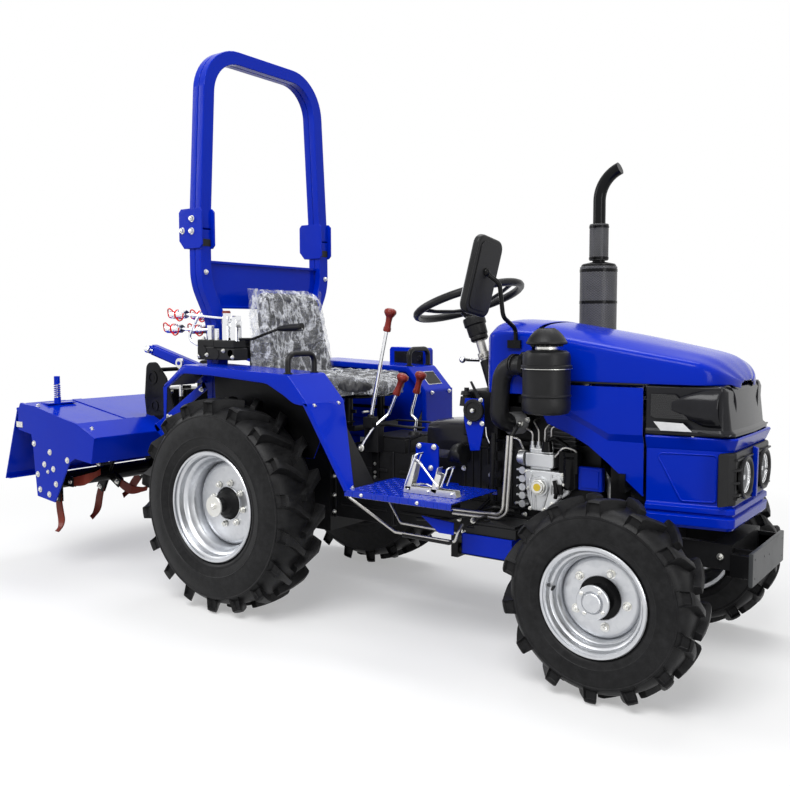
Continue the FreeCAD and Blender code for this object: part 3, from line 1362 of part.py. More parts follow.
def column_frame():
    """Where the steering wheel stands, its own Z axis up the column."""
    tilt = Rotation(ALONG["y"], -size.wheel_tilt.number)
    return Placement(vector((size.steer_x, 0, size.steer_z)), tilt)


def column_slope():
    return -math.sin(math.radians(size.wheel_tilt.number))


def column_rise():
    return math.cos(math.radians(size.wheel_tilt.number))


def along_column(name, piece):
    """Keep a piece that was made about the column's own axis."""
    piece.Label = name
    piece.Placement = column_frame()
    bind(piece, "Placement.Base.x", size.rear_axle_x + size.steer_x)
    bind(piece, "Placement.Base.z", size.steer_z)
    sub_parts.append(piece)


def steering():
    ring = doc.addObject("Part::Torus", "Grip")
    bind(ring, "Radius1", size.steer_r)
    bind(ring, "Radius2", size.steer_grip_r)
    hub = rod("z", -size.steer_hub_down, 6, size.steer_hub_r, (0, 0))
    pieces = [ring, hub]
    for index in range(int(size.steer_spokes.number)):
        angle = math.pi + 2 * math.pi * index / size.steer_spokes.number
        start = (math.cos(angle) * 20, math.sin(angle) * 20, -16)
        end = (size.steer_r * math.cos(angle), size.steer_r * math.sin(angle), 0)
        pieces.append(bar(start, end, size.spoke_r))
    socket = rod("z", -size.steer_hub_down - 1, -12, size.steer_shaft_r + size.shaft_gap, (0, 0))
    along_column("steering_wheel", without(joined(*pieces), socket))
    tube = rod("z", -size.column_length, -size.steer_hub_down - size.turn_gap, size.column_r, (0, 0))
    shaft = rod("z", -size.steer_hub_down - size.turn_gap, -14, size.steer_shaft_r, (0, 0))
    along_column("steering_column", joined(tube, shaft))


def air_cleaner():
    axis = (size.cleaner_x, -size.cleaner_y)
    can = rod("z", size.cleaner_bottom, size.cleaner_top, size.cleaner_r, axis)
    neck = rod("z", size.cleaner_top, size.cleaner_cap_top, size.cleaner_neck_r, axis)
    cap = rod("z", size.cleaner_cap_top - size.cleaner_cap_wall, size.cleaner_cap_top,
              size.cleaner_cap_r, axis)
    strap = block((size.cleaner_x - 40, size.cleaner_x + 40),
                  (-size.cleaner_y, -size.hood_half), (size.cleaner_bottom + 40, size.hood_seam - 16))
    hose = bent_tube([
        (size.cleaner_x - size.cleaner_r + 12, -size.cleaner_y + 10, size.cleaner_top - 42),
        (size.hose_back, -size.cleaner_y + 30, size.cleaner_top - 42),
        (size.hose_back, -size.cleaner_y + 60, size.hose_bottom),
        (size.hose_back, -size.head_half, size.hose_bottom),
    ], size.hose_r, 60)
    keep("air_cleaner", joined(can, neck, cap, strap, hose))


def exhaust():
    axis = (size.muffler_x, size.muffler_y)
    can = rod("z", size.muffler_bottom, size.muffler_top, size.muffler_r, axis)
    sleeve = rod("z", size.muffler_top, size.sleeve_top, size.sleeve_r, axis)
    pipe = bent_tube([
        (*axis, size.muffler_top), (*axis, size.exhaust_elbow_z),
        (size.muffler_x + size.exhaust_out, size.muffler_y, size.exhaust_top),
    ], size.exhaust_pipe_r, 60)
    header = bent_tube([
        (*axis, size.muffler_bottom), (*axis, size.header_z),
        (size.muffler_x, size.head_half, size.header_z),
    ], size.exhaust_pipe_r, 60)
    keep("exhaust", joined(can, sleeve, pipe, header))


def mirror():
    glass = block((size.mirror_x - size.mirror_wall / 2, size.mirror_x + size.mirror_wall / 2),
                  (-size.mirror_y - size.mirror_half, -size.mirror_y + size.mirror_half),
                  (size.mirror_bottom, size.mirror_top))
    middle = (size.mirror_bottom + size.mirror_top) / 2
    arm = bent_tube([
        (size.mirror_x + size.mirror_wall / 2, -size.mirror_y, middle - 40),
        (size.mirror_x + 62, -size.mirror_y, middle - 48),
        (size.mirror_x + 62, -size.mirror_y, size.mirror_foot_z + 92),
        (size.mirror_foot_x, -size.hood_half - 60, size.mirror_foot_z),
        (size.mirror_foot_x, -size.hood_half, size.mirror_foot_z),
    ], size.mirror_arm_r, 20)
    keep("mirror", joined(glass, arm))


def levers():
    console = block((size.console_back, size.console_front), (-size.console_half, size.console_half),
                    (size.gearbox_top, size.console_top))
    stand = block((size.tall_foot_x - 40, size.tall_foot_x + 30),
                  (-size.tall_y - 20, -size.console_half), (size.gearbox_top, size.tall_foot_z))
    pieces = [console, stand]
    for foot_x, y, foot_z, top_x, top_z in (
            (size.tall_foot_x, -size.tall_y, size.tall_foot_z, size.tall_top_x, size.tall_top_z),
            (size.mid_foot_x, -size.mid_y, size.console_top, size.mid_top_x, size.mid_top_z),
            (size.far_foot_x, as_size(0), size.console_top, size.far_top_x, size.far_top_z)):
        pieces.append(bar((foot_x, y, foot_z - 6), (top_x, y, top_z), size.lever_r))
        pieces.append(rod("z", top_z - 10, top_z + size.knob_height, size.knob_r, (top_x, y)))
    keep("control_levers", joined(*pieces))


def pedals():
    y = (-size.pedal_y - size.pedal_half, -size.pedal_y + size.pedal_half)
    base = block((size.pedal_back, size.pedal_front), y,
                 (size.board_top, size.board_top + size.pedal_bar))
    back = plate(SIDE_PLANE, [
        (size.pedal_back, size.board_top), (size.pedal_back + 40, size.pedal_top),
        (size.pedal_back + 40 + size.pedal_bar, size.pedal_top),
        (size.pedal_back + size.pedal_bar, size.board_top)], *y)
    front = plate(SIDE_PLANE, [
        (size.pedal_front - 100, size.board_top), (size.pedal_front - 70, size.pedal_top - 40),
        (size.pedal_front - 50 + size.pedal_bar, size.pedal_top - 40),
        (size.pedal_front - 80 + size.pedal_bar, size.board_top)], *y)
    keep("pedals", joined(base, back, front))


def battery_box():
    tray = block((size.battery_back, size.battery_front), (-size.battery_outer, -size.battery_inner),
                 (size.battery_bottom, size.battery_split))
    battery = block((size.cell_back, size.cell_front),
                    (-size.battery_outer + 8, -size.battery_inner - 8),
                    (size.battery_split, size.battery_top))
    hanger = block((size.battery_back + 40, size.battery_front - 40),
                   (-size.battery_inner, -size.rail_outer), (size.rail_bottom, size.battery_split))
    keep("battery_box", joined(tray, hanger, battery))


# ---------------------------------------------------------------- seat, fenders, boards

def seat():
    keep("seat_base", block((size.seat_back_x + 60, size.seat_front_x - 70),
                            (-size.seat_base_half, size.seat_base_half),
                            (size.seat_base_bottom, size.seat_base_top)))
    cushion = plate(FLOOR_PLANE, [
        (size.seat_back_x, -size.seat_half), (size.seat_front_x, -size.seat_half),
        (size.seat_front_x, size.seat_half), (size.seat_back_x, size.seat_half),
    ], size.cushion_bottom, size.cushion_top, [(size.seat_round, (1, 2))])
    keep("seat_cushion", cushion)
    keep("seat_back", seat_back())


def seat_back():
    """The back cushion leans rearward and narrows upward."""
    body = doc.addObject("PartDesign::Body", "SeatBack")
    sketches = []
    for z, front, half in ((size.cushion_bottom + 20, size.back_bottom_x, size.seat_half),
                           (size.back_top_z, size.back_top_x, size.back_top_half)):
        sketches.append(outline_sketch(body, FLOOR_PLANE, [
            (front, -half), (front, half), (front - size.back_wall, half * 0.9),
            (front - size.back_wall, half * -0.9)], z))
    feature = body.newObject("PartDesign::AdditiveLoft", "Loft")
    feature.Profile = sketches[0]
    feature.Sections = sketches[1:]
    feature.Ruled = True
    body.Tip = feature
    return body


def fender_points(drop, foot_x):
    """The fender sheet from its rear tip down to its foot, drop below its top."""
    return [
        (size.fender_tip_x, size.fender_tip_z - drop),
        (size.fender_rear_x, size.fender_deck_z - drop),
        (size.fender_front_x - drop * 0.4, size.fender_front_z - drop),
        (size.fender_knee_x - drop * 0.9, size.fender_knee_z - drop * 0.5),
        (foot_x - drop, size.fender_foot_z),
    ]


def fender(foot_x, foot_inner):
    """A right-hand fender whose front plate ends at foot_x and narrows to foot_inner."""
    no_drop = as_size(0)
    outline = fender_points(no_drop, foot_x) + list(reversed(fender_points(size.fender_wall, foot_x)))
    sheet = plate(SIDE_PLANE, outline, -size.fender_outer, -size.fender_inner)
    low_x = size.drive_case_front + size.fender_side_run
    under = fender_points(size.fender_wall, foot_x)[:4]
    side = plate(SIDE_PLANE, under + [
        (low_x, size.fender_side_bottom),
        (size.fender_tip_x + size.axle_tube_r, size.fender_side_bottom),
    ], -size.fender_side_y, -size.fender_side_y + size.fender_wall)
    lip_low = fender_points(size.fender_wall + size.fender_lip, foot_x)[:4]
    lip = plate(SIDE_PLANE, under + list(reversed(lip_low)),
                -size.fender_outer, -size.fender_outer + size.fender_wall)
    stay = block((-size.axle_tube_r, size.axle_tube_r),
                 (-size.fender_side_y, -size.fender_side_y + size.fender_wall),
                 (size.rear_tyre_r, size.fender_side_bottom))
    saddle = rod("y", -size.axle_tube_end, 0, size.axle_tube_r, (0, size.rear_tyre_r))
    top = size.fender_knee_z - size.fender_wall
    taper = plate(CROSS_PLANE, [
        (-size.fender_inner + 1, top), (-size.fender_inner + 1, size.fender_foot_z - 1),
        (-foot_inner, size.fender_foot_z - 1), (-size.fender_inner, top),
    ], size.fender_front_x, foot_x + 1)
    notch = block((size.rops_x - size.rops_half_x, size.rops_x + size.rops_half_x),
                  (-size.rops_foot_y - size.rops_tube, -size.rops_foot_y),
                  (size.fender_knee_z, size.fender_deck_z + 1))
    return without(joined(without(sheet, taper, notch), side, lip, stay), saddle)


def fenders():
    box = block((size.box_back, size.box_front), (size.box_inner, size.box_outer),
                (size.fender_front_z - size.fender_wall, size.box_top))
    left = mirrored(fender(size.left_foot_x, size.fender_inner))
    keep("fenders", group(fender(size.fender_foot_x, size.apron_inner), joined(left, box)))


def grab_handles():
    foot_z = size.fender_front_z + size.handle_rise
    tube = bent_tube([
        (size.handle_x, -size.handle_inner, foot_z),
        (size.handle_x, -size.handle_inner, size.handle_top),
        (size.handle_x, -size.handle_outer, size.handle_top),
        (size.handle_x, -size.handle_outer, foot_z),
    ], size.handle_r, size.handle_bend)
    keep("grab_handles", both(tube))


def footboard(back):
    """A right-hand footboard from its back edge on, with a folded edge and two hangers."""
    ends = (back, size.board_front)
    sheet = block(ends, (-size.board_outer, -size.board_inner),
                  (size.board_top - size.board_wall, size.board_top))
    lip = block(ends, (-size.board_outer, -size.board_outer + size.board_wall),
                (size.board_top - size.board_lip, size.board_top - size.board_wall))
    hangers = []
    for x in (back + size.hanger_in, size.gearbox_front - size.hanger_in):
        hangers.append(block((x, x + size.hanger_wall),
                             (-size.board_outer + size.hanger_in, -size.gearbox_half),
                             (size.hanger_z, size.board_top - size.board_wall)))
    return joined(sheet, lip, *hangers)


def footboards():
    board = footboard(size.board_back)
    plate_y = (-size.board_inner - 8, -size.board_inner)
    bracket = joined(
        block((size.pad_back, size.pad_front), plate_y, (size.board_top - 1, size.pad_top)),
        block((size.pad_back + 20, size.pad_front - 20), (-size.board_inner, -size.gearbox_half),
              (size.board_top, size.board_top + 40)))
    left = mirrored(footboard(size.left_foot_x))
    keep("footboards", group(left, joined(board, bracket)))


# ---------------------------------------------------------------- roll bar

def post_outline(spots):
    """A post's outline in the cross plane from its inner edge, (y, z) upward."""
    inner = [(-y, z) for y, z in spots]
    outer = [(-y - size.rops_tube, z) for y, z in spots]
    return inner + list(reversed(outer))


def rops_base():
    depth = (size.rops_x - size.rops_half_x, size.rops_x + size.rops_half_x)
    post = plate(CROSS_PLANE, post_outline([
        (size.rops_foot_y, size.rops_foot_z), (size.rops_foot_y, size.rops_bend_z),
        (size.rops_wide_y, size.rops_wide_z), (size.rops_wide_y, size.rops_split_z)]), *depth)
    foot = block((size.rops_x - size.rops_half_x, -size.axle_tube_r + 40),
                 (-size.rops_foot_y - size.rops_tube, -size.rops_foot_y),
                 (size.rops_foot_z, size.rear_tyre_r + size.axle_tube_r + 60))
    saddle = rod("y", -size.axle_tube_end, 0, size.axle_tube_r, (0, size.rear_tyre_r))
    brackets = []
    for low in (-size.rops_wide_y - size.rops_tube - size.bracket_wall, -size.rops_wide_y):
        brackets.append(plate(SIDE_PLANE, [
            (size.rops_x - size.bracket_back + 30, size.bracket_bottom),
            (size.rops_x + size.bracket_front, size.bracket_bottom),
            (size.rops_x + size.bracket_front, size.bracket_top),
            (size.rops_x - size.bracket_back, size.bracket_top),
            (size.rops_x - size.bracket_back, size.bracket_bottom + 30),
        ], low, low + size.bracket_wall))
    pin = rod("y", -size.rops_wide_y - size.rops_tube - size.bracket_wall,
              -size.rops_wide_y + size.bracket_wall, size.pivot_pin_r,
              (size.rops_x - size.rops_pivot_back, size.rops_pivot_z))
    half = joined(post, without(foot, saddle), pin, *brackets)
    panel = block((size.rops_x + size.rops_half_x, size.rops_x + size.rops_half_x + size.rops_panel_wall),
                  (-size.rops_wide_y - 10, size.rops_wide_y + 10),
                  (size.rops_panel_bottom, size.rops_panel_top))
    keep("rops_base", joined(half, mirrored(half), panel))


def rops_hoop():
    low = size.rops_split_z + size.rops_split_gap
    high = size.bracket_top + size.bracket_wall
    tube = size.rops_tube - size.rops_fold_gap * 2
    wide = size.rops_wide_y + size.rops_fold_gap
    outer = [
        (-wide - tube, low), (-wide - tube, high), (-size.rops_top_y - tube, size.rops_top_z),
        (size.rops_top_y + tube, size.rops_top_z), (wide + tube, high), (wide + tube, low),
    ]
    inner = [
        (wide, low), (wide, high), (size.rops_top_y, size.rops_top_z - tube),
        (-size.rops_top_y, size.rops_top_z - tube), (-wide, high), (-wide, low),
    ]
    hoop = plate(CROSS_PLANE, outer + inner, size.rops_x - size.rops_half_x,
                 size.rops_x + size.rops_half_x,
                 [(size.rops_corner_r, (2, 3)), (size.rops_corner_r - tube + 10, (8, 9))])
    ears = []
    bores = []
    for side in (-1, 1):
        ends = span(side, wide, wide + tube)
        ear_back = size.rops_x - size.rops_pivot_back - 20
        ear_front = size.rops_x - size.rops_pivot_back + 15
        ears.append(plate(SIDE_PLANE, [
            (ear_back, size.rops_pivot_z - 15), (ear_front, size.rops_pivot_z - 15),
            (ear_front, low), (size.rops_x, low), (size.rops_x, low + 50),
            (ear_back, low + 50)], ends[0], ends[1]))
        bores.append(rod("y", ends[0] - 5, ends[1] + 5, size.pivot_pin_r + size.shaft_gap,
                         (size.rops_x - size.rops_pivot_back, size.rops_pivot_z)))
    keep("rops_hoop", without(joined(hoop, *ears), *bores))


# ---------------------------------------------------------------- hydraulics and hitch

def lift_housing():
    case = block((size.lift_back, size.lift_front), (-size.lift_half, size.lift_half),
                 (size.drive_case_top, size.lift_top))
    saddle = block((size.arm_pivot_x - 40, size.arm_pivot_x + 40),
                   (-size.lift_half, size.lift_half), (size.lift_top, size.arm_pivot_z + 40))
    shaft = rod("y", -size.arm_y - size.arm_wall_half, size.arm_y + size.arm_wall_half,
                size.lift_shaft_r, (size.arm_pivot_x, size.arm_pivot_z))
    ears = []
    for side in (-1, 1):
        ends = span(side, size.top_eye_half + 3, size.top_eye_half + 13)
        ears.append(block((size.top_pivot_x - 22, size.arm_pivot_x - 40), ends,
                          (size.top_pivot_z - 24, size.top_pivot_z + 24)))
    pin = rod("y", -size.top_eye_half - 13, size.top_eye_half + 13, size.top_pin_r,
              (size.top_pivot_x, size.top_pivot_z))
    keep("lift_housing", joined(case, saddle, shaft, pin, *ears))


def control_valve():
    body = block((size.valve_back, size.valve_front), (-size.valve_right, size.valve_left),
                 (size.valve_bottom, size.valve_top))
    arm = block((size.valve_front - 10, size.valve_arm_front),
                (-size.valve_right, -size.valve_arm_left), (size.valve_bottom, size.valve_top))
    slot = block((size.rops_x - size.rops_half_x - 1, size.rops_x + size.rops_half_x + 1),
                 (-size.rops_foot_y - size.rops_tube - 1, -size.rops_foot_y + 1),
                 (size.valve_bottom, size.valve_top))
    neck = block((size.arm_pivot_x - 30, size.arm_pivot_x + 30), (-60, 60),
                 (size.arm_pivot_z + 40, size.valve_bottom))
    keep("control_valve", joined(without(body, slot), arm, neck))
    pieces = []
    for index in range(2):
        y = -size.coupler_y + size.coupler_pitch * index
        top = size.stack_top - size.stack_drop * index
        stack = rod("z", size.valve_top, top, size.coupler_r, (size.stack_x, y))
        upper = rod("x", size.coupler_back, size.stack_x, size.coupler_r, (y, size.coupler_z))
        pieces.append(joined(stack, upper))
        pieces.append(rod("x", size.coupler_back, size.valve_back, size.coupler_r,
                          (y, size.coupler_low_z)))
    keep("hydraulic_couplers", group(*pieces))


def eye(x, z, y_ends, radius, bore_r):
    return (rod("y", y_ends[0], y_ends[1], radius, (x, z)),
            rod("y", y_ends[0] - 1, y_ends[1] + 1, bore_r, (x, z)))


def link_plate(a, b, half, y_ends):
    """A flat bar between two points (x, z) of the side plane."""
    ax, az = (value.number for value in a)
    bx, bz = (value.number for value in b)
    length = math.hypot(bx - ax, bz - az)
    across_x = -(bz - az) / length
    across_z = (bx - ax) / length
    return plate(SIDE_PLANE, [
        (a[0] + half * across_x, a[1] + half * across_z),
        (b[0] + half * across_x, b[1] + half * across_z),
        (b[0] - half * across_x, b[1] - half * across_z),
        (a[0] - half * across_x, a[1] - half * across_z)], *y_ends)


def lower_links():
    a = (size.lower_pivot_x, size.lower_pivot_z)
    b = (size.lower_end_x, size.lower_end_z)
    y = (-size.lower_y - size.link_half, -size.lower_y + size.link_half)
    bar_piece = link_plate(a, b, size.link_bar * 0.6, y)
    near, near_bore = eye(*a, y, size.link_bar, size.link_pin_r + size.shaft_gap)
    far, far_bore = eye(*b, y, size.link_bar, size.link_pin_r + size.shaft_gap)
    middle = rod_spot_on_link()
    pin = rod("y", -size.lower_y - size.link_half - 2 * size.lift_eye_half.number - 6,
              -size.lower_y - size.link_half, size.lift_pin_r, middle)
    keep("lower_links", both(joined(without(joined(bar_piece, near, far), near_bore, far_bore), pin)))


def rod_spot_on_arm():
    return (size.arm_pivot_x + (size.arm_end_x - size.arm_pivot_x) * size.rod_share,
            size.arm_pivot_z + (size.arm_end_z - size.arm_pivot_z) * size.rod_share)


def rod_spot_on_link():
    share = (rod_spot_on_arm()[0] - size.lower_pivot_x) / (size.lower_end_x - size.lower_pivot_x)
    return (rod_spot_on_arm()[0],
            size.lower_pivot_z + (size.lower_end_z - size.lower_pivot_z) * share)


def lift_arms():
    a = (size.arm_pivot_x, size.arm_pivot_z)
    b = (size.arm_end_x, size.arm_end_z)
    y = (-size.arm_y - size.arm_wall_half, -size.arm_y + size.arm_wall_half)
    hub, bore = eye(*a, y, size.lift_shaft_r + 18, size.lift_shaft_r + size.shaft_gap)
    ball = rod("y", y[0] - 10, y[1] + 10, size.arm_bar * 0.8, b)
    pin_spot = rod_spot_on_arm()
    pin = rod("y", y[0] - 2 * size.lift_eye_half.number - 6, y[0], size.lift_pin_r, pin_spot)
    keep("lift_arms", both(joined(
        without(joined(link_plate(a, b, size.arm_bar, y), hub, ball), bore), pin)))


def lift_rods():
    top = rod_spot_on_arm()
    low = rod_spot_on_link()
    y_high = -size.arm_y - size.arm_wall_half - 3
    y = (y_high - 2 * size.lift_eye_half.number, y_high)
    upper, upper_bore = eye(*top, y, size.lift_eye_r, size.lift_pin_r + size.shaft_gap)
    lower, lower_bore = eye(*low, y, size.lift_eye_r, size.lift_pin_r + size.loop_gap)
    stem = bar((top[0], (y[0] + y[1]) / 2, top[1]), (low[0], (y[0] + y[1]) / 2, low[1]),
               size.lift_rod_r)
    keep("lift_rods", both(without(joined(stem, upper, lower), upper_bore, lower_bore)))


def top_link():
    a = (size.top_pivot_x, size.top_pivot_z)
    b = (size.top_end_x, size.top_end_z)
    y = (-size.top_eye_half, size.top_eye_half)
    near, near_bore = eye(*a, y, size.top_eye_r - 5, size.top_pin_r + size.shaft_gap)
    far, far_bore = eye(*b, y, size.top_eye_r, size.top_pin_r + size.loop_gap)
    stem = bar((a[0], 0, a[1]), (b[0], 0, b[1]), size.top_link_r)
    keep("top_link", without(joined(stem, near, far), near_bore, far_bore))


# ---------------------------------------------------------------- tiller

def side_plate_points():
    return [
        (size.deck_top_x, size.deck_top_z), (size.deck_bend_x, size.deck_bend_z),
        (size.deck_front_x, size.deck_front_z), (size.deck_low_x, size.deck_low_z),
        (size.side_low_x, size.side_low_z), (size.side_foot_x, size.side_foot_z),
        (size.side_heel_x, size.side_heel_z), (size.side_back_x, size.side_back_z),
        (size.side_back_x, size.side_rear_z), (size.deck_back_x, size.deck_back_z),
    ]


def tiller_deck():
    sheet = size.hood_sheet
    top = [
        (size.deck_back_x, size.deck_back_z), (size.deck_top_x, size.deck_top_z),
        (size.deck_bend_x, size.deck_bend_z), (size.deck_front_x, size.deck_front_z),
        (size.deck_low_x, size.deck_low_z),
    ]
    under = [
        (size.deck_low_x - sheet, size.deck_low_z), (size.deck_front_x - sheet, size.deck_front_z - sheet),
        (size.deck_bend_x, size.deck_bend_z - sheet), (size.deck_top_x + sheet, size.deck_top_z - sheet),
        (size.deck_back_x + sheet, size.deck_back_z),
    ]
    inside = size.tiller_half - size.tiller_wall
    deck = plate(SIDE_PLANE, top + under, -inside, inside)
    low = size.side_foot_z
    slots = [
        block((size.gear_case_back - 1, size.deck_front_x + 30),
              (-size.gear_case_half - 1, size.gear_case_half + 1), (low, size.gear_case_top)),
        rod("z", size.deck_bend_z, size.screw_top, size.screw_r + size.seat_gap,
            (size.screw_x, -size.screw_y)),
    ]
    for side in (-1, 1):
        ends = span(side, size.headstock_y - size.headstock_wall - 1, size.headstock_y + 1)
        slots.append(block((size.headstock_back - 1, size.deck_front_x + 30), ends,
                           (low, size.headstock_top)))
    hinge = (size.flap_hinge_x, size.flap_hinge_z)
    lugs = []
    for y in flap_lug_spots():
        ends = (y - size.flap_lug_half, y + size.flap_lug_half)
        lugs.append(rod("y", *ends, size.flap_lug_r, hinge))
        lugs.append(block((size.flap_hinge_x, size.deck_back_x + sheet), ends,
                          (size.deck_back_z, size.flap_hinge_z + size.flap_pin_r)))
    bore = rod("y", -inside, inside, size.flap_pin_r + size.shaft_gap, hinge)
    keep("tiller_deck", without(joined(without(deck, *slots), *lugs), bore))
    side = plate(SIDE_PLANE, side_plate_points(), -size.tiller_half, -inside)
    bore = rod("y", -size.tiller_half - 1, -inside + 1, size.rotor_stub_r + size.shaft_gap,
               (size.rotor_x, size.rotor_z))
    keep("tiller_sides", both(without(side, bore)))


def tiller_frame():
    tube = block((size.beam_x - size.beam_half, size.beam_x + size.beam_half),
                 (-size.tiller_half + size.tiller_wall, size.tiller_half - size.tiller_wall),
                 (size.beam_z - size.beam_half, size.beam_z + size.beam_half))
    case = block((size.gear_case_back, size.gear_case_front),
                 (-size.gear_case_half, size.gear_case_half),
                 (size.beam_z - size.beam_half, size.gear_case_top))
    plates = []
    pins = []
    for side in (-1, 1):
        ends = span(side, size.headstock_y - size.headstock_wall, size.headstock_y)
        plates.append(plate(SIDE_PLANE, [
            (size.headstock_back, size.beam_z), (size.beam_x, size.beam_z - size.beam_half),
            (size.lower_end_x - 10, size.lower_end_z - size.link_bar),
            (size.lower_end_x + 24, size.lower_end_z), (size.lower_end_x + 12, size.beam_z + 60),
            (size.headstock_front, size.headstock_top), (size.headstock_back + 30, size.headstock_top),
            (size.headstock_back, size.headstock_top - 60)], *ends))
    for side in (-1, 1):
        ends = span(side, size.headstock_y - 2, size.lower_y + size.link_half + 8)
        pins.append(rod("y", *ends, size.link_pin_r, (size.lower_end_x, size.lower_end_z)))
    cross = rod("y", -size.headstock_y, size.headstock_y, size.top_pin_r,
                (size.top_end_x, size.top_end_z))
    stub = rod("x", size.gear_case_front, size.gear_case_front + size.input_out, size.power_r,
               (0, size.gear_case_z))
    keep("tiller_frame", joined(tube, case, cross, stub, *plates, *pins))


def tiller_rotor():
    across = (size.rotor_x, size.rotor_z)
    inside = size.tiller_half - size.tiller_wall
    reach = inside - size.rotor_side_gap
    pieces = [
        rod("y", -reach, reach, size.rotor_tube_r, across),
        rod("y", -inside, inside, size.rotor_stub_r, across),
    ]
    count = int(size.rotor_rings.number)
    tines = int(size.ring_tines.number)
    for ring in range(count):
        y = (reach - 60) * (2 * ring / (count - 1) - 1)
        pieces.append(rod("y", y - 5, y + 5, size.tine_ring_r, across))
        for tine in range(tines):
            side = 1 if tine % 2 else -1
            pieces.append(tine_blade(y, side, 2 * math.pi * tine / tines + ring * 0.5))
    keep("tiller_rotor", joined(*pieces))


def tine_blade(y, side, angle):
    """An L-shaped tine: a flat shank and a foot turned sideways at its tip."""
    shank = doc.addObject("Part::Box", "Shank")
    bind(shank, "Length", size.tine_width)
    bind(shank, "Width", size.tine_wall)
    bind(shank, "Height", size.tine_r - 46)
    foot = doc.addObject("Part::Box", "Foot")
    bind(foot, "Length", size.tine_width)
    bind(foot, "Width", size.tine_foot)
    bind(foot, "Height", size.tine_wall)
    hub = Placement(vector((size.rotor_x, y, size.rotor_z)), Rotation(ALONG["y"], math.degrees(angle)))
    half = size.tine_width.number / 2
    wall = size.tine_wall.number
    tip = math.sqrt(size.tine_r.number ** 2 - half ** 2)
    out = 5 if side > 0 else -5 - wall
    shank.Placement = hub * Placement(Vector(-half, out, tip - (size.tine_r.number - 46)), Rotation())
    foot_y = out if side > 0 else out + wall - size.tine_foot.number
    foot.Placement = hub * Placement(Vector(-half, foot_y, tip - wall), Rotation())
    return joined(shank, foot)


def flap_lug_spots():
    """Where along Y the tail board's hinge lugs stand."""
    return (-size.flap_lug_y, as_size(0), size.flap_lug_y)


def tail_board():
    y = size.tiller_half - size.tiller_wall - size.turn_gap
    hinge = (size.flap_hinge_x, size.flap_hinge_z)
    low = (size.flap_low_x, size.flap_low_z)
    board = link_plate(hinge, low, size.flap_wall / 2, (-y, y))
    notches = []
    reach = size.flap_lug_r + size.turn_gap
    for spot in flap_lug_spots():
        half = size.flap_lug_half + size.turn_gap
        notches.append(rod("y", spot - half, spot + half, reach, hinge))
    barrel = rod("y", -y, y, size.flap_pin_r, hinge)
    keep("tail_board", joined(without(board, *notches), barrel))


def deck_height(x):
    """The tiller deck's top at a place along it."""
    slope = (size.deck_bend_z - size.deck_top_z) / (size.deck_bend_x - size.deck_top_x)
    return size.deck_top_z + slope * (x - size.deck_top_x)


def depth_rod():
    across = (size.screw_x, -size.screw_y)
    seat_z = deck_height(size.screw_x - size.spring_r)
    stem = rod("z", seat_z - 40, size.screw_top, size.screw_r, across)
    spring = rod("z", seat_z, size.spring_top, size.spring_r, across)
    keep("depth_rod", joined(stem, spring))


def drive_shaft():
    """A propeller shaft hung on the power take-off's cross pin, open at its rear end."""
    pin_x = size.power_x + 10
    rear_x = size.gear_case_front + size.input_out + size.shaft_open_gap
    front = (pin_x - 44, 0, size.power_z + 10)
    rear = (rear_x, 0, size.gear_case_z)
    pieces = [bar(front, rear, size.shaft_tube_r)]
    bores = []
    for side in (-1, 1):
        ends = span(side, size.power_r + size.turn_gap, size.power_r + size.turn_gap + 8)
        pieces.append(plate(SIDE_PLANE, [
            (pin_x - 50, size.power_z - 14), (pin_x, size.power_z - 14),
            (pin_x, size.power_z + 14), (pin_x - 50, size.power_z + 20)], *ends))
        pieces.append(rod("y", *ends, 18, (pin_x, size.power_z)))
        bores.append(rod("y", ends[0] - 1, ends[1] + 1, size.yoke_pin_r + size.shaft_gap,
                         (pin_x, size.power_z)))
    pieces.append(block((pin_x - 56, pin_x - 40), (-size.power_r - size.turn_gap - 8,
                                                   size.power_r + size.turn_gap + 8),
                        (size.power_z - 14, size.power_z + 24)))
    keep("drive_shaft", without(joined(*pieces), *bores))


rear_axle_housing()
gearbox_housing()
engine()
radiator()
front_frame()
front_bumper()
front_axle()
side_panels()
dash_cowl()
cowl_support()
steering()
air_cleaner()
exhaust()
mirror()
levers()
pedals()
battery_box()
seat()
fenders()
grab_handles()
footboards()
rops_base()
lift_housing()
control_valve()
hood_top()
nose_cowl()
headlamp_band()
grille()
knuckles()
tie_rod()
front_wheels()
rear_wheels()
rops_hoop()
lower_links()
lift_arms()
lift_rods()
top_link()
tiller_deck()
tiller_frame()
tiller_rotor()
tail_board()
depth_rod()
drive_shaft()

doc.recompute()

for thing in doc.Objects:
    if "Invalid" in thing.State or "Error" in thing.State:
        raise RuntimeError(f"{thing.Label} did not build: {thing.State}")
for thing in sub_parts:
    if thing.Shape.isNull() or not thing.Shape.isValid() or not thing.Shape.Solids:
        raise RuntimeError(f"{thing.Label} has no valid solid")

os.makedirs("parts", exist_ok=True)
for thing in sub_parts:
    thing.Shape.exportStep(f"parts/{thing.Label}.step")
    print(thing.Label, len(thing.Shape.Solids), round(thing.Shape.Volume))
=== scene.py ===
import math

import bmesh
import bpy
from mathutils import Matrix, Vector, noise

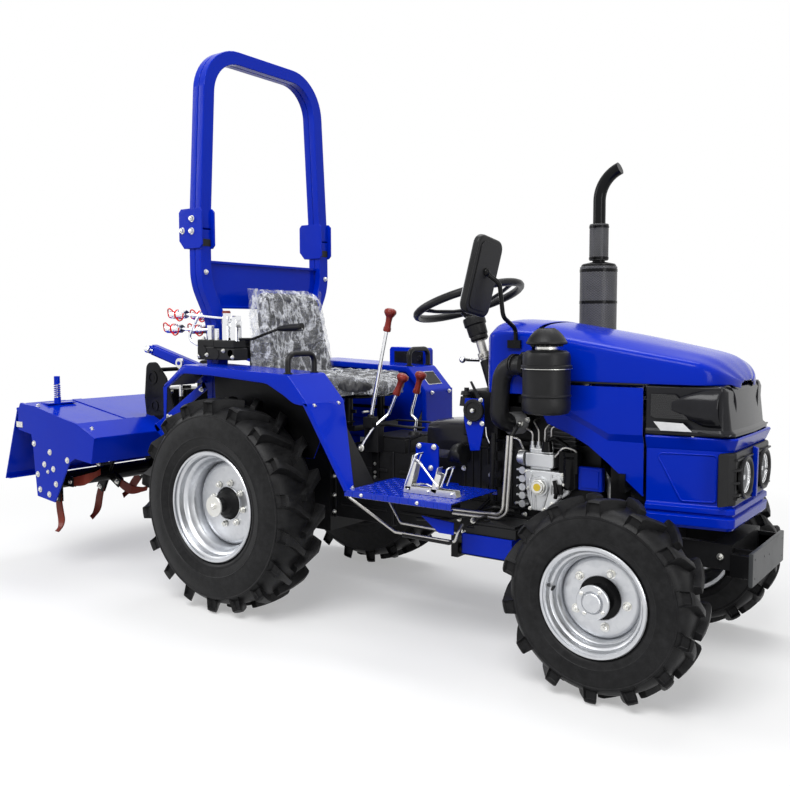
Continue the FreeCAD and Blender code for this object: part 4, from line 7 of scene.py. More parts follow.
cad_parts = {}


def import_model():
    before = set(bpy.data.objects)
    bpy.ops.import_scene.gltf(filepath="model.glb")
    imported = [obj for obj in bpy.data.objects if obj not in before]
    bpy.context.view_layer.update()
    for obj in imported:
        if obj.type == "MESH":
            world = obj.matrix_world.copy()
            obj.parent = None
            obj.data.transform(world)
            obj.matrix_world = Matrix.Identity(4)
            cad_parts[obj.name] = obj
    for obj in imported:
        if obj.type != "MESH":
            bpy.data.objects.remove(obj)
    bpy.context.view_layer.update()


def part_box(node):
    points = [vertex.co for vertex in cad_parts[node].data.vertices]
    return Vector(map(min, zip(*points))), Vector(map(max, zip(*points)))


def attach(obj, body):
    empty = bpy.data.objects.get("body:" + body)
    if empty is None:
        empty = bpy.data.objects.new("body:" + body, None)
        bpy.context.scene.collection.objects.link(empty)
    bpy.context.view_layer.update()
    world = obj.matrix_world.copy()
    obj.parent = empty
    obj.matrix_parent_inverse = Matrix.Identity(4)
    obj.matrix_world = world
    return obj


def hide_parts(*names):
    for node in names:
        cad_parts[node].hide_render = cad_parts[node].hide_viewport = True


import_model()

# A compact tractor with a rotary tiller on its hitch, dressed for looks.
# Shapes are worked out in millimetres from the ground under the rear axle:
# X forward, Y to the tractor's left, Z up.  Shape.finish turns them into
# metres at the place that the CAD frame gives the rear axle.

MM = 0.001
LOW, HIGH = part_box("rear_tyre_right")
AXLE_X = (LOW.x + HIGH.x) / 2
SIDES = (-1, 1)
SIDE_NAME = {-1: "right", 1: "left"}
AXIS = {"x": Vector((1, 0, 0)), "y": Vector((0, 1, 0)), "z": Vector((0, 0, 1))}

REAR_AXLE_Z = 430
EXHAUST_X, EXHAUST_Y = 1222, 335
FILLER_X, FILLER_Z = 1242, 585
LIFT_SHAFT_X, LIFT_SHAFT_Z = -262, 905
ROTOR_X, ROTOR_Z = -1075, 424


def box_of(node):
    """A CAD node's lowest and highest corners, in millimetres from the rear axle."""
    low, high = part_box(node)
    shift = Vector((AXLE_X, 0, 0))
    return (low - shift) / MM, (high - shift) / MM


def middle_of(node):
    low, high = box_of(node)
    return (low + high) / 2


def angles(count):
    """Equal steps once round a circle."""
    return [math.tau * step / count for step in range(count)]


def spread(side, near, far):
    """Two distances from the middle on one side, as a low and a high Y."""
    return sorted((near * side, far * side))


def rounded(points, bend, steps=6):
    """The same run of points with each inner corner turned into an arc."""
    points = [Vector(p) for p in points]
    smooth = [points[0]]
    for before, corner, after in zip(points, points[1:], points[2:]):
        back = (before - corner).normalized()
        on = (after - corner).normalized()
        half = back.angle(on) / 2
        if half > math.radians(89):
            smooth.append(corner)
            continue
        reach = min(bend / math.tan(half), (before - corner).length * 0.48, (after - corner).length * 0.48)
        radius = reach * math.tan(half)
        centre = corner + (back + on).normalized() * radius / math.sin(half)
        first = corner + back * reach - centre
        last = corner + on * reach - centre
        turn = first.angle(last)
        for step in range(steps + 1):
            share = step / steps
            arm = (first * math.sin((1 - share) * turn) + last * math.sin(share * turn)) / math.sin(turn)
            smooth.append(centre + arm)
    smooth.append(points[-1])
    return smooth


def smooth_line(points, radius, fill=True, sides=6):
    """A round bar along points, as a mesh made from a curve."""
    curve = bpy.data.curves.new("line", "CURVE")
    curve.dimensions = "3D"
    curve.bevel_depth = radius
    curve.bevel_resolution = sides
    curve.use_fill_caps = fill
    spline = curve.splines.new("POLY")
    spline.points.add(len(points) - 1)
    for knot, p in zip(spline.points, points):
        knot.co = (p[0], p[1], p[2], 1)
    carrier = bpy.data.objects.new("line", curve)
    mesh = bpy.data.meshes.new_from_object(carrier)
    bpy.data.objects.remove(carrier)
    bpy.data.curves.remove(curve)
    return mesh


class Shape:
    """A mesh in the making, in millimetres from the ground under the rear axle."""

    def __init__(self):
        self.mesh = bmesh.new()

    def rod(self, start, end, radius, tip=None, sides=32):
        """A round bar, or a cone when tip gives another radius at its end."""
        start = Vector(start)
        line = Vector(end) - start
        turn = line.to_track_quat("Z", "Y").to_matrix().to_4x4()
        spot = Matrix.Translation(start + line / 2) @ turn
        made = bmesh.ops.create_cone(
            self.mesh, cap_ends=True, segments=sides, radius1=radius,
            radius2=radius if tip is None else tip, depth=line.length, matrix=spot)
        return made["verts"]

    def block(self, low, high, turn=None, about=None):
        """A box between two corners, turned by a matrix about a point."""
        low, high = Vector(low), Vector(high)
        made = bmesh.ops.create_cube(self.mesh, size=1)
        bmesh.ops.scale(self.mesh, vec=high - low, verts=made["verts"])
        bmesh.ops.translate(self.mesh, vec=(low + high) / 2, verts=made["verts"])
        if turn is not None:
            self.turn(made["verts"], turn, about or (low + high) / 2)
        return made["verts"]

    def turn(self, verts, matrix, about):
        bmesh.ops.rotate(self.mesh, cent=Vector(about), matrix=matrix, verts=verts)

    def plate(self, points, along, low, high):
        """A flat outline drawn across one axis and made as thick as low to high."""
        corners = []
        for a, b in points:
            spot = {"x": (low, a, b), "y": (a, low, b), "z": (a, b, low)}[along]
            corners.append(self.mesh.verts.new(spot))
        face = self.mesh.faces.new(corners)
        made = bmesh.ops.extrude_face_region(self.mesh, geom=[face])
        moved = [v for v in made["geom"] if isinstance(v, bmesh.types.BMVert)]
        bmesh.ops.translate(self.mesh, vec=AXIS[along] * (high - low), verts=moved)
        verts = corners + moved
        faces = {f for v in verts for f in v.link_faces}
        bmesh.ops.recalc_face_normals(self.mesh, faces=list(faces))
        return verts

    def loft(self, sections, closed=True):
        """A skin over sections of equal count, with its ends filled when closed."""
        loops = []
        verts = []
        for section in sections:
            ring = [self.mesh.verts.new(Vector(p)) for p in section]
            edges = [self.mesh.edges.new((a, b)) for a, b in zip(ring, ring[1:] + ring[:1])]
            loops.append(edges)
            verts.extend(ring)
        for first, second in zip(loops, loops[1:]):
            bmesh.ops.bridge_loops(self.mesh, edges=first + second)
        if closed:
            for loop in (loops[0], loops[-1]):
                bmesh.ops.edgeloop_fill(self.mesh, edges=loop)
        faces = {f for v in verts for f in v.link_faces}
        bmesh.ops.recalc_face_normals(self.mesh, faces=list(faces))
        return verts

    def strip(self, lines):
        """An open skin between lines of equal count."""
        verts = []
        loops = []
        for line in lines:
            row = [self.mesh.verts.new(Vector(p)) for p in line]
            loops.append([self.mesh.edges.new(pair) for pair in zip(row, row[1:])])
            verts.extend(row)
        for first, second in zip(loops, loops[1:]):
            bmesh.ops.bridge_loops(self.mesh, edges=first + second)
        return verts

    def lathe(self, profile, centre, axis="y", steps=96, closed=True):
        """A profile of (radius, along) turned once round an axis through centre."""
        centre = Vector(centre)
        out = AXIS["z"] if axis != "z" else AXIS["x"]
        row = [self.mesh.verts.new(centre + out * r + AXIS[axis] * along) for r, along in profile]
        pairs = list(zip(row, row[1:]))
        if closed:
            pairs.append((row[-1], row[0]))
        edges = [self.mesh.edges.new(pair) for pair in pairs]
        made = bmesh.ops.spin(
            self.mesh, geom=row + edges, cent=centre, axis=AXIS[axis],
            angle=math.tau, steps=steps, use_merge=True)
        return made

    def tidy(self, gap=0.01):
        """Merges doubles and turns every face outward."""
        bmesh.ops.remove_doubles(self.mesh, verts=self.mesh.verts, dist=gap)
        bmesh.ops.recalc_face_normals(self.mesh, faces=self.mesh.faces)
        return self

    def tube(self, points, radius, bend=0.0, sides=4):
        """A round bar along a run of points with rounded corners."""
        run = rounded(points, bend) if bend else [Vector(p) for p in points]
        self.mesh.from_mesh(smooth_line(run, radius, sides=sides))

    def ring(self, centre, axis, radius, thickness, steps=48):
        """A round ring: a small circle turned about an axis."""
        circle = [(radius + thickness * math.cos(a), thickness * math.sin(a)) for a in angles(10)]
        self.lathe(circle, centre, axis, steps)

    def ball(self, centre, radius, squash=(1, 1, 1)):
        made = bmesh.ops.create_uvsphere(
            self.mesh, u_segments=24, v_segments=14, radius=radius,
            matrix=Matrix.Translation(Vector(centre)) @ Matrix.Diagonal((*squash, 1)))
        return made["verts"]

    def bolt(self, at, way, across=17, head=8, washer=True):
        """A hexagon head on a washer with its thread's end, standing along way."""
        at = Vector(at)
        way = Vector(way).normalized()
        if washer:
            self.rod(at, at + way * 2, across * 0.72, sides=20)
        base = at + way * (2 if washer else 0)
        self.rod(base, base + way * head * 0.8, across * 0.575, sides=6)
        self.rod(base + way * head * 0.8, base + way * head, across * 0.575, across * 0.46, sides=6)
        self.rod(base + way * head * 0.5, base + way * (head + 4), across * 0.28, across * 0.24, sides=10)

    def around(self, verts, centre, axis, count):
        """Copies of one item set round an axis."""
        geom = set(verts)
        for v in verts:
            geom.update(v.link_edges)
            geom.update(v.link_faces)
        base = list(geom)
        for copy in range(1, count):
            made = bmesh.ops.duplicate(self.mesh, geom=base)
            turned = [v for v in made["geom"] if isinstance(v, bmesh.types.BMVert)]
            self.turn(turned, Matrix.Rotation(math.tau * copy / count, 3, AXIS[axis]), centre)

    def mirrored(self):
        """The same shape again on the other side of the tractor."""
        geom = list(self.mesh.verts) + list(self.mesh.edges) + list(self.mesh.faces)
        bmesh.ops.mirror(self.mesh, geom=geom, merge_dist=-1, axis="Y")
        return self

    def bevelled(self, width, segments=2, angle=35):
        """Rounds every edge that turns by more than the angle."""
        edges = []
        for edge in self.mesh.edges:
            if edge.is_manifold and edge.calc_face_angle(0) > math.radians(angle):
                edges.append(edge)
        bmesh.ops.bevel(
            self.mesh, geom=edges, offset=width, offset_type="OFFSET", segments=segments,
            profile=0.5, affect="EDGES", clamp_overlap=True, material=-1)
        return self

    def finish(self, name, body, material, slot, replaces=(), smooth=40, subdivide=0, wall=0,
               weighted=True):
        """The finished piece as an object that rides on its body."""
        bmesh.ops.transform(
            self.mesh, verts=self.mesh.verts,
            matrix=Matrix.Translation((AXLE_X, 0, 0)) @ Matrix.Scale(MM, 4))
        mesh = bpy.data.meshes.new(name)
        self.mesh.to_mesh(mesh)
        self.mesh.free()
        for polygon in mesh.polygons:
            polygon.use_smooth = True
        mesh.set_sharp_from_angle(angle=math.radians(smooth))
        mesh.materials.append(material)
        piece = bpy.data.objects.new(name, mesh)
        bpy.context.scene.collection.objects.link(piece)
        if wall:
            sheet = piece.modifiers.new("wall", "SOLIDIFY")
            sheet.thickness = wall * MM
            sheet.offset = -1
        if subdivide:
            finer = piece.modifiers.new("finer", "SUBSURF")
            finer.levels = subdivide
            finer.render_levels = subdivide
        elif weighted:
            lit = piece.modifiers.new("lit", "WEIGHTED_NORMAL")
            lit.keep_sharp = True
        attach(piece, body)
        if replaces:
            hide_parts(*replaces)
        return piece


# ---------------------------------------------------------------- finishes

class Wire:
    """A number on its way through a material, written in ordinary sums."""

    def __init__(self, graph, socket):
        self.graph = graph
        self.socket = socket

    def __add__(self, other):
        return self.graph.maths("ADD", self, other)

    def __sub__(self, other):
        return self.graph.maths("SUBTRACT", self, other)

    def __rsub__(self, other):
        return self.graph.maths("SUBTRACT", other, self)

    def __mul__(self, other):
        return self.graph.maths("MULTIPLY", self, other)

    def __truediv__(self, other):
        return self.graph.maths("DIVIDE", self, other)

    __radd__ = __add__
    __rmul__ = __mul__


class Graph:
    """The nodes of one material."""

    def __init__(self, name):
        self.material = bpy.data.materials.new(name)
        self.material.use_nodes = True
        self.tree = self.material.node_tree
        self.shader = self.tree.nodes["Principled BSDF"]
        coordinates = self.node("ShaderNodeTexCoord")
        self.at = Wire(self, coordinates.socket.node.outputs["Object"])

    def node(self, kind, settings=None, values=None, output=0):
        """Adds a node: its settings first, then the values or wires of its sockets."""
        made = self.tree.nodes.new(kind)
        for key, value in (settings or {}).items():
            if key == "stops":
                ramp = made.color_ramp.elements
                while len(ramp) < len(value):
                    ramp.new(0.5)
                for stop, (spot, colour) in zip(ramp, value):
                    stop.position = spot
                    stop.color = (*colour, 1) if hasattr(colour, "__len__") else (colour, colour, colour, 1)
            else:
                setattr(made, key, value)
        for key, value in (values or {}).items():
            self.link(value, made.inputs[key])
        return Wire(self, made.outputs[output])

    def link(self, value, socket):
        if isinstance(value, Wire):
            self.tree.links.new(value.socket, socket)
        elif hasattr(value, "__len__") and len(value) == 3 and len(socket.default_value) == 4:
            socket.default_value = (*value, 1)
        else:
            socket.default_value = value

    def maths(self, operation, a, b=0.0):
        return self.node("ShaderNodeMath", {"operation": operation}, {0: a, 1: b})

    def mix(self, factor, a, b):
        """A colour between a and b."""
        return self.node("ShaderNodeMix", {"data_type": "RGBA"}, {0: factor, 6: a, 7: b}, output=2)

    def noise(self, scale, detail=4.0, roughness=0.5, at=None):
        return self.node("ShaderNodeTexNoise", None, {
            "Vector": at or self.at, "Scale": scale, "Detail": detail, "Roughness": roughness})

    def cells(self, scale, feature="F1", at=None):
        return self.node("ShaderNodeTexVoronoi", {"feature": feature}, {
            "Vector": at or self.at, "Scale": scale})

    def ramp(self, value, *stops):
        return self.node("ShaderNodeValToRGB", {"stops": stops}, {0: value})

    def stretch(self, scale, turn=(0, 0, 0)):
        """Object coordinates scaled and turned."""
        return self.node("ShaderNodeMapping", None, {
            "Vector": self.at, "Scale": scale, "Rotation": turn})

    def part(self, axis):
        """One of the three object coordinates, in metres."""
        return self.node("ShaderNodeSeparateXYZ", None, {0: self.at}, output="xyz".index(axis))

    def bump(self, height, depth, strength=1.0):
        made = self.node("ShaderNodeBump", None, {
            "Height": height, "Distance": depth, "Strength": strength})
        self.link(made, self.shader.inputs["Normal"])
        return made

    def set(self, **values):
        """Sets the shader's sockets; an underscore in a name stands for a space."""
        for key, value in values.items():
            self.link(value, self.shader.inputs[key.replace("_", " ")])
        return self

    def done(self):
        return self.material


def paint(name, colour, light, gloss, dust=0.06):
    """Sprayed enamel: a soft ripple, a thin clear top and a breath of dust."""
    g = Graph(name)
    cloud = g.noise(3.1, 5, 0.6)
    ripple = g.noise(130, 2, 0.4)
    speck = g.ramp(g.noise(520, 2, 0.7), (0.66, 0.0), (0.74, 1.0))
    film = g.ramp(g.noise(9, 6, 0.65), (0.45, 0.0), (0.85, 1.0))
    colours = g.mix(cloud * 0.35, colour, light)
    dusted = g.mix(film * dust, colours, light)
    g.set(Base_Color=g.mix(speck * 0.12, dusted, light), Metallic=0.0, IOR=1.5)
    g.set(Roughness=film * 0.1 + gloss, Specular_IOR_Level=0.09, Coat_Weight=0.05, Coat_Roughness=0.05)
    g.bump(ripple, 0.0004, 0.35)
    return g.done()


def cast(name, colour, worn, rough, grain=0.0008, metal=0.0, coat=0.0):
    """A sand casting, bare or painted: pitted skin, brighter where it rubs."""
    g = Graph(name)
    sand = g.noise(420, 4, 0.7)
    pits = g.cells(190)
    blotch = g.noise(14, 6, 0.6)
    height = sand * 0.6 + pits * 0.4
    rub = g.ramp(g.noise(46, 5, 0.6), (0.52, 0.0), (0.72, 1.0))
    g.set(Base_Color=g.mix(rub * 0.35, g.mix(blotch, colour, worn), worn), Metallic=metal)
    g.set(Roughness=blotch * 0.2 + rough, Specular_IOR_Level=0.14, Coat_Weight=coat, Coat_Roughness=0.2)
    g.bump(height, grain, 0.55)
    return g.done()


def moulded(name, colour, rough, grain=0.00025, scale=900):
    """Moulded plastic with a fine leather-like skin."""
    g = Graph(name)
    skin = g.cells(scale, "SMOOTH_F1")
    haze = g.noise(22, 4, 0.6)
    scuff = g.ramp(g.noise(70, 6, 0.75), (0.6, 0.0), (0.78, 1.0))
    pale = tuple(min(1.0, c * 1.8 + 0.006) for c in colour)
    g.set(Base_Color=g.mix(scuff * 0.35, g.mix(haze, colour, pale), pale))
    g.set(Roughness=haze * 0.16 + scuff * 0.1 + rough, Specular_IOR_Level=0.2)
    g.bump(skin + haze * 0.2, grain, 0.6)
    return g.done()


def rubber(name):
    """Tyre rubber: matt, finely pebbled, greyer on high spots and in old bloom."""
    g = Graph(name)
    bloom = g.noise(7, 6, 0.65)
    pebble = g.noise(310, 5, 0.7)
    streak = g.noise(38, 7, 0.7, g.stretch((1, 0.35, 1)))
    grey = g.ramp(streak * 0.6 + bloom * 0.4, (0.42, 0.0), (0.72, 1.0))
    g.set(Base_Color=g.mix(grey, (0.006, 0.006, 0.0065), (0.022, 0.022, 0.023)))
    g.set(Roughness=grey * 0.16 + 0.38, Specular_IOR_Level=0.16)
    g.bump(pebble + streak * 0.8, 0.0009, 0.5)
    return g.done()


def plated(name, colour, tint, rough, spangle=60.0, metal=1.0, flow=(1, 1, 1)):
    """Zinc or silver finish on steel: faint crystals and rubbed streaks."""
    g = Graph(name)
    crystal = g.node("ShaderNodeTexVoronoi", {"feature": "F1"}, {
        "Vector": g.at, "Scale": spangle}, output=1)
    grey = g.node("ShaderNodeRGBToBW", None, {0: crystal})
    brush = g.noise(160, 3, 0.6, g.stretch(flow))
    stain = g.ramp(g.noise(11, 6, 0.7), (0.5, 0.0), (0.8, 1.0))
    g.set(Base_Color=g.mix(stain * 0.5, g.mix(grey * 0.3, colour, tint), tint), Metallic=metal)
    g.set(Roughness=grey * 0.08 + brush * 0.12 + rough)
    g.bump(brush + grey * 0.3, 0.00012, 0.5)
    return g.done()


def vinyl(name):
    """Black seat cover with a pebbled grain and fine creases."""
    g = Graph(name)
    pebble = g.cells(560, "SMOOTH_F1")
    crease = g.ramp(g.noise(75, 8, 0.75), (0.47, 0.0), (0.53, 1.0))
    wear = g.noise(12, 5, 0.6)
    g.set(Base_Color=g.mix(wear, (0.012, 0.012, 0.014), (0.035, 0.036, 0.04)))
    g.set(Roughness=wear * 0.2 + 0.34)
    g.bump(pebble + crease * 0.35, 0.0006, 0.5)
    return g.done()


def clear_film(name):
    """A thin clear wrap, milky where it hangs loose, with painted whitish highlights along its creases."""
    g = Graph(name)
    fold = g.noise(11, 4, 0.6, g.stretch((1, 1, 0.45), (0.25, 0.3, 0.15)))
    line = g.ramp(g.maths("ABSOLUTE", fold - 0.5), (0.0, 1.0), (0.012, 0.55), (0.05, 0.0))
    cross = g.noise(19, 4, 0.6, g.stretch((0.5, 0.45, 1), (0.6, 0.2, 0.3)))
    fine = g.ramp(g.maths("ABSOLUTE", cross - 0.5), (0.0, 1.0), (0.008, 0.5), (0.03, 0.0))
    small = g.ramp(g.maths("ABSOLUTE", g.noise(42, 3, 0.6) - 0.5), (0.0, 1.0), (0.03, 0.0))
    patch = g.ramp(g.noise(5.5, 4, 0.6), (0.36, 0.15), (0.68, 1.0))
    # The crease lines are painted whitish and more opaque: a painted highlight where creases would catch the
    # light.
    creases = line * 0.62 + fine * 0.5 * patch + small * patch * 0.24
    g.set(Base_Color=(0.84, 0.86, 0.90), Roughness=patch * 0.12 + 0.14, Specular_IOR_Level=0.4)
    g.set(Alpha=creases + patch * 0.09 + 0.03, IOR=1.45)
    g.bump(fold + cross * 0.6, 0.006, 0.9)
    return g.done()


def glass(name, tint=(0.9, 0.93, 0.97), alpha=0.22):
    g = Graph(name)
    smear = g.noise(40, 4, 0.6)
    g.set(Base_Color=tint, Roughness=smear * 0.05 + 0.02, Alpha=smear * 0.1 + alpha, IOR=1.5)
    g.set(Coat_Weight=1.0, Coat_Roughness=0.02)
    return g.done()


def perforated(name):
    """A black guard punched with small slanted slots in a herringbone."""
    g = Graph(name)
    x, y, z = g.part("x"), g.part("y"), g.part("z")
    turn = g.maths("ARCTAN2", y - EXHAUST_Y * MM, x - (AXLE_X + EXHAUST_X * MM))
    column = turn * 5.1
    lean = g.maths("PINGPONG", column, 0.5) * 2.2
    row = g.maths("FRACT", z * 105 + lean)
    slot = g.ramp(g.maths("ABSOLUTE", row - 0.5), (0.12, 1.0), (0.22, 0.0))
    edge = g.ramp(g.maths("FRACT", column * 4), (0.1, 0.0), (0.2, 1.0), (0.8, 1.0), (0.9, 0.0))
    shaded_hole = slot * edge
    soot = g.noise(30, 4, 0.6)
    sooty = g.mix(soot, (0.05, 0.05, 0.052), (0.13, 0.13, 0.135))
    # The slots are painted near-black: painted shade seen through the punched holes.
    g.set(Base_Color=g.mix(shaded_hole, sooty, (0.002, 0.002, 0.002)))
    g.set(Roughness=shaded_hole * 0.4 + soot * 0.15 + 0.3)
    g.bump(1 - shaded_hole, 0.0022, 1.0)
    return g.done()


def honeycomb(name, size=0.0062):
    """Black plastic pressed into rows of six-sided cells, with painted shade in each cell."""
    g = Graph(name)
    x, z = g.part("x") / size, g.part("z") / (size * 1.732)
    near = []
    for shift in (0.0, 0.5):
        u = g.maths("FRACT", x + shift) - 0.5
        v = (g.maths("FRACT", z + shift) - 0.5) * 1.732
        near.append(g.maths("SQRT", u * u + v * v))
    reach = g.maths("MINIMUM", near[0], near[1])
    shaded_well = g.ramp(reach, (0.36, 1.0), (0.47, 0.0))
    # The cell hollows are painted near-black as painted shade; the walls keep the plastic's dark grey.
    g.set(Base_Color=g.mix(shaded_well, (0.06, 0.06, 0.064), (0.002, 0.002, 0.002)), Roughness=shaded_well * 0.3 + 0.28)
    g.bump(1 - shaded_well, 0.003, 1.0)
    return g.done()


def tread_plate(name):
    """Enamelled plate with short raised bars that cross in turn, their tops painted lighter as a highlight.
    """
    g = Graph(name)
    x, y = g.part("x") / 0.026, g.part("y") / 0.026
    row = g.maths("FLOOR", x) + g.maths("FLOOR", y)
    flip = g.maths("MODULO", g.maths("ABSOLUTE", row), 2.0)
    u = g.maths("FRACT", x) - 0.5
    v = g.maths("FRACT", y) - 0.5
    along = g.mix(flip, u + v, u - v)
    across = g.mix(flip, u - v, u + v)
    bar = g.ramp(g.maths("ABSOLUTE", across), (0.12, 1.0), (0.22, 0.0))
    ends = g.ramp(g.maths("ABSOLUTE", along), (0.5, 1.0), (0.62, 0.0))
    raised = bar * ends
    cloud = g.noise(5, 5, 0.6)
    enamel = g.mix(cloud, (0.0, 0.016, 0.38), (0.0, 0.026, 0.48))
    # The raised bars are mixed towards a lighter blue: a painted highlight on their tops.
    g.set(Base_Color=g.mix(raised * 0.35, enamel, (0.0, 0.05, 0.66)))
    g.set(Roughness=cloud * 0.1 + 0.14, Coat_Weight=0.12, Coat_Roughness=0.06, Specular_IOR_Level=0.3)
    g.bump(raised, 0.0016, 1.0)
    return g.done()


BLUE = paint("blue enamel", (0.0, 0.017, 0.44), (0.0, 0.045, 0.66), 0.17)
BLACK_CAST = cast("black casting", (0.004, 0.004, 0.0045), (0.013, 0.013, 0.014), 0.34, coat=0.06)
BLACK_PAINT = paint("black enamel", (0.005, 0.005, 0.0055), (0.014, 0.014, 0.015), 0.2, dust=0.03)
PLASTIC = moulded("black plastic", (0.006, 0.006, 0.0065), 0.3)
GLOSS = moulded("gloss black plastic", (0.006, 0.006, 0.008), 0.08, grain=0.00005)
RUBBER = rubber("tyre rubber")
RIM = plated("silver rim", (0.60, 0.61, 0.63), (0.42, 0.44, 0.47), 0.26)
ZINC = plated("zinc steel", (0.74, 0.74, 0.72), (0.60, 0.58, 0.50), 0.22, spangle=140)
CHROME = plated("chrome", (0.86, 0.87, 0.89), (0.75, 0.76, 0.78), 0.05, spangle=20)
BARE = plated("bare steel", (0.56, 0.55, 0.53), (0.38, 0.36, 0.32), 0.3, spangle=90, flow=(1, 6, 1))
ALLOY = cast("alloy casting", (0.55, 0.56, 0.57), (0.72, 0.73, 0.74), 0.32, metal=0.85)
IRON = cast("iron casting", (0.055, 0.055, 0.058), (0.13, 0.13, 0.135), 0.4, metal=0.4)
TINE = paint("tine enamel", (0.17, 0.026, 0.016), (0.26, 0.05, 0.03), 0.34, dust=0.12)
KNOB = moulded("lever knob", (0.17, 0.018, 0.012), 0.14, grain=0.0001)
RED = moulded("red rubber", (0.55, 0.012, 0.01), 0.34)
YELLOW = moulded("yellow mark", (0.62, 0.42, 0.04), 0.3)
WHITE = moulded("white reflector", (0.62, 0.63, 0.64), 0.18, grain=0.0006, scale=420)
VINYL = vinyl("seat vinyl")
FILM = clear_film("clear film")
LENS = glass("lamp lens")
CUFF = moulded("grey cuff", (0.14, 0.14, 0.14), 0.5)
REFLECTOR = plated("lamp reflector", (0.93, 0.94, 0.95), (0.8, 0.81, 0.83), 0.12, spangle=260)
MIRROR = plated("mirror glass", (0.9, 0.91, 0.92), (0.86, 0.87, 0.9), 0.01, spangle=3)
GUARD = perforated("punched guard")
HONEYCOMB = honeycomb("honeycomb plastic")
TREAD = tread_plate("tread plate")
BUMPER = paint("grey bumper enamel", (0.045, 0.048, 0.05), (0.075, 0.078, 0.08), 0.32)


# ---------------------------------------------------------------- wheels

def on_tread(y, turn, radius, along=0.0):
    """A point on a wheel: turn runs forward from the top, along is a distance round the tread."""
    angle = turn + along / radius
    return Vector((radius * math.sin(angle), y, radius * math.cos(angle)))


def lug_bars(shape, stations, count, pocket):
    """Tread bars on both sides; a station is (y, turn, foot radius, top radius, width, flank)."""
    sections = []
    for y, turn, foot, top, width, flank in stations:
        half = width / 2
        sections.append([
            on_tread(y, turn, foot, -half - flank), on_tread(y, turn, top, -half),
            on_tread(y, turn, top + 0.6, 0), on_tread(y, turn, top, half),
            on_tread(y, turn, foot, half + flank), on_tread(y, turn, foot - 4, 0)])
    verts = shape.loft(sections)
    outer_end = set(verts[-6:])
    cap = [f for f in shape.mesh.faces if set(f.verts) <= outer_end]
    bmesh.ops.inset_individual(shape.mesh, faces=cap, thickness=pocket * 0.55, depth=-pocket)
    shape.bevelled(2.2, 2, 28)
    bar = list(shape.mesh.verts)
    shape.around(bar, (0, 0, 0), "y", count)
    near = list(shape.mesh.verts) + list(shape.mesh.edges) + list(shape.mesh.faces)
    made = bmesh.ops.mirror(shape.mesh, geom=near, merge_dist=-1, axis="Y")
    far = [v for v in made["geom"] if isinstance(v, bmesh.types.BMVert)]
    shape.turn(far, Matrix.Rotation(math.pi / count, 3, "Y"), (0, 0, 0))


def mirror_image(profile):
    """A half profile from the middle outward, completed on its other side."""
    return [(r, -y) for r, y in reversed(profile)] + profile[1:]


def rear_tyre(side):
    tyre = Shape()
    lug_bars(tyre, [
        (8, 0.185, 386, 428, 25, 5), (-26, 0.130, 386, 429.5, 27, 6), (-56, 0.072, 380, 429, 29, 7),
        (-80, 0.030, 370, 427, 34, 8), (-97, 0.006, 358, 424, 42, 6), (-107, 0.0, 352, 416, 47, 4),
    ], 18, 15)
    half = [(401, 0), (400, 34), (395, 62), (386, 84), (374, 99), (366, 105), (365, 108.5), (361, 109.5),
            (357, 108), (340, 112), (318, 115.5), (300, 116.4), (284, 115.6), (281, 117), (277, 117),
            (275, 114.8), (258, 110.5), (246, 106), (241, 107.5), (235, 106), (229, 100), (225, 94)]
    tyre.lathe(mirror_image(half) + [(203, 88), (203, -88)], (0, 0, 0), "y", 120)
    tyre.tidy()
    set_wheel(tyre, side, "rear")
    name = SIDE_NAME[side]
    tyre.finish(f"rear_tyre_{name}.rubber", f"rear_wheel_{name}", RUBBER, "tyre_rubber",
                [f"rear_tyre_{name}"], smooth=32)


def front_tyre(side):
    tyre = Shape()
    lug_bars(tyre, [
        (6, 0.205, 280, 313, 21, 4), (-18, 0.150, 280, 314.4, 23, 5), (-39, 0.088, 276, 314, 25, 5),
        (-56, 0.036, 268, 312.5, 29, 6), (-68, 0.008, 260, 310, 36, 5), (-75, 0.0, 255, 303, 41, 3),
    ], 14, 12)
    half = [(291, 0), (290, 24), (286, 44), (279, 59), (269, 69), (262, 73), (261, 76), (257, 76.6),
            (254, 75), (243, 78.2), (228, 80.8), (214, 81.4), (206, 80.8), (203, 81.8), (200, 81.8),
            (198, 80), (188, 77), (180, 74), (175, 70), (172.5, 66)]
    tyre.lathe(mirror_image(half) + [(152, 62), (152, -62)], (0, 0, 0), "y", 112)
    tyre.tidy()
    set_wheel(tyre, side, "front")
    name = SIDE_NAME[side]
    tyre.finish(f"front_tyre_{name}.rubber", f"front_wheel_{name}", RUBBER, "tyre_rubber",
                [f"front_tyre_{name}"], smooth=32)


def set_wheel(shape, side, end):
    """Puts a piece made about a wheel's middle, its outer face to the right, on its axle."""
    if side > 0:
        bmesh.ops.scale(shape.mesh, vec=(1, -1, 1), verts=shape.mesh.verts)
        bmesh.ops.recalc_face_normals(shape.mesh, faces=shape.mesh.faces)
    middle = middle_of(f"{end}_tyre_{SIDE_NAME[side]}")
    bmesh.ops.translate(shape.mesh, vec=middle, verts=shape.mesh.verts)


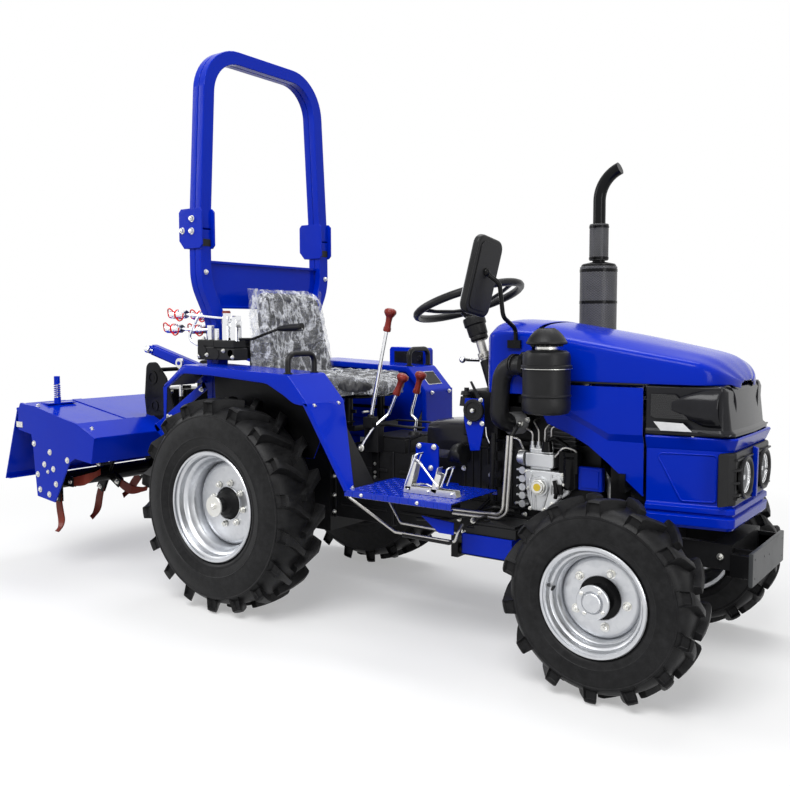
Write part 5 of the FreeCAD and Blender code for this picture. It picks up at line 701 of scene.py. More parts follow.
def rear_rim(side):
    rim = Shape()
    rim.lathe([
        (212, -104), (219, -104.5), (222, -101), (221.5, -95), (215, -91), (208, -90), (204.5, -86),
        (203, -66), (199, -60), (193, -57), (189, -50), (187, -38), (180, -30), (177, -22), (176, 16),
        (180, 26), (190, 36), (198, 52), (203, 62), (204.5, 86), (208, 90), (215, 91), (221.5, 95),
        (222, 101), (219, 104.5), (212, 104)], (0, 0, 0), "y", 112, closed=False)
    rim.lathe([(66, -4), (68, -5), (118, -5), (146, -5), (156, -3), (164, 3), (170, 12), (176.5, 22)],
              (0, 0, 0), "y", 96, closed=False)
    bmesh.ops.recalc_face_normals(rim.mesh, faces=rim.mesh.faces)
    bmesh.ops.solidify(rim.mesh, geom=list(rim.mesh.faces), thickness=4.5)
    rim.ring((0, -7.0, 0), "y", 68, 2.4, 72)
    set_wheel(rim, side, "rear")
    name = SIDE_NAME[side]
    rim.finish(f"rear_rim_{name}.steel", f"rear_wheel_{name}", RIM, "galvanised_rim",
               [f"rear_rim_{name}"], smooth=35)


def front_rim(side):
    rim = Shape()
    rim.lathe([
        (161, -76), (168, -77.5), (171, -74), (170.5, -69), (165, -66), (159, -65), (156, -61),
        (154, -50), (150, -45), (145, -43), (142, -36), (141, -24), (134, -17), (131, -8), (131, 16),
        (136, 26), (146, 34), (153, 44), (156, 61), (159, 65), (165, 66), (170.5, 69), (171, 74),
        (168, 77.5), (161, 76)], (0, 0, 0), "y", 112, closed=False)
    rim.lathe([(66, -7), (67, -10), (70, -12), (98, -12), (112, -12), (120, -9), (126, -2), (131, 8)],
              (0, 0, 0), "y", 96, closed=False)
    bmesh.ops.recalc_face_normals(rim.mesh, faces=rim.mesh.faces)
    bmesh.ops.solidify(rim.mesh, geom=list(rim.mesh.faces), thickness=4.0)
    set_wheel(rim, side, "front")
    name = SIDE_NAME[side]
    rim.finish(f"front_rim_{name}.steel", f"front_wheel_{name}", RIM, "galvanised_rim",
               [f"front_rim_{name}"], smooth=35)
    valve = Shape()
    valve.rod((-142, -32, 18), (-134, -60, 17), 5.5, 4.5, sides=16)
    valve.rod((-134, -60, 17), (-132, -68, 17), 3.6, sides=12)
    set_wheel(valve, side, "front")
    valve.finish(f"front_rim_{name}.valve", f"front_wheel_{name}", PLASTIC, "black_plastic")


def rear_hub(side):
    name = SIDE_NAME[side]
    body = f"rear_wheel_{name}"
    hub = Shape()
    hub.lathe([(0.01, 10), (104, 10), (105, 8), (105, -2), (64, -3), (62, -8), (58, -12),
               (52, -20), (46, -34), (40, -36), (34, -38), (30, -40), (30, -76), (27, -78),
               (0.01, -78)], (0, 0, 0), "y", 64, False)
    hub.rod((0, 12, 0), (0, 95, 0), 29.9, sides=48)
    hub.tidy()
    set_wheel(hub, side, "rear")
    hub.finish(f"rear_hub_{name}.casting", body, BLACK_CAST, "black_casting", [f"rear_hub_{name}"])
    bolts = Shape()
    for angle in angles(8):
        bolts.bolt(on_tread(-7, angle + 0.2, 86), (0, -1, 0), 19, 12)
    bolts.lathe([(0.01, -78), (41, -78), (42, -79), (42, -85), (41, -86), (0.01, -86)],
                (0, 0, 0), "y", 48, False)
    bolts.bolt((0, -86, 0), (0, -1, 0), 22, 11, washer=False)
    bolts.tidy()
    set_wheel(bolts, side, "rear")
    bolts.finish(f"rear_hub_{name}.bolts", body, ZINC, "galvanised_rim", smooth=30)


def front_hub(side):
    name = SIDE_NAME[side]
    body = f"front_wheel_{name}"
    hub = Shape()
    hub.lathe([(24, 62), (51, 62), (52, 60), (52, 6), (98, 5), (100, 3), (100, -4), (98, -6),
               (60, -6), (46, -10), (38, -22), (37, -50), (24, -50)], (0, 0, 0), "y", 64)
    hub.tidy()
    set_wheel(hub, side, "front")
    hub.finish(f"front_hub_{name}.barrel", body, BLACK_PAINT, "galvanised_rim", [f"front_hub_{name}"])
    ring = Shape()
    ring.lathe([(24, -49), (38, -50), (41, -56), (51, -57), (52, -59), (52, -67), (50, -69), (35, -69.5),
                (33, -67), (31, -66), (30, -68), (29.5, -75), (27, -77.5), (0.01, -77.5),
                (0.01, -72), (24, -70)], (0, 0, 0), "y", 64)
    ring.tidy()
    set_wheel(ring, side, "front")
    ring.finish(f"front_hub_{name}.ring", body, RIM, "galvanised_rim")
    bolts = Shape()
    for angle in angles(5):
        bolts.bolt(on_tread(-12, angle + 0.42, 88), (0, -1, 0), 20, 12)
    for angle in angles(4):
        bolts.bolt(on_tread(-69, angle + 0.6, 42), (0, -1, 0), 11, 5, washer=False)
    set_wheel(bolts, side, "front")
    bolts.finish(f"front_hub_{name}.bolts", body, ZINC, "galvanised_rim", smooth=30)


for SIDE in SIDES:
    rear_tyre(SIDE)
    rear_rim(SIDE)
    rear_hub(SIDE)
    front_tyre(SIDE)
    front_rim(SIDE)
    front_hub(SIDE)


# ---------------------------------------------------------------- hood, nose and cowl

SEAM_Z = 957


def arch(x, half, seam, crease, crest, flat=0.62):
    """Half a cross section of the hood, from its lower edge up to the middle."""
    bend = crease + (crest - crease) * 0.74
    return [
        (x, half, seam), (x, half + 0.5, seam + (crease - seam) * 0.3), (x, half, crease - 20),
        (x, half - 2, crease - 8), (x, half - 8, crease + 1), (x, half - 20, crease + 7),
        (x, half * (flat + 0.12), bend - 7), (x, half * flat, bend), (x, half * (flat - 0.12), bend + 4),
        (x, half * 0.25, crest - 2), (x, 0, crest)]


def whole(half_section):
    """A cross section with its mirror image."""
    other = [(x, -y, z) for x, y, z in reversed(half_section[:-1])]
    return half_section + other


def panel_surface(sections):
    """An open sheet through cross sections."""
    sheet = Shape()
    sheet.strip([whole(section) for section in sections])
    sheet.tidy()
    return sheet


def hood():
    sheet = panel_surface([
        arch(1252, 249, SEAM_Z, 1113, 1153), arch(1256, 250, SEAM_Z, 1112, 1153),
        arch(1380, 250, SEAM_Z, 1091, 1133), arch(1519, 250, SEAM_Z, 1068, 1110),
        arch(1640, 249, SEAM_Z, 1048, 1084), arch(1745, 243, SEAM_Z, 1031, 1061),
        arch(1790, 235, SEAM_Z, 1022, 1049), arch(1818, 221, SEAM_Z, 1010, 1036),
        arch(1842, 196, SEAM_Z, 995, 1016), arch(1862, 156, SEAM_Z, 978, 992),
        arch(1873, 112, SEAM_Z, 966, 975), arch(1877, 74, SEAM_Z, 960, 966)])
    sheet.finish("hood_top.shell", "hood", BLUE, "blue_paint", ["hood_top"],
                 smooth=60, subdivide=2, wall=3)
    rubber_seal = Shape()
    for side in SIDES:
        rubber_seal.tube([(1262, 247 * side, 955), (1560, 247 * side, 955), (1630, 246 * side, 955)], 3.2)
    rubber_seal.finish("hood_top.seal", "hood", PLASTIC, "black_plastic")


def cowl():
    sheet = panel_surface([
        arch(1022, 158, 905, 1092, 1143), arch(1024, 164, 905, 1097, 1147),
        arch(1034, 188, 905, 1104, 1154), arch(1066, 236, 905, 1114, 1162),
        arch(1084, 247, 905, 1117, 1164), arch(1110, 249, 905, 1119, 1165),
        arch(1170, 250, 905, 1119, 1161), arch(1232, 250, 905, 1116, 1157), arch(1237, 249, 905, 1115, 1156)])
    sheet.finish("dash_cowl.shell", "chassis", BLUE, "blue_paint", ["dash_cowl"],
                 smooth=60, subdivide=2, wall=3)
    back = Shape()
    back.plate([(-160, 906), (-160, 1090), (-100, 1132), (0, 1140), (100, 1132), (160, 1090), (160, 906)],
               "x", 1026, 1031)
    back.bevelled(1.5)
    back.block((1012, -62, 1040), (1028, 62, 1118))
    back.rod((1006, -30, 1080), (1028, -30, 1080), 22, sides=40)
    back.rod((1006, 30, 1080), (1028, 30, 1080), 22, sides=40)
    back.rod((1004, -104, 1010), (1028, -104, 1010), 13, sides=24)
    back.rod((1004, 104, 1010), (1028, 104, 1010), 13, sides=24)
    back.finish("dash_cowl.dash", "chassis", PLASTIC, "black_plastic")
    front = Shape()
    front.block((1228, -236, 912), (1233, 236, 1108))
    for side in SIDES:
        front.rod((1290, 80 * side, 1124), (1290, 94 * side, 1124), 9, sides=24)
        front.plate([(1232, 1024), (1300, 1024), (1300, 1116), (1280, 1116), (1280, 1044), (1232, 1044)],
                    "y", 80 * side - 5, 80 * side + 5)
    front.bevelled(1.5)
    front.finish("dash_cowl.bulkhead", "chassis", BLACK_PAINT, "black_casting")


def side_panel(side):
    """The engine's side cover: a step runs along it and rises to the rear."""
    lower = [(1254, 905), (1254, 876), (1292, 812), (1372, 782), (1440, 748), (1500, 703), (1626, 600)]
    step_low = [(1254, 906), (1254, 884), (1290, 872), (1370, 838), (1440, 806), (1508, 770), (1626, 770)]
    step_high = [(1254, 907), (1254, 906), (1290, 898), (1370, 862), (1440, 828), (1516, 793), (1626, 796)]
    top = [(1254, 945), (1254, 944), (1290, 945), (1370, 945), (1440, 945), (1516, 945), (1626, 945)]
    rows = []
    for row, depth in ((lower, 231), (lower, 237), (step_low, 238), (step_high, 249), (top, 250)):
        rows.append([(x, depth * side, z) for x, z in row])
    rows[0] = [(x, 231 * side, z + 4) for x, z in lower]
    sheet = Shape()
    sheet.strip(rows)
    sheet.tidy()
    sheet.bevelled(2.0, 2, 12)
    sheet.finish(f"side_panels.{SIDE_NAME[side]}", "chassis", BLUE, "blue_paint",
                 ["side_panels"] if side < 0 else (), smooth=30, wall=3)


def nose_line(inset, z, rear=1636):
    """The nose seen from above, from its right rear edge round to the left."""
    near = rounded([(rear, -250 + inset, z), (1882 - inset * 0.4, -217 + inset, z),
                    (1904 - inset, -200 + inset, z), (1904 - inset, 0, z)], 14, 4)
    far = [(p[0], -p[1], p[2]) for p in reversed(near[:-1])]
    return [tuple(p) for p in near] + far


def nose():
    sheet = Shape()
    profile = ((790, 14), (798, 12), (799, 3), (794, 0), (762, 12), (757, 15), (590, 17), (586, 15),
               (580, 6), (565, 6), (561, 16), (557, 16), (551, 5), (524, 7), (513, 16), (513, 24))
    sheet.strip([nose_line(inset, z) for z, inset in profile])
    sheet.tidy()
    sheet.bevelled(1.6, 2, 25)
    sheet.finish("nose_cowl.shell", "hood", BLUE, "blue_paint", ["nose_cowl"], smooth=35, wall=3)
    recess = Shape()
    corners = [(1705, 743), (1665, 741), (1742, 597), (1844, 600), (1843, 745), (1705, 743)]
    for side in SIDES:
        recess.tube([(x, (233.5 - (x - 1636) * 0.134) * side, z) for x, z in corners], 3.4, 12)
    recess.finish("nose_cowl.recess", "hood", BLUE, "blue_paint", smooth=50)
    bolts = Shape()
    for side in SIDES:
        for x in (1668, 1800):
            bolts.bolt((x, (234 - (x - 1636) * 0.134) * side, 773), (0, side, 0.25), 9, 3, washer=False)
    bolts.finish("nose_cowl.screws", "hood", ZINC, "galvanised_rim")


def band_line(inset, z, front=1900):
    near = rounded([(1636, -249 + inset, z), (1862 - inset * 0.4, -221 + inset, z),
                    (front - 8 - inset, -196 + inset, z), (front - inset, 0, z)], 26, 5)
    far = [(p[0], -p[1], p[2]) for p in reversed(near[:-1])]
    return [tuple(p) for p in near] + far


def lamps():
    band = Shape()
    band.strip([band_line(8, 800, 1898), band_line(1, 803, 1902), band_line(1, 812, 1901),
                band_line(5, 822, 1893), band_line(6, 905, 1884), band_line(2, 938, 1880),
                band_line(2, 950, 1872), band_line(8, 955, 1862), band_line(30, 956, 1850)])
    band.tidy()
    band.bevelled(1.5, 2, 20)
    band.finish("headlamp_band.base", "hood", GLOSS, "gloss_black", ["headlamp_band"], smooth=35, wall=4)
    for side in SIDES:
        pod = Shape()
        rings = []
        for x, y, z, wide, tall, swing in (
                (1716, 246, 893, 3, 14, 0), (1745, 241, 893, 10, 30, 2), (1778, 228, 891, 22, 46, 5),
                (1806, 210, 889, 40, 60, 8), (1828, 196, 888, 54, 66, 10), (1846, 188, 888, 60, 69, 12),
                (1862, 184, 888, 62, 70, 12), (1865, 183, 888, 58, 66, 12), (1854, 180, 888, 52, 60, 12),
                (1842, 178, 888, 48, 54, 12), (1818, 173, 888, 46, 50, 12)):
            sideways = Matrix.Rotation(math.radians(swing * side), 3, "Z") @ Vector((0, 1, 0))
            middle = Vector((x, y * side, z))
            rings.append([middle + sideways * wide * math.cos(a) + AXIS["z"] * tall * math.sin(a)
                          for a in angles(32)])
        pod.loft(rings)
        pod.tidy()
        name = SIDE_NAME[side]
        pod.finish(f"headlamp_band.pod_{name}", "hood", GLOSS, "gloss_black", smooth=50)
        swing = Matrix.Rotation(math.radians(12 * side), 3, "Z")
        spot = Vector((1844, 178 * side, 888))
        bowl = Shape()
        bowl.lathe([(46, 2), (44, -5), (34, -15), (16, -19), (0.01, -20)], (0, 0, 0), "x", 48, False)
        bowl.lathe([(0.01, 1), (9, 0), (12, -5), (12, -18)], (0, 0, 0), "x", 32, False)
        bowl.ring((3, 0, 0), "x", 46.5, 2.2, 48)
        bowl.tidy()
        bmesh.ops.rotate(bowl.mesh, cent=(0, 0, 0), matrix=swing, verts=bowl.mesh.verts)
        bmesh.ops.translate(bowl.mesh, vec=spot, verts=bowl.mesh.verts)
        bowl.finish(f"headlamp_band.bowl_{name}", "hood", REFLECTOR, "galvanised_rim")
        cover = Shape()
        cover.lathe([(45.5, 3), (38, 9), (24, 14), (10, 16), (0.01, 16.5)], (0, 0, 0), "x", 48, False)
        bmesh.ops.rotate(cover.mesh, cent=(0, 0, 0), matrix=swing, verts=cover.mesh.verts)
        bmesh.ops.translate(cover.mesh, vec=spot, verts=cover.mesh.verts)
        cover.finish(f"headlamp_band.lens_{name}", "hood", LENS, "gloss_black", smooth=60)
        mesh = Shape()
        spots = [(1650, 928), (1726, 928), (1752, 905), (1752, 870), (1768, 853), (1664, 853), (1650, 860)]
        mesh.plate(spots, "y", 245 * side - 2, 245 * side + 2)
        mesh.bevelled(1.0)
        mesh.finish(f"headlamp_band.mesh_{name}", "hood", HONEYCOMB, "black_plastic")
        glint = Shape()
        glint.plate([(1659, 842), (1755, 842), (1784, 818), (1684, 815)],
                    "y", 244 * side - 2, 244 * side + 2.5)
        glint.bevelled(1.0)
        glint.turn(glint.mesh.verts, Matrix.Rotation(math.radians(7 * side), 3, "Z"), (1659, 244 * side, 830))
        glint.finish(f"headlamp_band.reflector_{name}", "hood", WHITE, "galvanised_rim")
        fins = Shape()
        fins.plate([(1790, 818), (1836, 812), (1886, 812), (1886, 806), (1800, 806)],
                   "y", 205 * side, 232 * side)
        fins.bevelled(2)
        fins.finish(f"headlamp_band.fin_{name}", "hood", GLOSS, "gloss_black")


def grille_panel():
    panel = Shape()
    rows = []
    for inset, z in ((13, 592), (7, 594), (5, 600), (5, 748), (7, 754), (13, 756)):
        rows.append(nose_line(inset, z, 1862))
    panel.strip(rows)
    panel.tidy()
    panel.bevelled(1.5, 2, 25)
    panel.finish("grille.panel", "hood", PLASTIC, "black_plastic", ["grille"], smooth=35, wall=4)
    fins = Shape()
    for side in SIDES:
        for z in (622, 660, 698):
            fins.plate([(1868, 212 * side), (1898, 200 * side), (1907, 188 * side), (1907, 150 * side),
                        (1890, 150 * side)], "z", z, z + 7)
        low, high = spread(side, 20, 200)
        for z in (612, 730):
            fins.block((1896, low, z), (1905, high, z + 6))
        fins.lathe([(60, 1890), (68, 1892), (67, 1910), (63, 1914), (57, 1912), (50, 1902), (48, 1896)],
                   (0, 108 * side, 671), "x", 56, False)
    fins.block((1896, -198, 640), (1899, 198, 700))
    fins.tidy()
    fins.bevelled(0.8, 1, 50)
    fins.finish("grille.fins", "hood", PLASTIC, "black_plastic", smooth=35)
    blade = Shape()
    blade.plate([(1898, 592), (1912, 596), (1914, 750), (1898, 757)], "y", -9, 9)
    blade.bevelled(2.5)
    blade.finish("grille.blade", "hood", BLUE, "blue_paint")
    for side in SIDES:
        centre = (0, 108 * side, 671)
        bowl = Shape()
        bowl.lathe([(47, 1903), (44, 1899), (30, 1893), (0.01, 1891)], centre, "x", 48, False)
        bowl.lathe([(0.01, 1903), (8, 1902), (10, 1893)], centre, "x", 28, False)
        bowl.ring((1904, *centre[1:]), "x", 47.5, 2.2, 48)
        bowl.tidy()
        bowl.finish(f"grille.bowl_{SIDE_NAME[side]}", "hood", REFLECTOR, "galvanised_rim")
        cover = Shape()
        cover.lathe([(46, 1904), (36, 1909), (20, 1912), (0.01, 1913)], centre, "x", 48, False)
        cover.finish(f"grille.lens_{SIDE_NAME[side]}", "hood", LENS, "gloss_black", smooth=60)


def bumper():
    plate = Shape()
    plate.block((1942, -196, 351), (1955, 196, 454))
    plate.bevelled(2.5)
    plate.finish("front_bumper.plate", "chassis", BUMPER, "black_casting", ["front_bumper"])
    arms = Shape()
    for side in SIDES:
        low, high = spread(side, 142, 190)
        arms.block((1885, low, 372), (1943, high, 444))
        low, high = spread(side, 142, 150)
        arms.block((1860, low, 362), (1943, high, 454))
    arms.bevelled(3)
    arms.finish("front_bumper.cheeks", "chassis", BLACK_PAINT, "black_casting")
    bolts = Shape()
    for y, z in ((-172, 432), (-172, 374), (172, 432), (172, 374), (0, 414), (-60, 420)):
        bolts.bolt((1955, y, z), (-1, 0, 0), 6, 4, washer=False)
        bolts.rod((1954, y, z), (1954.8, y, z), 6, sides=6)
    bolts.finish("front_bumper.bolts", "chassis", BLACK_PAINT, "black_casting")


hood()
cowl()
for SIDE in SIDES:
    side_panel(SIDE)
nose()
lamps()
grille_panel()
bumper()


# ---------------------------------------------------------------- fenders and footboards

TOP_Z = 960
KNEE = (448, 855)
BOARD_Z = 555
BOARD_EDGE = 500
FENDER_INNER = 283
FENDER_FOOT = {-1: (640, BOARD_Z), 1: (452, BOARD_Z)}
FOOT_INNER = {-1: 462, 1: FENDER_INNER}


def moved_in(run, depth):
    """A run of (x, z) points moved square to itself, to its right."""
    moved = []
    for index, here in enumerate(run):
        before = Vector(run[max(index - 1, 0)])
        after = Vector(run[min(index + 1, len(run) - 1)])
        way = (after - before).normalized()
        moved.append(Vector((here[0] + way.y * depth, here[1] - way.x * depth)))
    return moved


def height_at(run, x):
    """How high a run of (x, z) points is at x."""
    for a, b in zip(run, run[1:]):
        if a[0] <= x <= b[0]:
            return a[1] + (b[1] - a[1]) * (x - a[0]) / (b[0] - a[0])
    return run[-1][1]


def fender(side):
    """A pressed fender: a deck with a sloping front, a foot and a swept outer lip."""
    run = rounded([(-354, 898), (-232, 985), (350, TOP_Z), KNEE, FENDER_FOOT[side]], 24, 5)
    narrowing = FOOT_INNER[side] - FENDER_INNER
    sheet = Shape()
    rows = []
    for across, depth in ((284, 24), (283, 6), (285, 1.6), (291, 0), (492, 0), (498, 1.6),
                          (BOARD_EDGE, 8), (BOARD_EDGE, 20)):
        row = []
        for x, z in moved_in(run, depth):
            fall = min(max((KNEE[1] - z) / (KNEE[1] - BOARD_Z), 0), 1)
            shift = narrowing * fall if across < 400 else 0
            row.append((x, (across + shift) * side, z))
        rows.append(row)
    sheet.strip(rows)
    under = moved_in(run, 8)
    sweep = rounded([(-366, 868), (-242, 948), (-69, 943), (101, 932), (240, 922), (330, 880),
                     (380, 850), (446, 845)], 60, 5)
    stations = [-354 + 800 * step / 40 for step in range(41)]
    lip = []
    for across, rise in ((BOARD_EDGE, None), (BOARD_EDGE + 0.6, 9), (BOARD_EDGE - 1, 2), (494, 0), (484, 1)):
        edge = under if rise is None else sweep
        lip.append([(x, across * side, height_at(edge, x) + (rise or 0)) for x in stations])
    sheet.strip(lip)
    sheet.tidy()
    sheet.finish(f"fenders.sheet_{SIDE_NAME[side]}", "chassis", BLUE, "blue_paint",
                 ["fenders"] if side < 0 else (), smooth=34, wall=4)
    wall = Shape()
    top = [tuple(p) for p in under[:-6] if p.x > -230]
    wall.plate(top + [(330, 620), (-170, 620), (-215, 700)], "y", 327 * side, 332 * side)
    wall.block((-40, 327 * side, 470), (40, 332 * side, 630))
    wall.bevelled(1.2)
    wall.finish(f"fenders.wall_{SIDE_NAME[side]}", "chassis", BLUE, "blue_paint", smooth=30)
    # A black sheet inside the fender wall and under its deck: painted shade for the fender's dark inner
    # faces.
    shade_liner = Shape()
    shade_liner.plate(top + [(330, 622), (-168, 622), (-213, 700)], "y", 332.4 * side, 334 * side)
    shade_liner.strip([[(p.x, y * side, p.y) for p in moved_in(run, 7)] for y in (334, 488)])
    shade_liner.finish(f"fenders.liner_{SIDE_NAME[side]}", "chassis", BLACK_CAST, "black_casting", smooth=30)


def fender_details():
    screws = Shape()
    for side in SIDES:
        for y in (465, 325):
            screws.bolt((450, y * side, 846), (1, 0, 0.12), 12, 6)
        for x in (-180, 20, 200):
            screws.bolt((x, 332 * side, 660), (0, side, 0), 12, 6)
    for x in (-20, 20):
        screws.bolt((x, -332, 560), (0, -1, 0), 14, 7)
        screws.bolt((x, 332, 560), (0, 1, 0), 14, 7)
    screws.finish("fenders.screws", "chassis", ZINC, "bright_steel")
    box = Shape()
    box.plate([(105, 948), (105, 1030), (113, 1042), (307, 1038), (315, 1028), (315, 948)], "y", 478, 540)
    box.bevelled(4, 3)
    box.finish("fenders.box", "chassis", BLUE, "blue_paint", smooth=35)
    lid = Shape()
    lid.block((135, 475, 962), (300, 479, 1022))
    lid.bevelled(2.5, 3)
    lid.rod((285, 478, 990), (285, 466, 990), 8, sides=24)
    lid.ring((285, 467, 990), "y", 11, 2.2, 24)
    lid.finish("fenders.box_lid", "chassis", GLOSS, "gloss_black")
    slope = Matrix.Rotation(math.atan2(TOP_Z - KNEE[1], KNEE[0] - 350), 3, "Y")
    plate = Shape()
    plate.block((362, 338, 906), (438, 446, 908.4), slope, (400, 392, 906.5))
    plate.bevelled(0.8)
    plate.finish("fenders.plate_border", "chassis", WHITE, "galvanised_rim")
    face = Shape()
    face.block((365, 341, 907.6), (435, 443, 909.2), slope, (400, 392, 906.5))
    face.bevelled(0.5)
    face.finish("fenders.plate_face", "chassis", PLASTIC, "gloss_black")


def handles():
    tubes = Shape()
    for side in SIDES:
        tubes.tube([(330, 323 * side, 960), (330, 323 * side, 1036),
                    (330, 473 * side, 1036), (330, 473 * side, 960)], 11, 34, 6)
        for y in (323, 473):
            tubes.rod((330, y * side, 961), (330, y * side, 965), 17, sides=28)
    tubes.finish("grab_handles.tubes", "chassis", PLASTIC, "black_plastic", ["grab_handles"])


def footboard(side):
    """A folded board with raised dashes that cross in turn."""
    back, front = FENDER_FOOT[side][0] - 18 * (side < 0), 1075
    board = Shape()
    rows = []
    for y, drop in ((190, 18), (190, 3), (193, 0), (495, 0), (499, 1.2), (BOARD_EDGE, 5),
                    (BOARD_EDGE, 22), (497, 24), (486, 24)):
        rows.append([(x, y * side, BOARD_Z - drop)
                     for x in (back, back + 4, (back + front) / 2, front - 60, front)])
    board.strip(rows)
    board.tidy()
    board.finish(f"footboards.board_{SIDE_NAME[side]}", "chassis", TREAD, "blue_paint",
                 ["footboards"] if side < 0 else (), smooth=34, wall=4)
    dashes = Shape()
    pitch = 26
    for row in range(int((front - back) / pitch) - 1):
        for column in range(11):
            spot = Vector((back + pitch * (row + 1), (205 + pitch * column) * side, BOARD_Z))
            turn = Matrix.Rotation(math.radians(45 if (row + column) % 2 else -45), 4, "Z")
            bmesh.ops.create_cone(
                dashes.mesh, cap_ends=True, segments=8, radius1=1, radius2=0.62, depth=1.6,
                matrix=Matrix.Translation(spot) @ turn @ Matrix.Diagonal((12, 3.4, 1, 1)))
    dashes.finish(f"footboards.tread_{SIDE_NAME[side]}", "chassis", TREAD, "blue_paint", smooth=50)
    hangers = Shape()
    for x in (back + 70, 830):
        hangers.block((x, 125 * side, 520), (x + 40, 430 * side, BOARD_Z - 6))
        hangers.block((x - 4, 125 * side, 512), (x + 44, 131 * side, BOARD_Z - 6))
    hangers.bevelled(3)
    hangers.finish(f"footboards.hangers_{SIDE_NAME[side]}", "chassis", BLUE, "blue_paint")


def board_details():
    bracket = Shape()
    bracket.plate([(731, 552), (833, 552), (833, 690), (820, 703), (744, 703), (731, 690)], "y", -206, -199)
    bracket.block((751, -199, 556), (813, -125, 596))
    bracket.plate([(912, 485), (1044, 476), (1044, 434), (985, 434)], "y", -436, -430)
    bracket.bevelled(1.6, 3)
    bracket.finish("footboards.bracket", "chassis", BLUE, "blue_paint")
    screws = Shape()
    for x, z in ((747, 691), (814, 691), (800, 611)):
        screws.bolt((x, -206, z), (0, -1, 0), 15, 8)
    for x in (700, 940):
        screws.bolt((x, -BOARD_EDGE, 543), (0, -1, 0), 9, 4)
        screws.bolt((x, BOARD_EDGE, 543), (0, 1, 0), 9, 4)
    screws.bolt((640, -476, 556), (0.3, 0, 1), 11, 6)
    screws.finish("footboards.screws", "chassis", ZINC, "bright_steel")


def pedal_frame():
    """The folded steel pedal stand on the right board, with its wire loops."""
    y = -402
    sheet = Shape()
    sheet.plate([(824, BOARD_Z + 2), (828, 579), (1040, 579), (1045, BOARD_Z + 2)], "y", y - 16, y - 13)
    sheet.plate([(824, BOARD_Z + 2), (828, 579), (1040, 579), (1045, BOARD_Z + 2)], "y", y + 13, y + 16)
    sheet.block((826, y - 16, BOARD_Z + 0.6), (1043, y + 16, BOARD_Z + 3))
    for foot, top, height in ((940, 968, 655), (832, 864, 690)):
        lean = math.atan2(top - foot, height - 575)
        turn = Matrix.Rotation(lean, 3, "Y")
        base = (foot, y, 570)
        high, edge_high = (570 + (height - less) / math.cos(lean) for less in (570, 590))
        sheet.block((foot - 1.5, y - 16, 570), (foot + 1.5, y + 16, high), turn, base)
        for edge in (-16, 13.5):
            sheet.block((foot - 1.5, y + edge, 570), (foot + 22, y + edge + 2.5, edge_high), turn, base)
    sheet.bevelled(1.0)
    sheet.finish("pedals.stand", "chassis", ZINC, "bright_steel", ["pedals"])
    wires = Shape()
    for y_edge in (-19, 19):
        wires.tube([(834, y + y_edge, 582), (868, y + y_edge, 668), (878, y + y_edge, 690)], 3.2, 12)
        wires.tube([(985, y + y_edge, 590), (1006, y + y_edge, 640), (1010, y + y_edge, 652)], 3.2, 12)
    wires.tube([(878, y - 19, 690), (886, y - 19, 696), (886, y + 19, 696), (878, y + 19, 690)], 3.2, 8)
    wires.tube([(1010, y - 19, 652), (1016, y - 19, 658), (1016, y + 19, 658), (1010, y + 19, 652)], 3.2, 8)
    wires.tube([(872, y - 2, 672), (900, y - 8, 655), (968, y - 16, 590)], 4, 20)
    wires.tube([(846, y + 6, 580), (880, y + 16, 586), (915, y, 590), (945, y - 8, 584)], 3, 14)
    wires.finish("pedals.wires", "chassis", CHROME, "chrome_steel")
    pins = Shape()
    for x, z in ((846, 568), (930, 568), (1026, 568)):
        pins.bolt((x, y - 16, z), (0, -1, 0), 9, 4, washer=False)
    pins.bolt((968, y - 16, 590), (0, -1, 0), 11, 6)
    pins.finish("pedals.pins", "chassis", ZINC, "bright_steel")
    clutch = Shape()
    clutch.tube([(905, 150, 640), (930, 190, 660), (955, 300, 640), (965, 330, 640)], 9, 30)
    clutch.block((950, 300, 634), (1010, 372, 646), Matrix.Rotation(-0.3, 3, "Y"))
    clutch.bevelled(2.5)
    clutch.finish("pedals.clutch", "chassis", BLACK_PAINT, "black_casting")


# ---------------------------------------------------------------- levers

def knob_on(shape, at, way, scale=1.0):
    """A mushroom knob that stands on a lever's end."""
    profile = ((0, -2), (11, -2), (12.5, 0), (12.5, 9), (10.5, 14), (9.6, 30), (11, 44), (16, 51),
               (19.5, 57), (20, 62), (18, 68), (11, 72), (0, 73))
    shape.lathe([(r * scale, along * scale) for r, along in profile], (0, 0, 0), "z", 32, closed=False)
    verts = {v for v in shape.mesh.verts if not v.tag}
    turn = Vector(way).to_track_quat("Z", "Y").to_matrix().to_4x4()
    bmesh.ops.transform(shape.mesh, matrix=Matrix.Translation(Vector(at)) @ turn, verts=list(verts))
    for v in verts:
        v.tag = True


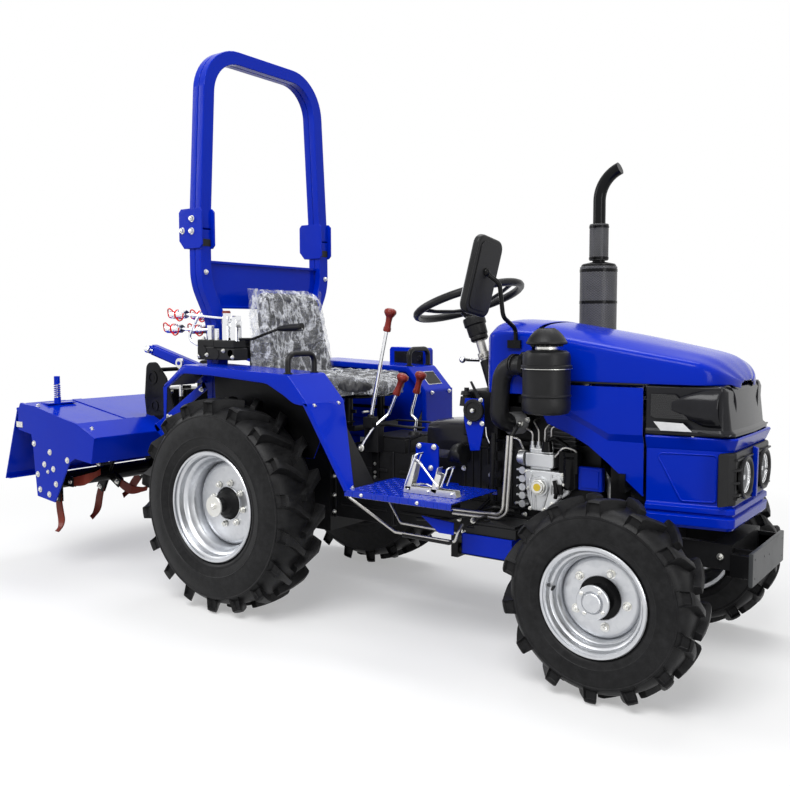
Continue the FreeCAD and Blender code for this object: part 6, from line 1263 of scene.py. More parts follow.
def levers():
    """Three chrome gear levers on the tunnel, each bent its own way."""
    runs = (
        [(486, -165, 775), (501, -165, 847), (567, -165, 1122)],
        [(467, -196, 668), (474, -188, 690), (498, -160, 742), (512, -140, 762), (534, -112, 791),
         (571, -110, 872)],
        [(581, 0, 700), (592, 0, 762), (566, 0, 778), (570, 0, 800), (592, 0, 872)])
    rods = Shape()
    knobs = Shape()
    for points, radius in zip(runs, (7.5, 6.5, 6.5)):
        rods.tube(points, radius, 14, 6)
        knob_on(knobs, points[-1], Vector(points[-1]) - Vector(points[-2]), 1.22)
    rods.finish("control_levers.rods", "chassis", CHROME, "chrome_steel", ["control_levers"])
    knobs.tidy()
    knobs.finish("control_levers.knobs", "chassis", KNOB, "tine_paint", smooth=50)
    joint = Shape()
    joint.ring((463, -198, 660), "y", 10, 5)
    joint.rod((463, -206, 660), (463, -188, 660), 6, sides=20)
    joint.bolt((463, -205, 660), (0, -1, 0), 12, 6)
    joint.rod((459, -150, 800), (459, -182, 800), 5)
    joint.finish("control_levers.joint", "chassis", ZINC, "bright_steel")
    console = Shape()
    console.block((430, -120, 640), (620, 120, 694))
    console.block((440, -112, 694), (612, 112, 702))
    console.block((446, -158, 640), (516, -120, 745))
    console.block((462, -186, 740), (508, -144, 782))
    console.block((470, -125, 640), (498, -92, 736))
    console.rod((581, 0, 700), (581, 0, 714), 26, 18)
    console.rod((486, -165, 778), (486, -165, 792), 16, 11)
    console.block((430, -118, 742), (700, -92, 748))
    console.block((430, 70, 742), (700, 96, 748))
    console.bevelled(3)
    console.tube([(452, -130, 735), (540, -126, 752), (660, -118, 742)], 5, 20)
    console.tube([(640, -120, 640), (646, -123, 700), (700, -124, 720)], 6, 20)
    for z in (596, 620):
        console.rod((475, -112, z), (475, -128, z), 6, sides=6)
    console.finish("control_levers.console", "chassis", BLACK_CAST, "black_casting")


# ---------------------------------------------------------------- seat

BACK_FOOT = 884
BACK_HIGH = 404
SEAMS_UP = (0.06, 0.36, 0.64, 0.92)
SEAMS_ACROSS = (-0.8, 0.0, 0.8)


def back_spot(u, v, deep):
    """A point of the back cushion: u across, v up and deep behind its front."""
    half = 218 - 38 * v
    corner = max(0.0, (v - 0.86) / 0.14)
    half *= 1 - 0.2 * corner * corner
    lean = 82 / 408
    hollow = 16 * (1 - math.cos(u * math.pi / 2)) - 10
    return Vector((-18 - lean * v * BACK_HIGH + hollow - deep, u * half, BACK_FOOT + v * BACK_HIGH))


def nearest(value, stops):
    return min(abs(value - stop) for stop in stops)


def swollen(piece, held, cap):
    """Blows a closed cover up by cloth simulation and keeps the seams where held says."""
    sewn = piece.modifiers.new("sewn", "REMESH")
    sewn.mode = "VOXEL"
    sewn.voxel_size = 5.5 * MM
    apply_all(piece)
    start = [v.co.copy() for v in piece.data.vertices]
    pins = piece.vertex_groups.new(name="seams")
    for vertex in piece.data.vertices:
        weight = held(vertex.co / MM - Vector((AXLE_X / MM, 0, 0)))
        if weight > 0:
            pins.add([vertex.index], weight, "REPLACE")
    cloth = piece.modifiers.new("air", "CLOTH")
    cloth.settings.use_pressure = True
    cloth.settings.uniform_pressure_force = 4.0
    cloth.settings.vertex_group_mass = "seams"
    cloth.settings.shrink_min = -0.1
    cloth.settings.tension_stiffness = 8
    cloth.settings.compression_stiffness = 8
    cloth.settings.bending_stiffness = 0.2
    cloth.settings.effector_weights.gravity = 0
    cloth.point_cache.frame_start = 1
    cloth.point_cache.frame_end = 20
    scene = bpy.context.scene
    for frame_number in range(1, 21):
        scene.frame_set(frame_number)
    apply_all(piece)
    scene.frame_set(1)
    for vertex, before in zip(piece.data.vertices, start):
        moved = vertex.co - before
        if moved.length > cap * MM:
            vertex.co = before + moved.normalized() * cap * MM


def apply_all(piece):
    """Keeps what the modifiers make as the piece's own mesh."""
    graph = bpy.context.evaluated_depsgraph_get()
    mesh = bpy.data.meshes.new_from_object(piece.evaluated_get(graph))
    old = piece.data
    piece.modifiers.clear()
    piece.data = mesh
    bpy.data.meshes.remove(old)
    for polygon in mesh.polygons:
        polygon.use_smooth = True
    piece.vertex_groups.clear()


def back_cushion():
    """The back: a raised rim round six squares sewn down along their edges."""
    pad = Shape()
    bmesh.ops.create_grid(pad.mesh, x_segments=60, y_segments=56, size=1)
    for vertex in pad.mesh.verts:
        u, v = vertex.co.x, (vertex.co.y + 1) / 2
        rim = max(abs(u), abs(v * 2 - 1))
        groove = min(nearest(v, SEAMS_UP) * BACK_HIGH, nearest(u, SEAMS_ACROSS) * 190)
        inside = abs(u) < 0.8 and SEAMS_UP[0] < v < SEAMS_UP[-1]
        quilt = 11 * (1 - math.exp(-groove / 16))
        puff = quilt if inside else 15 * math.sin(math.pi * min((1 - rim) / 0.2, 1)) ** 0.6
        vertex.co = back_spot(u * 0.985, 0.01 + v * 0.98, -puff + 6)
    made = bmesh.ops.extrude_face_region(pad.mesh, geom=list(pad.mesh.faces))
    rear = [v for v in made["geom"] if isinstance(v, bmesh.types.BMVert)]
    for vertex in rear:
        vertex.co.x = -64 - (vertex.co.z - BACK_FOOT) * 82 / 408
        vertex.co.y *= 0.93
    pad.tidy()
    piece = pad.finish("seat_back.pad", "chassis", VINYL, "seat_vinyl", ["seat_back"],
                       smooth=180, weighted=False)
    swollen(piece, back_seams, 7)
    soften(piece)


def back_seams(spot):
    """How firmly a point of the back is sewn down."""
    v = (spot.z - BACK_FOOT) / BACK_HIGH
    u = spot.y / (218 - 38 * v)
    if spot.x < -46 - v * 82:
        return 1.0
    if abs(u) > 0.82 or v > 0.95 or v < 0.03:
        return 0.0
    return 1.0 if min(nearest(v, SEAMS_UP) * BACK_HIGH, nearest(u, SEAMS_ACROSS) * 190) < 5 else 0.0


def soften(piece):
    finer = piece.modifiers.new("finer", "SUBSURF")
    finer.levels = 1
    finer.render_levels = 1


def seat_spot(across, along, depth):
    """A point of the seat cushion from its middle: across and along from -1 to 1."""
    front = max(along, 0.0)
    half = 214 * (1 - 0.34 * front ** 4)
    reach = 226 * (1 - 0.12 * abs(across) ** 3 * (along > 0))
    return Vector((224 + along * reach, across * half, depth))


def seat_pad():
    """The seat: a raised rim round quilted squares, turned down at the front."""
    pad = Shape()
    bmesh.ops.create_grid(pad.mesh, x_segments=60, y_segments=60, size=1)
    for vertex in pad.mesh.verts:
        along, across = vertex.co.x, vertex.co.y
        rim = max(abs(across), abs(along))
        lines = (-0.55, -0.05, 0.45)
        groove = min(nearest(along, lines) * 230, nearest(across, (-0.72, -0.24, 0.24, 0.72)) * 200)
        middle = abs(across) < 0.72 and -0.9 < along < 0.8
        puff = 9 * (1 - math.exp(-groove / 14)) if middle else 13 * min((1 - rim) / 0.12, 1) ** 0.5
        dish = 20 * abs(across) ** 2.5 - 26 * max(along, 0) ** 5 + 10 * max(-along, 0) ** 3
        vertex.co = seat_spot(across, along, 912 + puff + dish)
    made = bmesh.ops.extrude_face_region(pad.mesh, geom=list(pad.mesh.faces))
    under = [v for v in made["geom"] if isinstance(v, bmesh.types.BMVert)]
    for vertex in under:
        vertex.co.z = 868
    pad.tidy()
    piece = pad.finish("seat_cushion.pad", "chassis", VINYL, "seat_vinyl", ["seat_cushion"],
                       smooth=180, weighted=False)
    swollen(piece, seat_seams, 8)
    soften(piece)


def seat_seams(spot):
    """How firmly a point of the seat is sewn down."""
    if spot.z < 874:
        return 1.0
    along, across = (spot.x - 224) / 226, spot.y / 214
    if abs(across) > 0.75 or not -0.85 < along < 0.75:
        return 0.0
    near = min(nearest(along, (-0.55, -0.05, 0.45)) * 230, nearest(across, (-0.72, -0.24, 0.24, 0.72)) * 200)
    return 1.0 if near < 5 else 0.0


def crinkled(shape, depth, scale, seed):
    """Pushes a skin in and out in sharp folds."""
    shape.mesh.normal_update()
    moved = []
    for vertex in shape.mesh.verts:
        spot = vertex.co * scale + Vector((seed, seed * 2, 0))
        fold = noise.ridged_multi_fractal(spot, 0.9, 2.2, 4, 1.0, 2.0)
        moved.append(vertex.co + vertex.normal * (fold - 1.1) * depth)
    for vertex, spot in zip(shape.mesh.verts, moved):
        vertex.co = spot


def seat_film():
    """The clear wrap still on the seat, loose round its back and creased all over."""
    over = Shape()
    bmesh.ops.create_grid(over.mesh, x_segments=110, y_segments=100, size=1)
    for vertex in over.mesh.verts:
        u, v = vertex.co.x, (vertex.co.y + 1) / 2
        spot = back_spot(u * (1.03 + 0.05 * v), v * 1.03, -20)
        edge = max(0.0, (max(abs(u), v) - 0.9) / 0.1)
        vertex.co = spot - Vector((34 * edge ** 1.6, 0, 0))
    made = bmesh.ops.extrude_face_region(over.mesh, geom=list(over.mesh.faces))
    for vertex in (v for v in made["geom"] if isinstance(v, bmesh.types.BMVert)):
        vertex.co.x = -84 - (vertex.co.z - BACK_FOOT) * 82 / 408 + 6 * math.sin(vertex.co.y / 40)
    over.tidy()
    crinkled(over, 5.0, 0.017, 3.0)
    over.finish("seat_back.film", "chassis", FILM, "seat_vinyl", smooth=28, weighted=False)
    flap = Shape()
    shares = [step / 40 for step in range(41)]
    flap.strip([
        [(-75 - 22 * t + 3 * math.sin(9 * t), 205 - 8 * t, 910 + 392 * t) for t in shares],
        [(-88 - 22 * t + 5 * math.sin(12 * t), 222 - 6 * t, 915 + 388 * t) for t in shares],
        [(-104 - 10 * t, 236 + 2 * math.sin(20 * t), 930 + 372 * t) for t in shares]])
    flap.mirrored()
    crinkled(flap, 4.0, 0.02, 7.0)
    flap.finish("seat_back.film_edge", "chassis", FILM, "seat_vinyl", smooth=28, weighted=False, wall=0.3)
    under = Shape()
    bmesh.ops.create_grid(under.mesh, x_segments=110, y_segments=110, size=1)
    for vertex in under.mesh.verts:
        along, across = vertex.co.x, vertex.co.y
        dish = 20 * abs(across) ** 2.5 - 26 * max(along, 0) ** 5 + 10 * max(-along, 0) ** 3
        edge = max(0.0, (max(abs(across), abs(along)) - 0.93) / 0.07)
        vertex.co = seat_spot(across * 1.045, along * 1.05, 930 + dish - 24 * edge ** 2)
    made = bmesh.ops.extrude_face_region(under.mesh, geom=list(under.mesh.faces))
    for vertex in (v for v in made["geom"] if isinstance(v, bmesh.types.BMVert)):
        vertex.co.z = 863 + 5 * math.sin(vertex.co.y / 30)
    under.tidy()
    crinkled(under, 5.0, 0.017, 11.0)
    under.finish("seat_cushion.film", "chassis", FILM, "seat_vinyl", smooth=28, weighted=False)


def seat_frame():
    frame_piece = Shape()
    frame_piece.block((50, -150, 715), (392, 150, 738))
    frame_piece.block((60, -130, 846), (380, 130, 861))
    for x in (90, 330):
        for y in (-110, 110):
            frame_piece.rod((x, y, 738), (x, y, 848), 18)
            frame_piece.lathe([(24, 0), (28, 4), (24, 8), (20, 8), (20, 0)], (x, y, 745), "z", 32)
    frame_piece.block((70, -118, 785), (370, -108, 800))
    frame_piece.block((70, 108, 785), (370, 118, 800))
    frame_piece.bevelled(2.5)
    frame_piece.tube([(360, -128, 852), (392, -132, 852), (402, -60, 850), (402, 60, 850),
                      (392, 132, 852)], 5, 20)
    frame_piece.finish("seat_base.frame", "chassis", BLACK_PAINT, "black_plastic", ["seat_base"])


# ---------------------------------------------------------------- steering wheel

def steering():
    tilt = Matrix.Rotation(math.radians(-18.95), 4, "Y")
    hub = Vector((837, 0, 1235))
    wheel = Shape()
    wheel.ring((0, 0, 0), "z", 206, 15, 96)
    for angle in angles(3):
        way = Matrix.Rotation(angle, 3, "Z") @ Vector((1, 0, 0))
        across = Matrix.Rotation(math.pi / 2, 3, "Z") @ way
        sections = []
        for reach, drop, half, thick in ((28, -34, 22, 7), (80, -30, 14, 7), (150, -17, 11, 6.5),
                                         (198, -2, 17, 6)):
            middle = way * reach + Vector((0, 0, drop))
            sections.append([middle + across * half * math.cos(a) + Vector((0, 0, thick * math.sin(a)))
                             for a in angles(14)])
        wheel.loft(sections)
    wheel.lathe([(0, -18), (26, -20), (40, -26), (44, -34), (40, -44), (32, -58), (0, -60)],
                (0, 0, 0), "z", 48, closed=False)
    bmesh.ops.transform(wheel.mesh, matrix=Matrix.Translation(hub) @ tilt, verts=wheel.mesh.verts)
    wheel.finish("steering_wheel.wheel", "steering_wheel", PLASTIC, "black_plastic",
                 ["steering_wheel"], smooth=50)
    column = Shape()
    boot = [(0, -66), (41, -66), (43, -72), (43, -96), (38, -101), (37, -136), (33, -142),
            (34, -146), (34, -154), (28, -160), (16, -161), (16, -236), (23, -240), (23, -450),
            (0, -450)]
    column.lathe(boot, (0, 0, 0), "z", 40, closed=False)
    bmesh.ops.transform(column.mesh, matrix=Matrix.Translation(hub) @ tilt, verts=column.mesh.verts)
    column.finish("steering_column.boot", "chassis", PLASTIC, "black_casting", ["steering_column"])
    shaft = Shape()
    shaft.rod((0, 0, -158), (0, 0, -238), 17.5)
    shaft.lathe([(17, -206), (24, -208), (24, -230), (17, -232)], (0, 0, 0), "z", 32)
    shaft.bolt((0, -22, -219), (0, -1, 0), 15, 8)
    bmesh.ops.transform(shaft.mesh, matrix=Matrix.Translation(hub) @ tilt, verts=shaft.mesh.verts)
    shaft.finish("steering_column.shaft", "chassis", BARE, "bright_steel")
    arm = Shape()
    arm.tube([(905, -34, 1010), (880, -70, 1012), (872, -92, 1014)], 6, 12)
    arm.ball((870, -96, 1014), 13)
    arm.finish("steering_column.switch", "chassis", CHROME, "chrome_steel")


# ---------------------------------------------------------------- roll bar

BAR_X = (-285, -215)


def roll_bar():
    inner = [tuple(p) for p in rounded([(262, 470), (262, 1165), (347, 1330), (347, 1545)], 240, 6)]
    outer = [tuple(p) for p in rounded([(322, 470), (322, 1152), (407, 1320), (407, 1545)], 240, 6)]
    posts = Shape()
    for side in SIDES:
        for low, high in ((BAR_X[0], -251.2), (-248.8, BAR_X[1])):
            posts.plate([(y * side, z) for y, z in inner + outer[::-1]], "x", low, high)
        posts.block((-284, 264 * side, 470), (-8, 320 * side, 580))
    posts.bevelled(3.5, 3, 25)
    posts.finish("rops_base.posts", "chassis", BLUE, "blue_paint", ["rops_base"], smooth=35)
    panel = Shape()
    panel.plate([(-340, 1418), (-347, 1325), (-292, 1222), (292, 1222), (347, 1325), (340, 1418)],
                "x", -256, -248)
    panel.block((-262, -345, 1408), (-238, 345, 1420))
    panel.block((-262, -292, 1218), (-238, 292, 1229))
    panel.bevelled(2, 3)
    panel.finish("rops_base.panel", "chassis", BLUE, "blue_paint", smooth=35)
    plates = Shape()
    outline = [(-308, 1466), (-338, 1500), (-338, 1618), (-324, 1632), (-212, 1632), (-198, 1618),
               (-198, 1480), (-212, 1466)]
    for side in SIDES:
        for near in (339, 407):
            plates.plate(outline, "y", near * side, (near + 8) * side)
        plates.block((-306, 340 * side, 1466), (-298, 414 * side, 1500))
    plates.bevelled(2, 3)
    plates.finish("rops_base.brackets", "chassis", BLUE, "blue_paint", smooth=35)
    top = Shape()
    outer_run = rounded([(-407, 1550), (-360, 2316), (360, 2316), (407, 1550)], 200, 12)
    inner_run = rounded([(-347, 1550), (-305, 2260), (305, 2260), (347, 1550)], 146, 12)
    outline = [tuple(p) for p in outer_run] + [tuple(p) for p in reversed(inner_run)]
    for low, high in ((BAR_X[0], -251.2), (-248.8, BAR_X[1])):
        top.plate(outline, "x", low, high)
    top.bevelled(3.5, 3, 40)
    top.finish("rops_hoop.tube", "rops_hoop", BLUE, "blue_paint", ["rops_hoop"], smooth=35)
    screws = Shape()
    for side in SIDES:
        for x, z in ((-254, 1589), (-256, 1538), (-314, 1542)):
            screws.bolt((x, 415 * side, z), (0, side, 0), 19, 11)
        screws.bolt((-214, 382 * side, 1369), (1, 0, 0), 15, 8)
        screws.bolt((-250, 322 * side, 640), (0, side, 0), 15, 8)
        screws.bolt((-338, 372 * side, 1608), (-1, 0, 0), 11, 5)
        screws.bolt((-60, 320 * side, 540), (0, side, 0), 17, 9)
        screws.bolt((-120, 320 * side, 540), (0, side, 0), 17, 9)
    screws.finish("rops_base.screws", "chassis", ZINC, "bright_steel")
    plugs = Shape()
    for side in SIDES:
        low, high = spread(side, 352, 402)
        plugs.block((-217, low, 1476), (-212, high, 1506))
    plugs.bevelled(2)
    plugs.finish("rops_base.plugs", "chassis", PLASTIC, "black_plastic")


for side in SIDES:
    fender(side)
    footboard(side)
fender_details()
handles()
board_details()
pedal_frame()
levers()
back_cushion()
seat_pad()
seat_film()
seat_frame()
steering()
roll_bar()


# ---------------------------------------------------------------- engine bay and chassis

def dressed(node, material):
    """Gives a CAD node its finish."""
    piece = bpy.data.objects[node]
    if not piece.material_slots:
        piece.data.materials.append(material)
    for held in piece.material_slots:
        held.link = "OBJECT"
        held.material = material


def air_cleaner():
    x, y = 1343, -350
    centre = (x, y, 0)
    can = Shape()
    can.lathe([(0, 856), (58, 856), (71, 860), (78, 871), (79, 890), (77, 904), (77, 911),
               (80, 914), (80, 918), (77, 921), (77, 1002), (82, 1005), (82, 1013), (77, 1016),
               (77, 1042), (73, 1054), (62, 1061), (33, 1064), (33, 1082), (0, 1082)],
              centre, "z", 64, closed=False)
    can.lathe([(0, 1074), (40, 1075), (60, 1080), (66, 1083), (66, 1088), (63, 1091), (60, 1098), (50, 1112),
               (36, 1126), (28, 1130), (26, 1133), (0, 1133)], centre, "z", 64, closed=False)
    for angle in angles(18):
        spot = (x + 48 * math.cos(angle), y + 48 * math.sin(angle))
        can.rod((*spot, 1074), (*spot, 1080), 5, sides=8)
    can.block((1300, -290, 900), (1386, -284, 1040))
    can.tidy()
    can.finish("air_cleaner.can", "chassis", PLASTIC, "black_plastic", ["air_cleaner"], smooth=38)
    hose = Shape()
    hose.tube([(1325, -300, 1010), (1235, -286, 1010), (1132, -258, 1000), (1112, -250, 820),
               (1122, -190, 798), (1150, -112, 800)], 33, 78, 10)
    for along in (0, 1):
        hose.rod((1196 - 10 * along, -276 + 2 * along, 1010), (1190 - 10 * along, -274 + 2 * along, 1010), 36)
    hose.finish("air_cleaner.hose", "chassis", PLASTIC, "black_plastic", smooth=60)
    flange = Shape()
    flange.plate([(-296, 960), (-300, 1045), (-262, 1052), (-240, 1030), (-240, 965)], "x", 1228, 1236)
    flange.block((1174, -300, 1026), (1230, -250, 1034))
    flange.bevelled(2)
    flange.rod((1240, -285, 1010), (1225, -285, 1010), 44, sides=40)
    flange.finish("air_cleaner.flange", "chassis", BLACK_PAINT, "black_plastic")
    cuff = Shape()
    elbow = (1124, -190, 797)
    ribs = []
    for step in range(9):
        ribs += [(36, step * 6), (40, step * 6 + 3)]
    cuff.lathe([(30, 0)] + ribs + [(30, 54)], elbow, "y", 40)
    cuff.turn(cuff.mesh.verts, Matrix.Rotation(-0.32, 3, "Z"), elbow)
    cuff.finish("air_cleaner.cuff", "chassis", CUFF, "black_plastic")
    clamps = Shape()
    clamps.lathe([(33, 1064), (37, 1065), (37, 1073), (33, 1074)], centre, "z", 40)
    clamps.lathe([(78, 1002), (82.6, 1002.4), (82.6, 1004), (78, 1004)], centre, "z", 48)
    for z in (975, 1036):
        clamps.bolt((1228, -278, z), (-1, 0, 0), 12, 6)
    clamps.finish("air_cleaner.clamps", "chassis", ZINC, "bright_steel")


def exhaust():
    x, y = EXHAUST_X, EXHAUST_Y
    centre = (x, y, 0)
    body = Shape()
    body.tube([(x, 130, 800), (x, y, 800), (x, y, 960), (x, y, 1095)], 25, 70, 8)
    body.lathe([(0, 1090), (26, 1090), (62, 1092), (67, 1098), (67, 1372), (62, 1378), (36, 1384), (24, 1386),
                (24, 1540)], centre, "z", 56, closed=False)
    arc = [(x + 124 * (1 - math.cos(a)), y, 1620 + 124 * math.sin(a))
           for a in (math.radians(70 * step / 14) for step in range(15))]
    body.tube([(x, y, 1520)] + arc, 24, 0, 8)
    body.block((1180, 128, 780), (1264, 138, 824))
    body.finish("exhaust.pipe", "chassis", BLACK_PAINT, "black_casting", ["exhaust"], smooth=42)
    guard = Shape()
    guard.lathe([(68, 1102), (71, 1104), (71, 1366), (68, 1368)], centre, "z", 72)
    guard.lathe([(35, 1392), (36.5, 1394), (36.5, 1529), (35, 1531)], centre, "z", 56)
    guard.finish("exhaust.guard", "chassis", GUARD, "black_casting", smooth=30)
    straps = Shape()
    for z in (1112, 1230, 1352):
        straps.lathe([(71, z - 6), (72.4, z - 5), (72.4, z + 5), (71, z + 6)], centre, "z", 56)
    for z in (1400, 1520):
        straps.lathe([(36.4, z - 5), (38, z - 4), (38, z + 4), (36.4, z + 5)], centre, "z", 40)
        straps.bolt((x, y - 38, z), (0, -1, 0), 8, 5)
    straps.finish("exhaust.straps", "chassis", BLACK_PAINT, "black_casting", smooth=30)


def mirror():
    middle = Vector((1128, -400, 1303))
    lean = (Matrix.Rotation(math.radians(-3), 3, "Z") @ Matrix.Rotation(math.radians(9), 3, "Y")
            @ Matrix.Rotation(math.radians(-9), 3, "X"))
    shell = Shape()
    outline = rounded([(-76, 0), (-76, 130), (76, 130), (76, -130), (-76, -130), (-76, 0)], 34, 6)
    shell.plate([tuple(p) for p in outline[:-1]], "x", -12, 14)
    shell.bevelled(9, 4, 60)
    inner = rounded([(-58, 0), (-58, 112), (58, 112), (58, -112), (-58, -112), (-58, 0)], 26, 6)
    shell.plate([tuple(p) for p in inner[:-1]], "x", 13, 17)
    shell.bevelled(1.5, 2, 60)
    face = Shape()
    outline = rounded([(-69, 0), (-69, 123), (69, 123), (69, -123), (-69, -123), (-69, 0)], 30, 6)
    face.plate([tuple(p) for p in outline[:-1]], "x", -14, -11)
    for piece in (shell, face):
        bmesh.ops.rotate(piece.mesh, cent=(0, 0, 0), matrix=lean, verts=piece.mesh.verts)
        bmesh.ops.translate(piece.mesh, vec=middle, verts=piece.mesh.verts)
    shell.finish("mirror.shell", "chassis", PLASTIC, "black_plastic", ["mirror"], smooth=40)
    face.finish("mirror.glass", "chassis", MIRROR, "chrome_steel")
    arm = Shape()
    arm.tube([(1180, -256, 1078), (1180, -256, 1130), (1182, -348, 1170), (1178, -366, 1280),
              (1148, -398, 1312)], 7.5, 34)
    arm.ball((1146, -400, 1316), 14)
    arm.block((1150, -262, 1064), (1200, -250, 1092))
    arm.bevelled(1.5)
    arm.finish("mirror.arm", "chassis", BLACK_PAINT, "black_plastic")


def engine_castings():
    base = Shape()
    base.block((905, -128, 400), (1440, 135, 730))
    for x in range(930, 1130, 33):
        base.block((x, -134, 420), (x + 9, -120, 712))
    for z in (432, 480, 690):
        base.block((905, -134, z), (1165, -120, z + 10))
    base.block((900, -135, 392), (1440, 135, 402))
    base.block((1066, -105, 728), (1410, 105, 850))
    base.block((960, -105, 314), (1398, 105, 394))
    for x in range(985, 1390, 40):
        base.block((x, -108, 322), (x + 8, 108, 386))
    base.bevelled(3)
    for x, y, z, r in ((1150, -132, 690, 24), (1150, -132, 560, 18), (1030, -132, 600, 40)):
        base.rod((x, y + 6, z), (x, y - 22, z), r)
    base.finish("engine.block", "chassis", BLACK_CAST, "black_casting", ["engine"], smooth=30)
    cover = Shape()
    cover.block((1086, -85, 850), (1390, 85, 900))
    cover.bevelled(14, 4)
    for x in (1130, 1240, 1350):
        cover.rod((x, 0, 899), (x, 0, 908), 11, sides=6)
    cover.finish("engine.rocker_cover", "chassis", BLACK_PAINT, "black_casting")
    fins = Shape()
    for step in range(6):
        z = 716 + step * 14
        fins.block((1232 + step * 3, -158, z), (1360, -100, z + 5))
    fins.block((1240, -140, 712), (1350, -100, 792))
    fins.bevelled(1.4)
    fins.finish("engine.fins", "chassis", IRON, "alloy_casting", smooth=30)
    alloy = Shape()
    alloy.plate([(1176, 640), (1330, 640), (1338, 600), (1322, 556), (1290, 520), (1250, 497), (1210, 497),
                 (1192, 540)], "y", -186, -150)
    alloy.plate([(1290, 622), (1338, 626), (1352, 596), (1345, 566), (1318, 548)], "y", -180, -158)
    alloy.bevelled(5, 3)
    alloy.rod((FILLER_X, -184, FILLER_Z), (FILLER_X, -199, FILLER_Z), 36, 33)
    alloy.rod((1306, -180, 606), (1306, -192, 606), 22, 20)
    alloy.rod((1200, -184, 622), (1200, -194, 622), 13)
    for top, high, foot, low in ((1196, 636, 1212, 505), (1222, 560, 1226, 502),
                                 (1270, 565, 1252, 505), (1286, 630, 1284, 560)):
        alloy.tube([(top, -187, high), (foot, -187, low)], 4)
    alloy.finish("engine.timing_cover", "chassis", ALLOY, "alloy_casting", smooth=34)
    pump = Shape()
    pump.block((1182, -186, 650), (1290, -140, 700))
    pump.block((1196, -176, 640), (1276, -150, 716))
    pump.bevelled(6, 3)
    outlets = (1200, 1224, 1248, 1272)
    for x in outlets:
        pump.rod((x, -164, 700), (x, -164, 724), 9, sides=6)
        pump.rod((x, -164, 724), (x, -164, 738), 6, sides=20)
    pump.rod((1176, -164, 676), (1150, -164, 676), 28, 22)
    pump.rod((1150, -164, 676), (1142, -164, 676), 22, 12)
    for z in (510, 540, 570, 600, 630):
        pump.rod((1158, -128, z), (1158, -160, z), 13)
        pump.block((1130, -150, z - 3), (1178, -130, z + 3))
    pump.finish("engine.pump", "chassis", ALLOY, "alloy_casting", smooth=34)
    lines = Shape()
    for step, x in enumerate(outlets):
        goal = 1118 + step * 74
        lines.tube([(x, -164, 734), (x, -164, 768 + step * 7), (goal, -142, 800 + step * 5),
                    (goal, -104, 812)], 3.2, 14)
    lines.tube([(1160, -150, 700), (1152, -172, 742), (1118, -178, 750), (1112, -150, 720)], 4.5, 18)
    lines.tube([(1290, -172, 690), (1330, -184, 730), (1372, -170, 716), (1366, -150, 640)], 4.5, 24)
    lines.finish("engine.fuel_lines", "chassis", BARE, "bright_steel")
    dark = Shape()
    dark.lathe([(0, 582), (22, 582), (27, 588), (28, 596), (28, 690), (24, 694), (28, 698),
                (28, 711), (0, 711)], (1350, -170, 0), "z", 36, closed=False)
    dark.block((1312, -188, 640), (1380, -150, 712))
    dark.block((1298, -200, 566), (1330, -186, 600))
    dark.tube([(1300, -196, 612), (1312, -204, 570), (1306, -200, 552)], 7, 16)
    dark.rod((1262, -176, 706), (1262, -176, 742), 20, 16)
    dark.tube([(1262, -176, 738), (1290, -184, 760), (1330, -176, 736), (1352, -170, 712)], 7, 20)
    dark.rod((1440, 0, 560), (1470, 0, 560), 84, sides=48)
    dark.rod((1440, -70, 700), (1466, -70, 700), 46, sides=40)
    dark.rod((1466, 0, 690), (1480, 0, 690), 40, sides=40)
    for angle in angles(7):
        blade = dark.block((1470, -24, 722), (1474, 24, 850), Matrix.Rotation(0.5, 3, "Z"), (1472, 0, 780))
        dark.turn(blade, Matrix.Rotation(angle, 3, "X"), (1472, 0, 690))
    dark.tidy()
    dark.bevelled(1.5, 2, 60)
    dark.finish("engine.fittings", "chassis", BLACK_PAINT, "black_casting", smooth=34)
    bright = Shape()
    bright.rod((FILLER_X, -199, FILLER_Z), (FILLER_X, -212, FILLER_Z), 22, 20, sides=40)
    bright.ring((FILLER_X, -205, FILLER_Z), "y", 24, 3.4, 40)
    for x, z in ((1186, 632), (1326, 632), (1332, 600), (1286, 528), (1204, 504), (1256, 506), (1196, 574)):
        bright.bolt((x, -186, z), (0, -1, 0), 10, 6)
    for x in range(920, 1440, 52):
        bright.bolt((x, -135, 397), (0, -1, 0), 9, 5, washer=False)
    for x, z in ((1150, 690), (1030, 600)):
        bright.bolt((x, -154, z), (0, -1, 0), 16, 8)
    for x, y, z in ((1176, -205, 800), (1190, -180, 812), (1146, -196, 786), (1120, -120, 500),
                    (1166, -150, 470)):
        bright.bolt((x, y, z), (-0.3, -1, 0.3), 13, 9)
    bright.finish("engine.screws", "chassis", ZINC, "bright_steel")
    mark = Shape()
    mark.rod((FILLER_X, -212, FILLER_Z), (FILLER_X, -214, FILLER_Z), 13, sides=32)
    mark.finish("engine.oil_cap", "chassis", YELLOW, "alloy_casting")
    plate = Shape()
    plate.block((1378, -176, 585), (1464, -150, 665))
    plate.bevelled(4, 3)
    plate.block((1390, -179, 596), (1452, -175, 654))
    plate.finish("engine.side_plate", "chassis", BLUE, "blue_paint")
    left = Shape()
    left.block((1080, 105, 770), (1400, 138, 828))
    left.bevelled(10, 3)
    for x in (1110, 1190, 1270, 1350):
        left.rod((x, 100, 800), (x, 136, 800), 26)
    left.rod((1000, 135, 560), (1000, 190, 560), 40)
    left.rod((940, 150, 470), (1080, 150, 470), 46)
    left.rod((1180, 135, 480), (1180, 200, 480), 38, 36)
    left.finish("engine.left_side", "chassis", IRON, "black_casting", smooth=34)


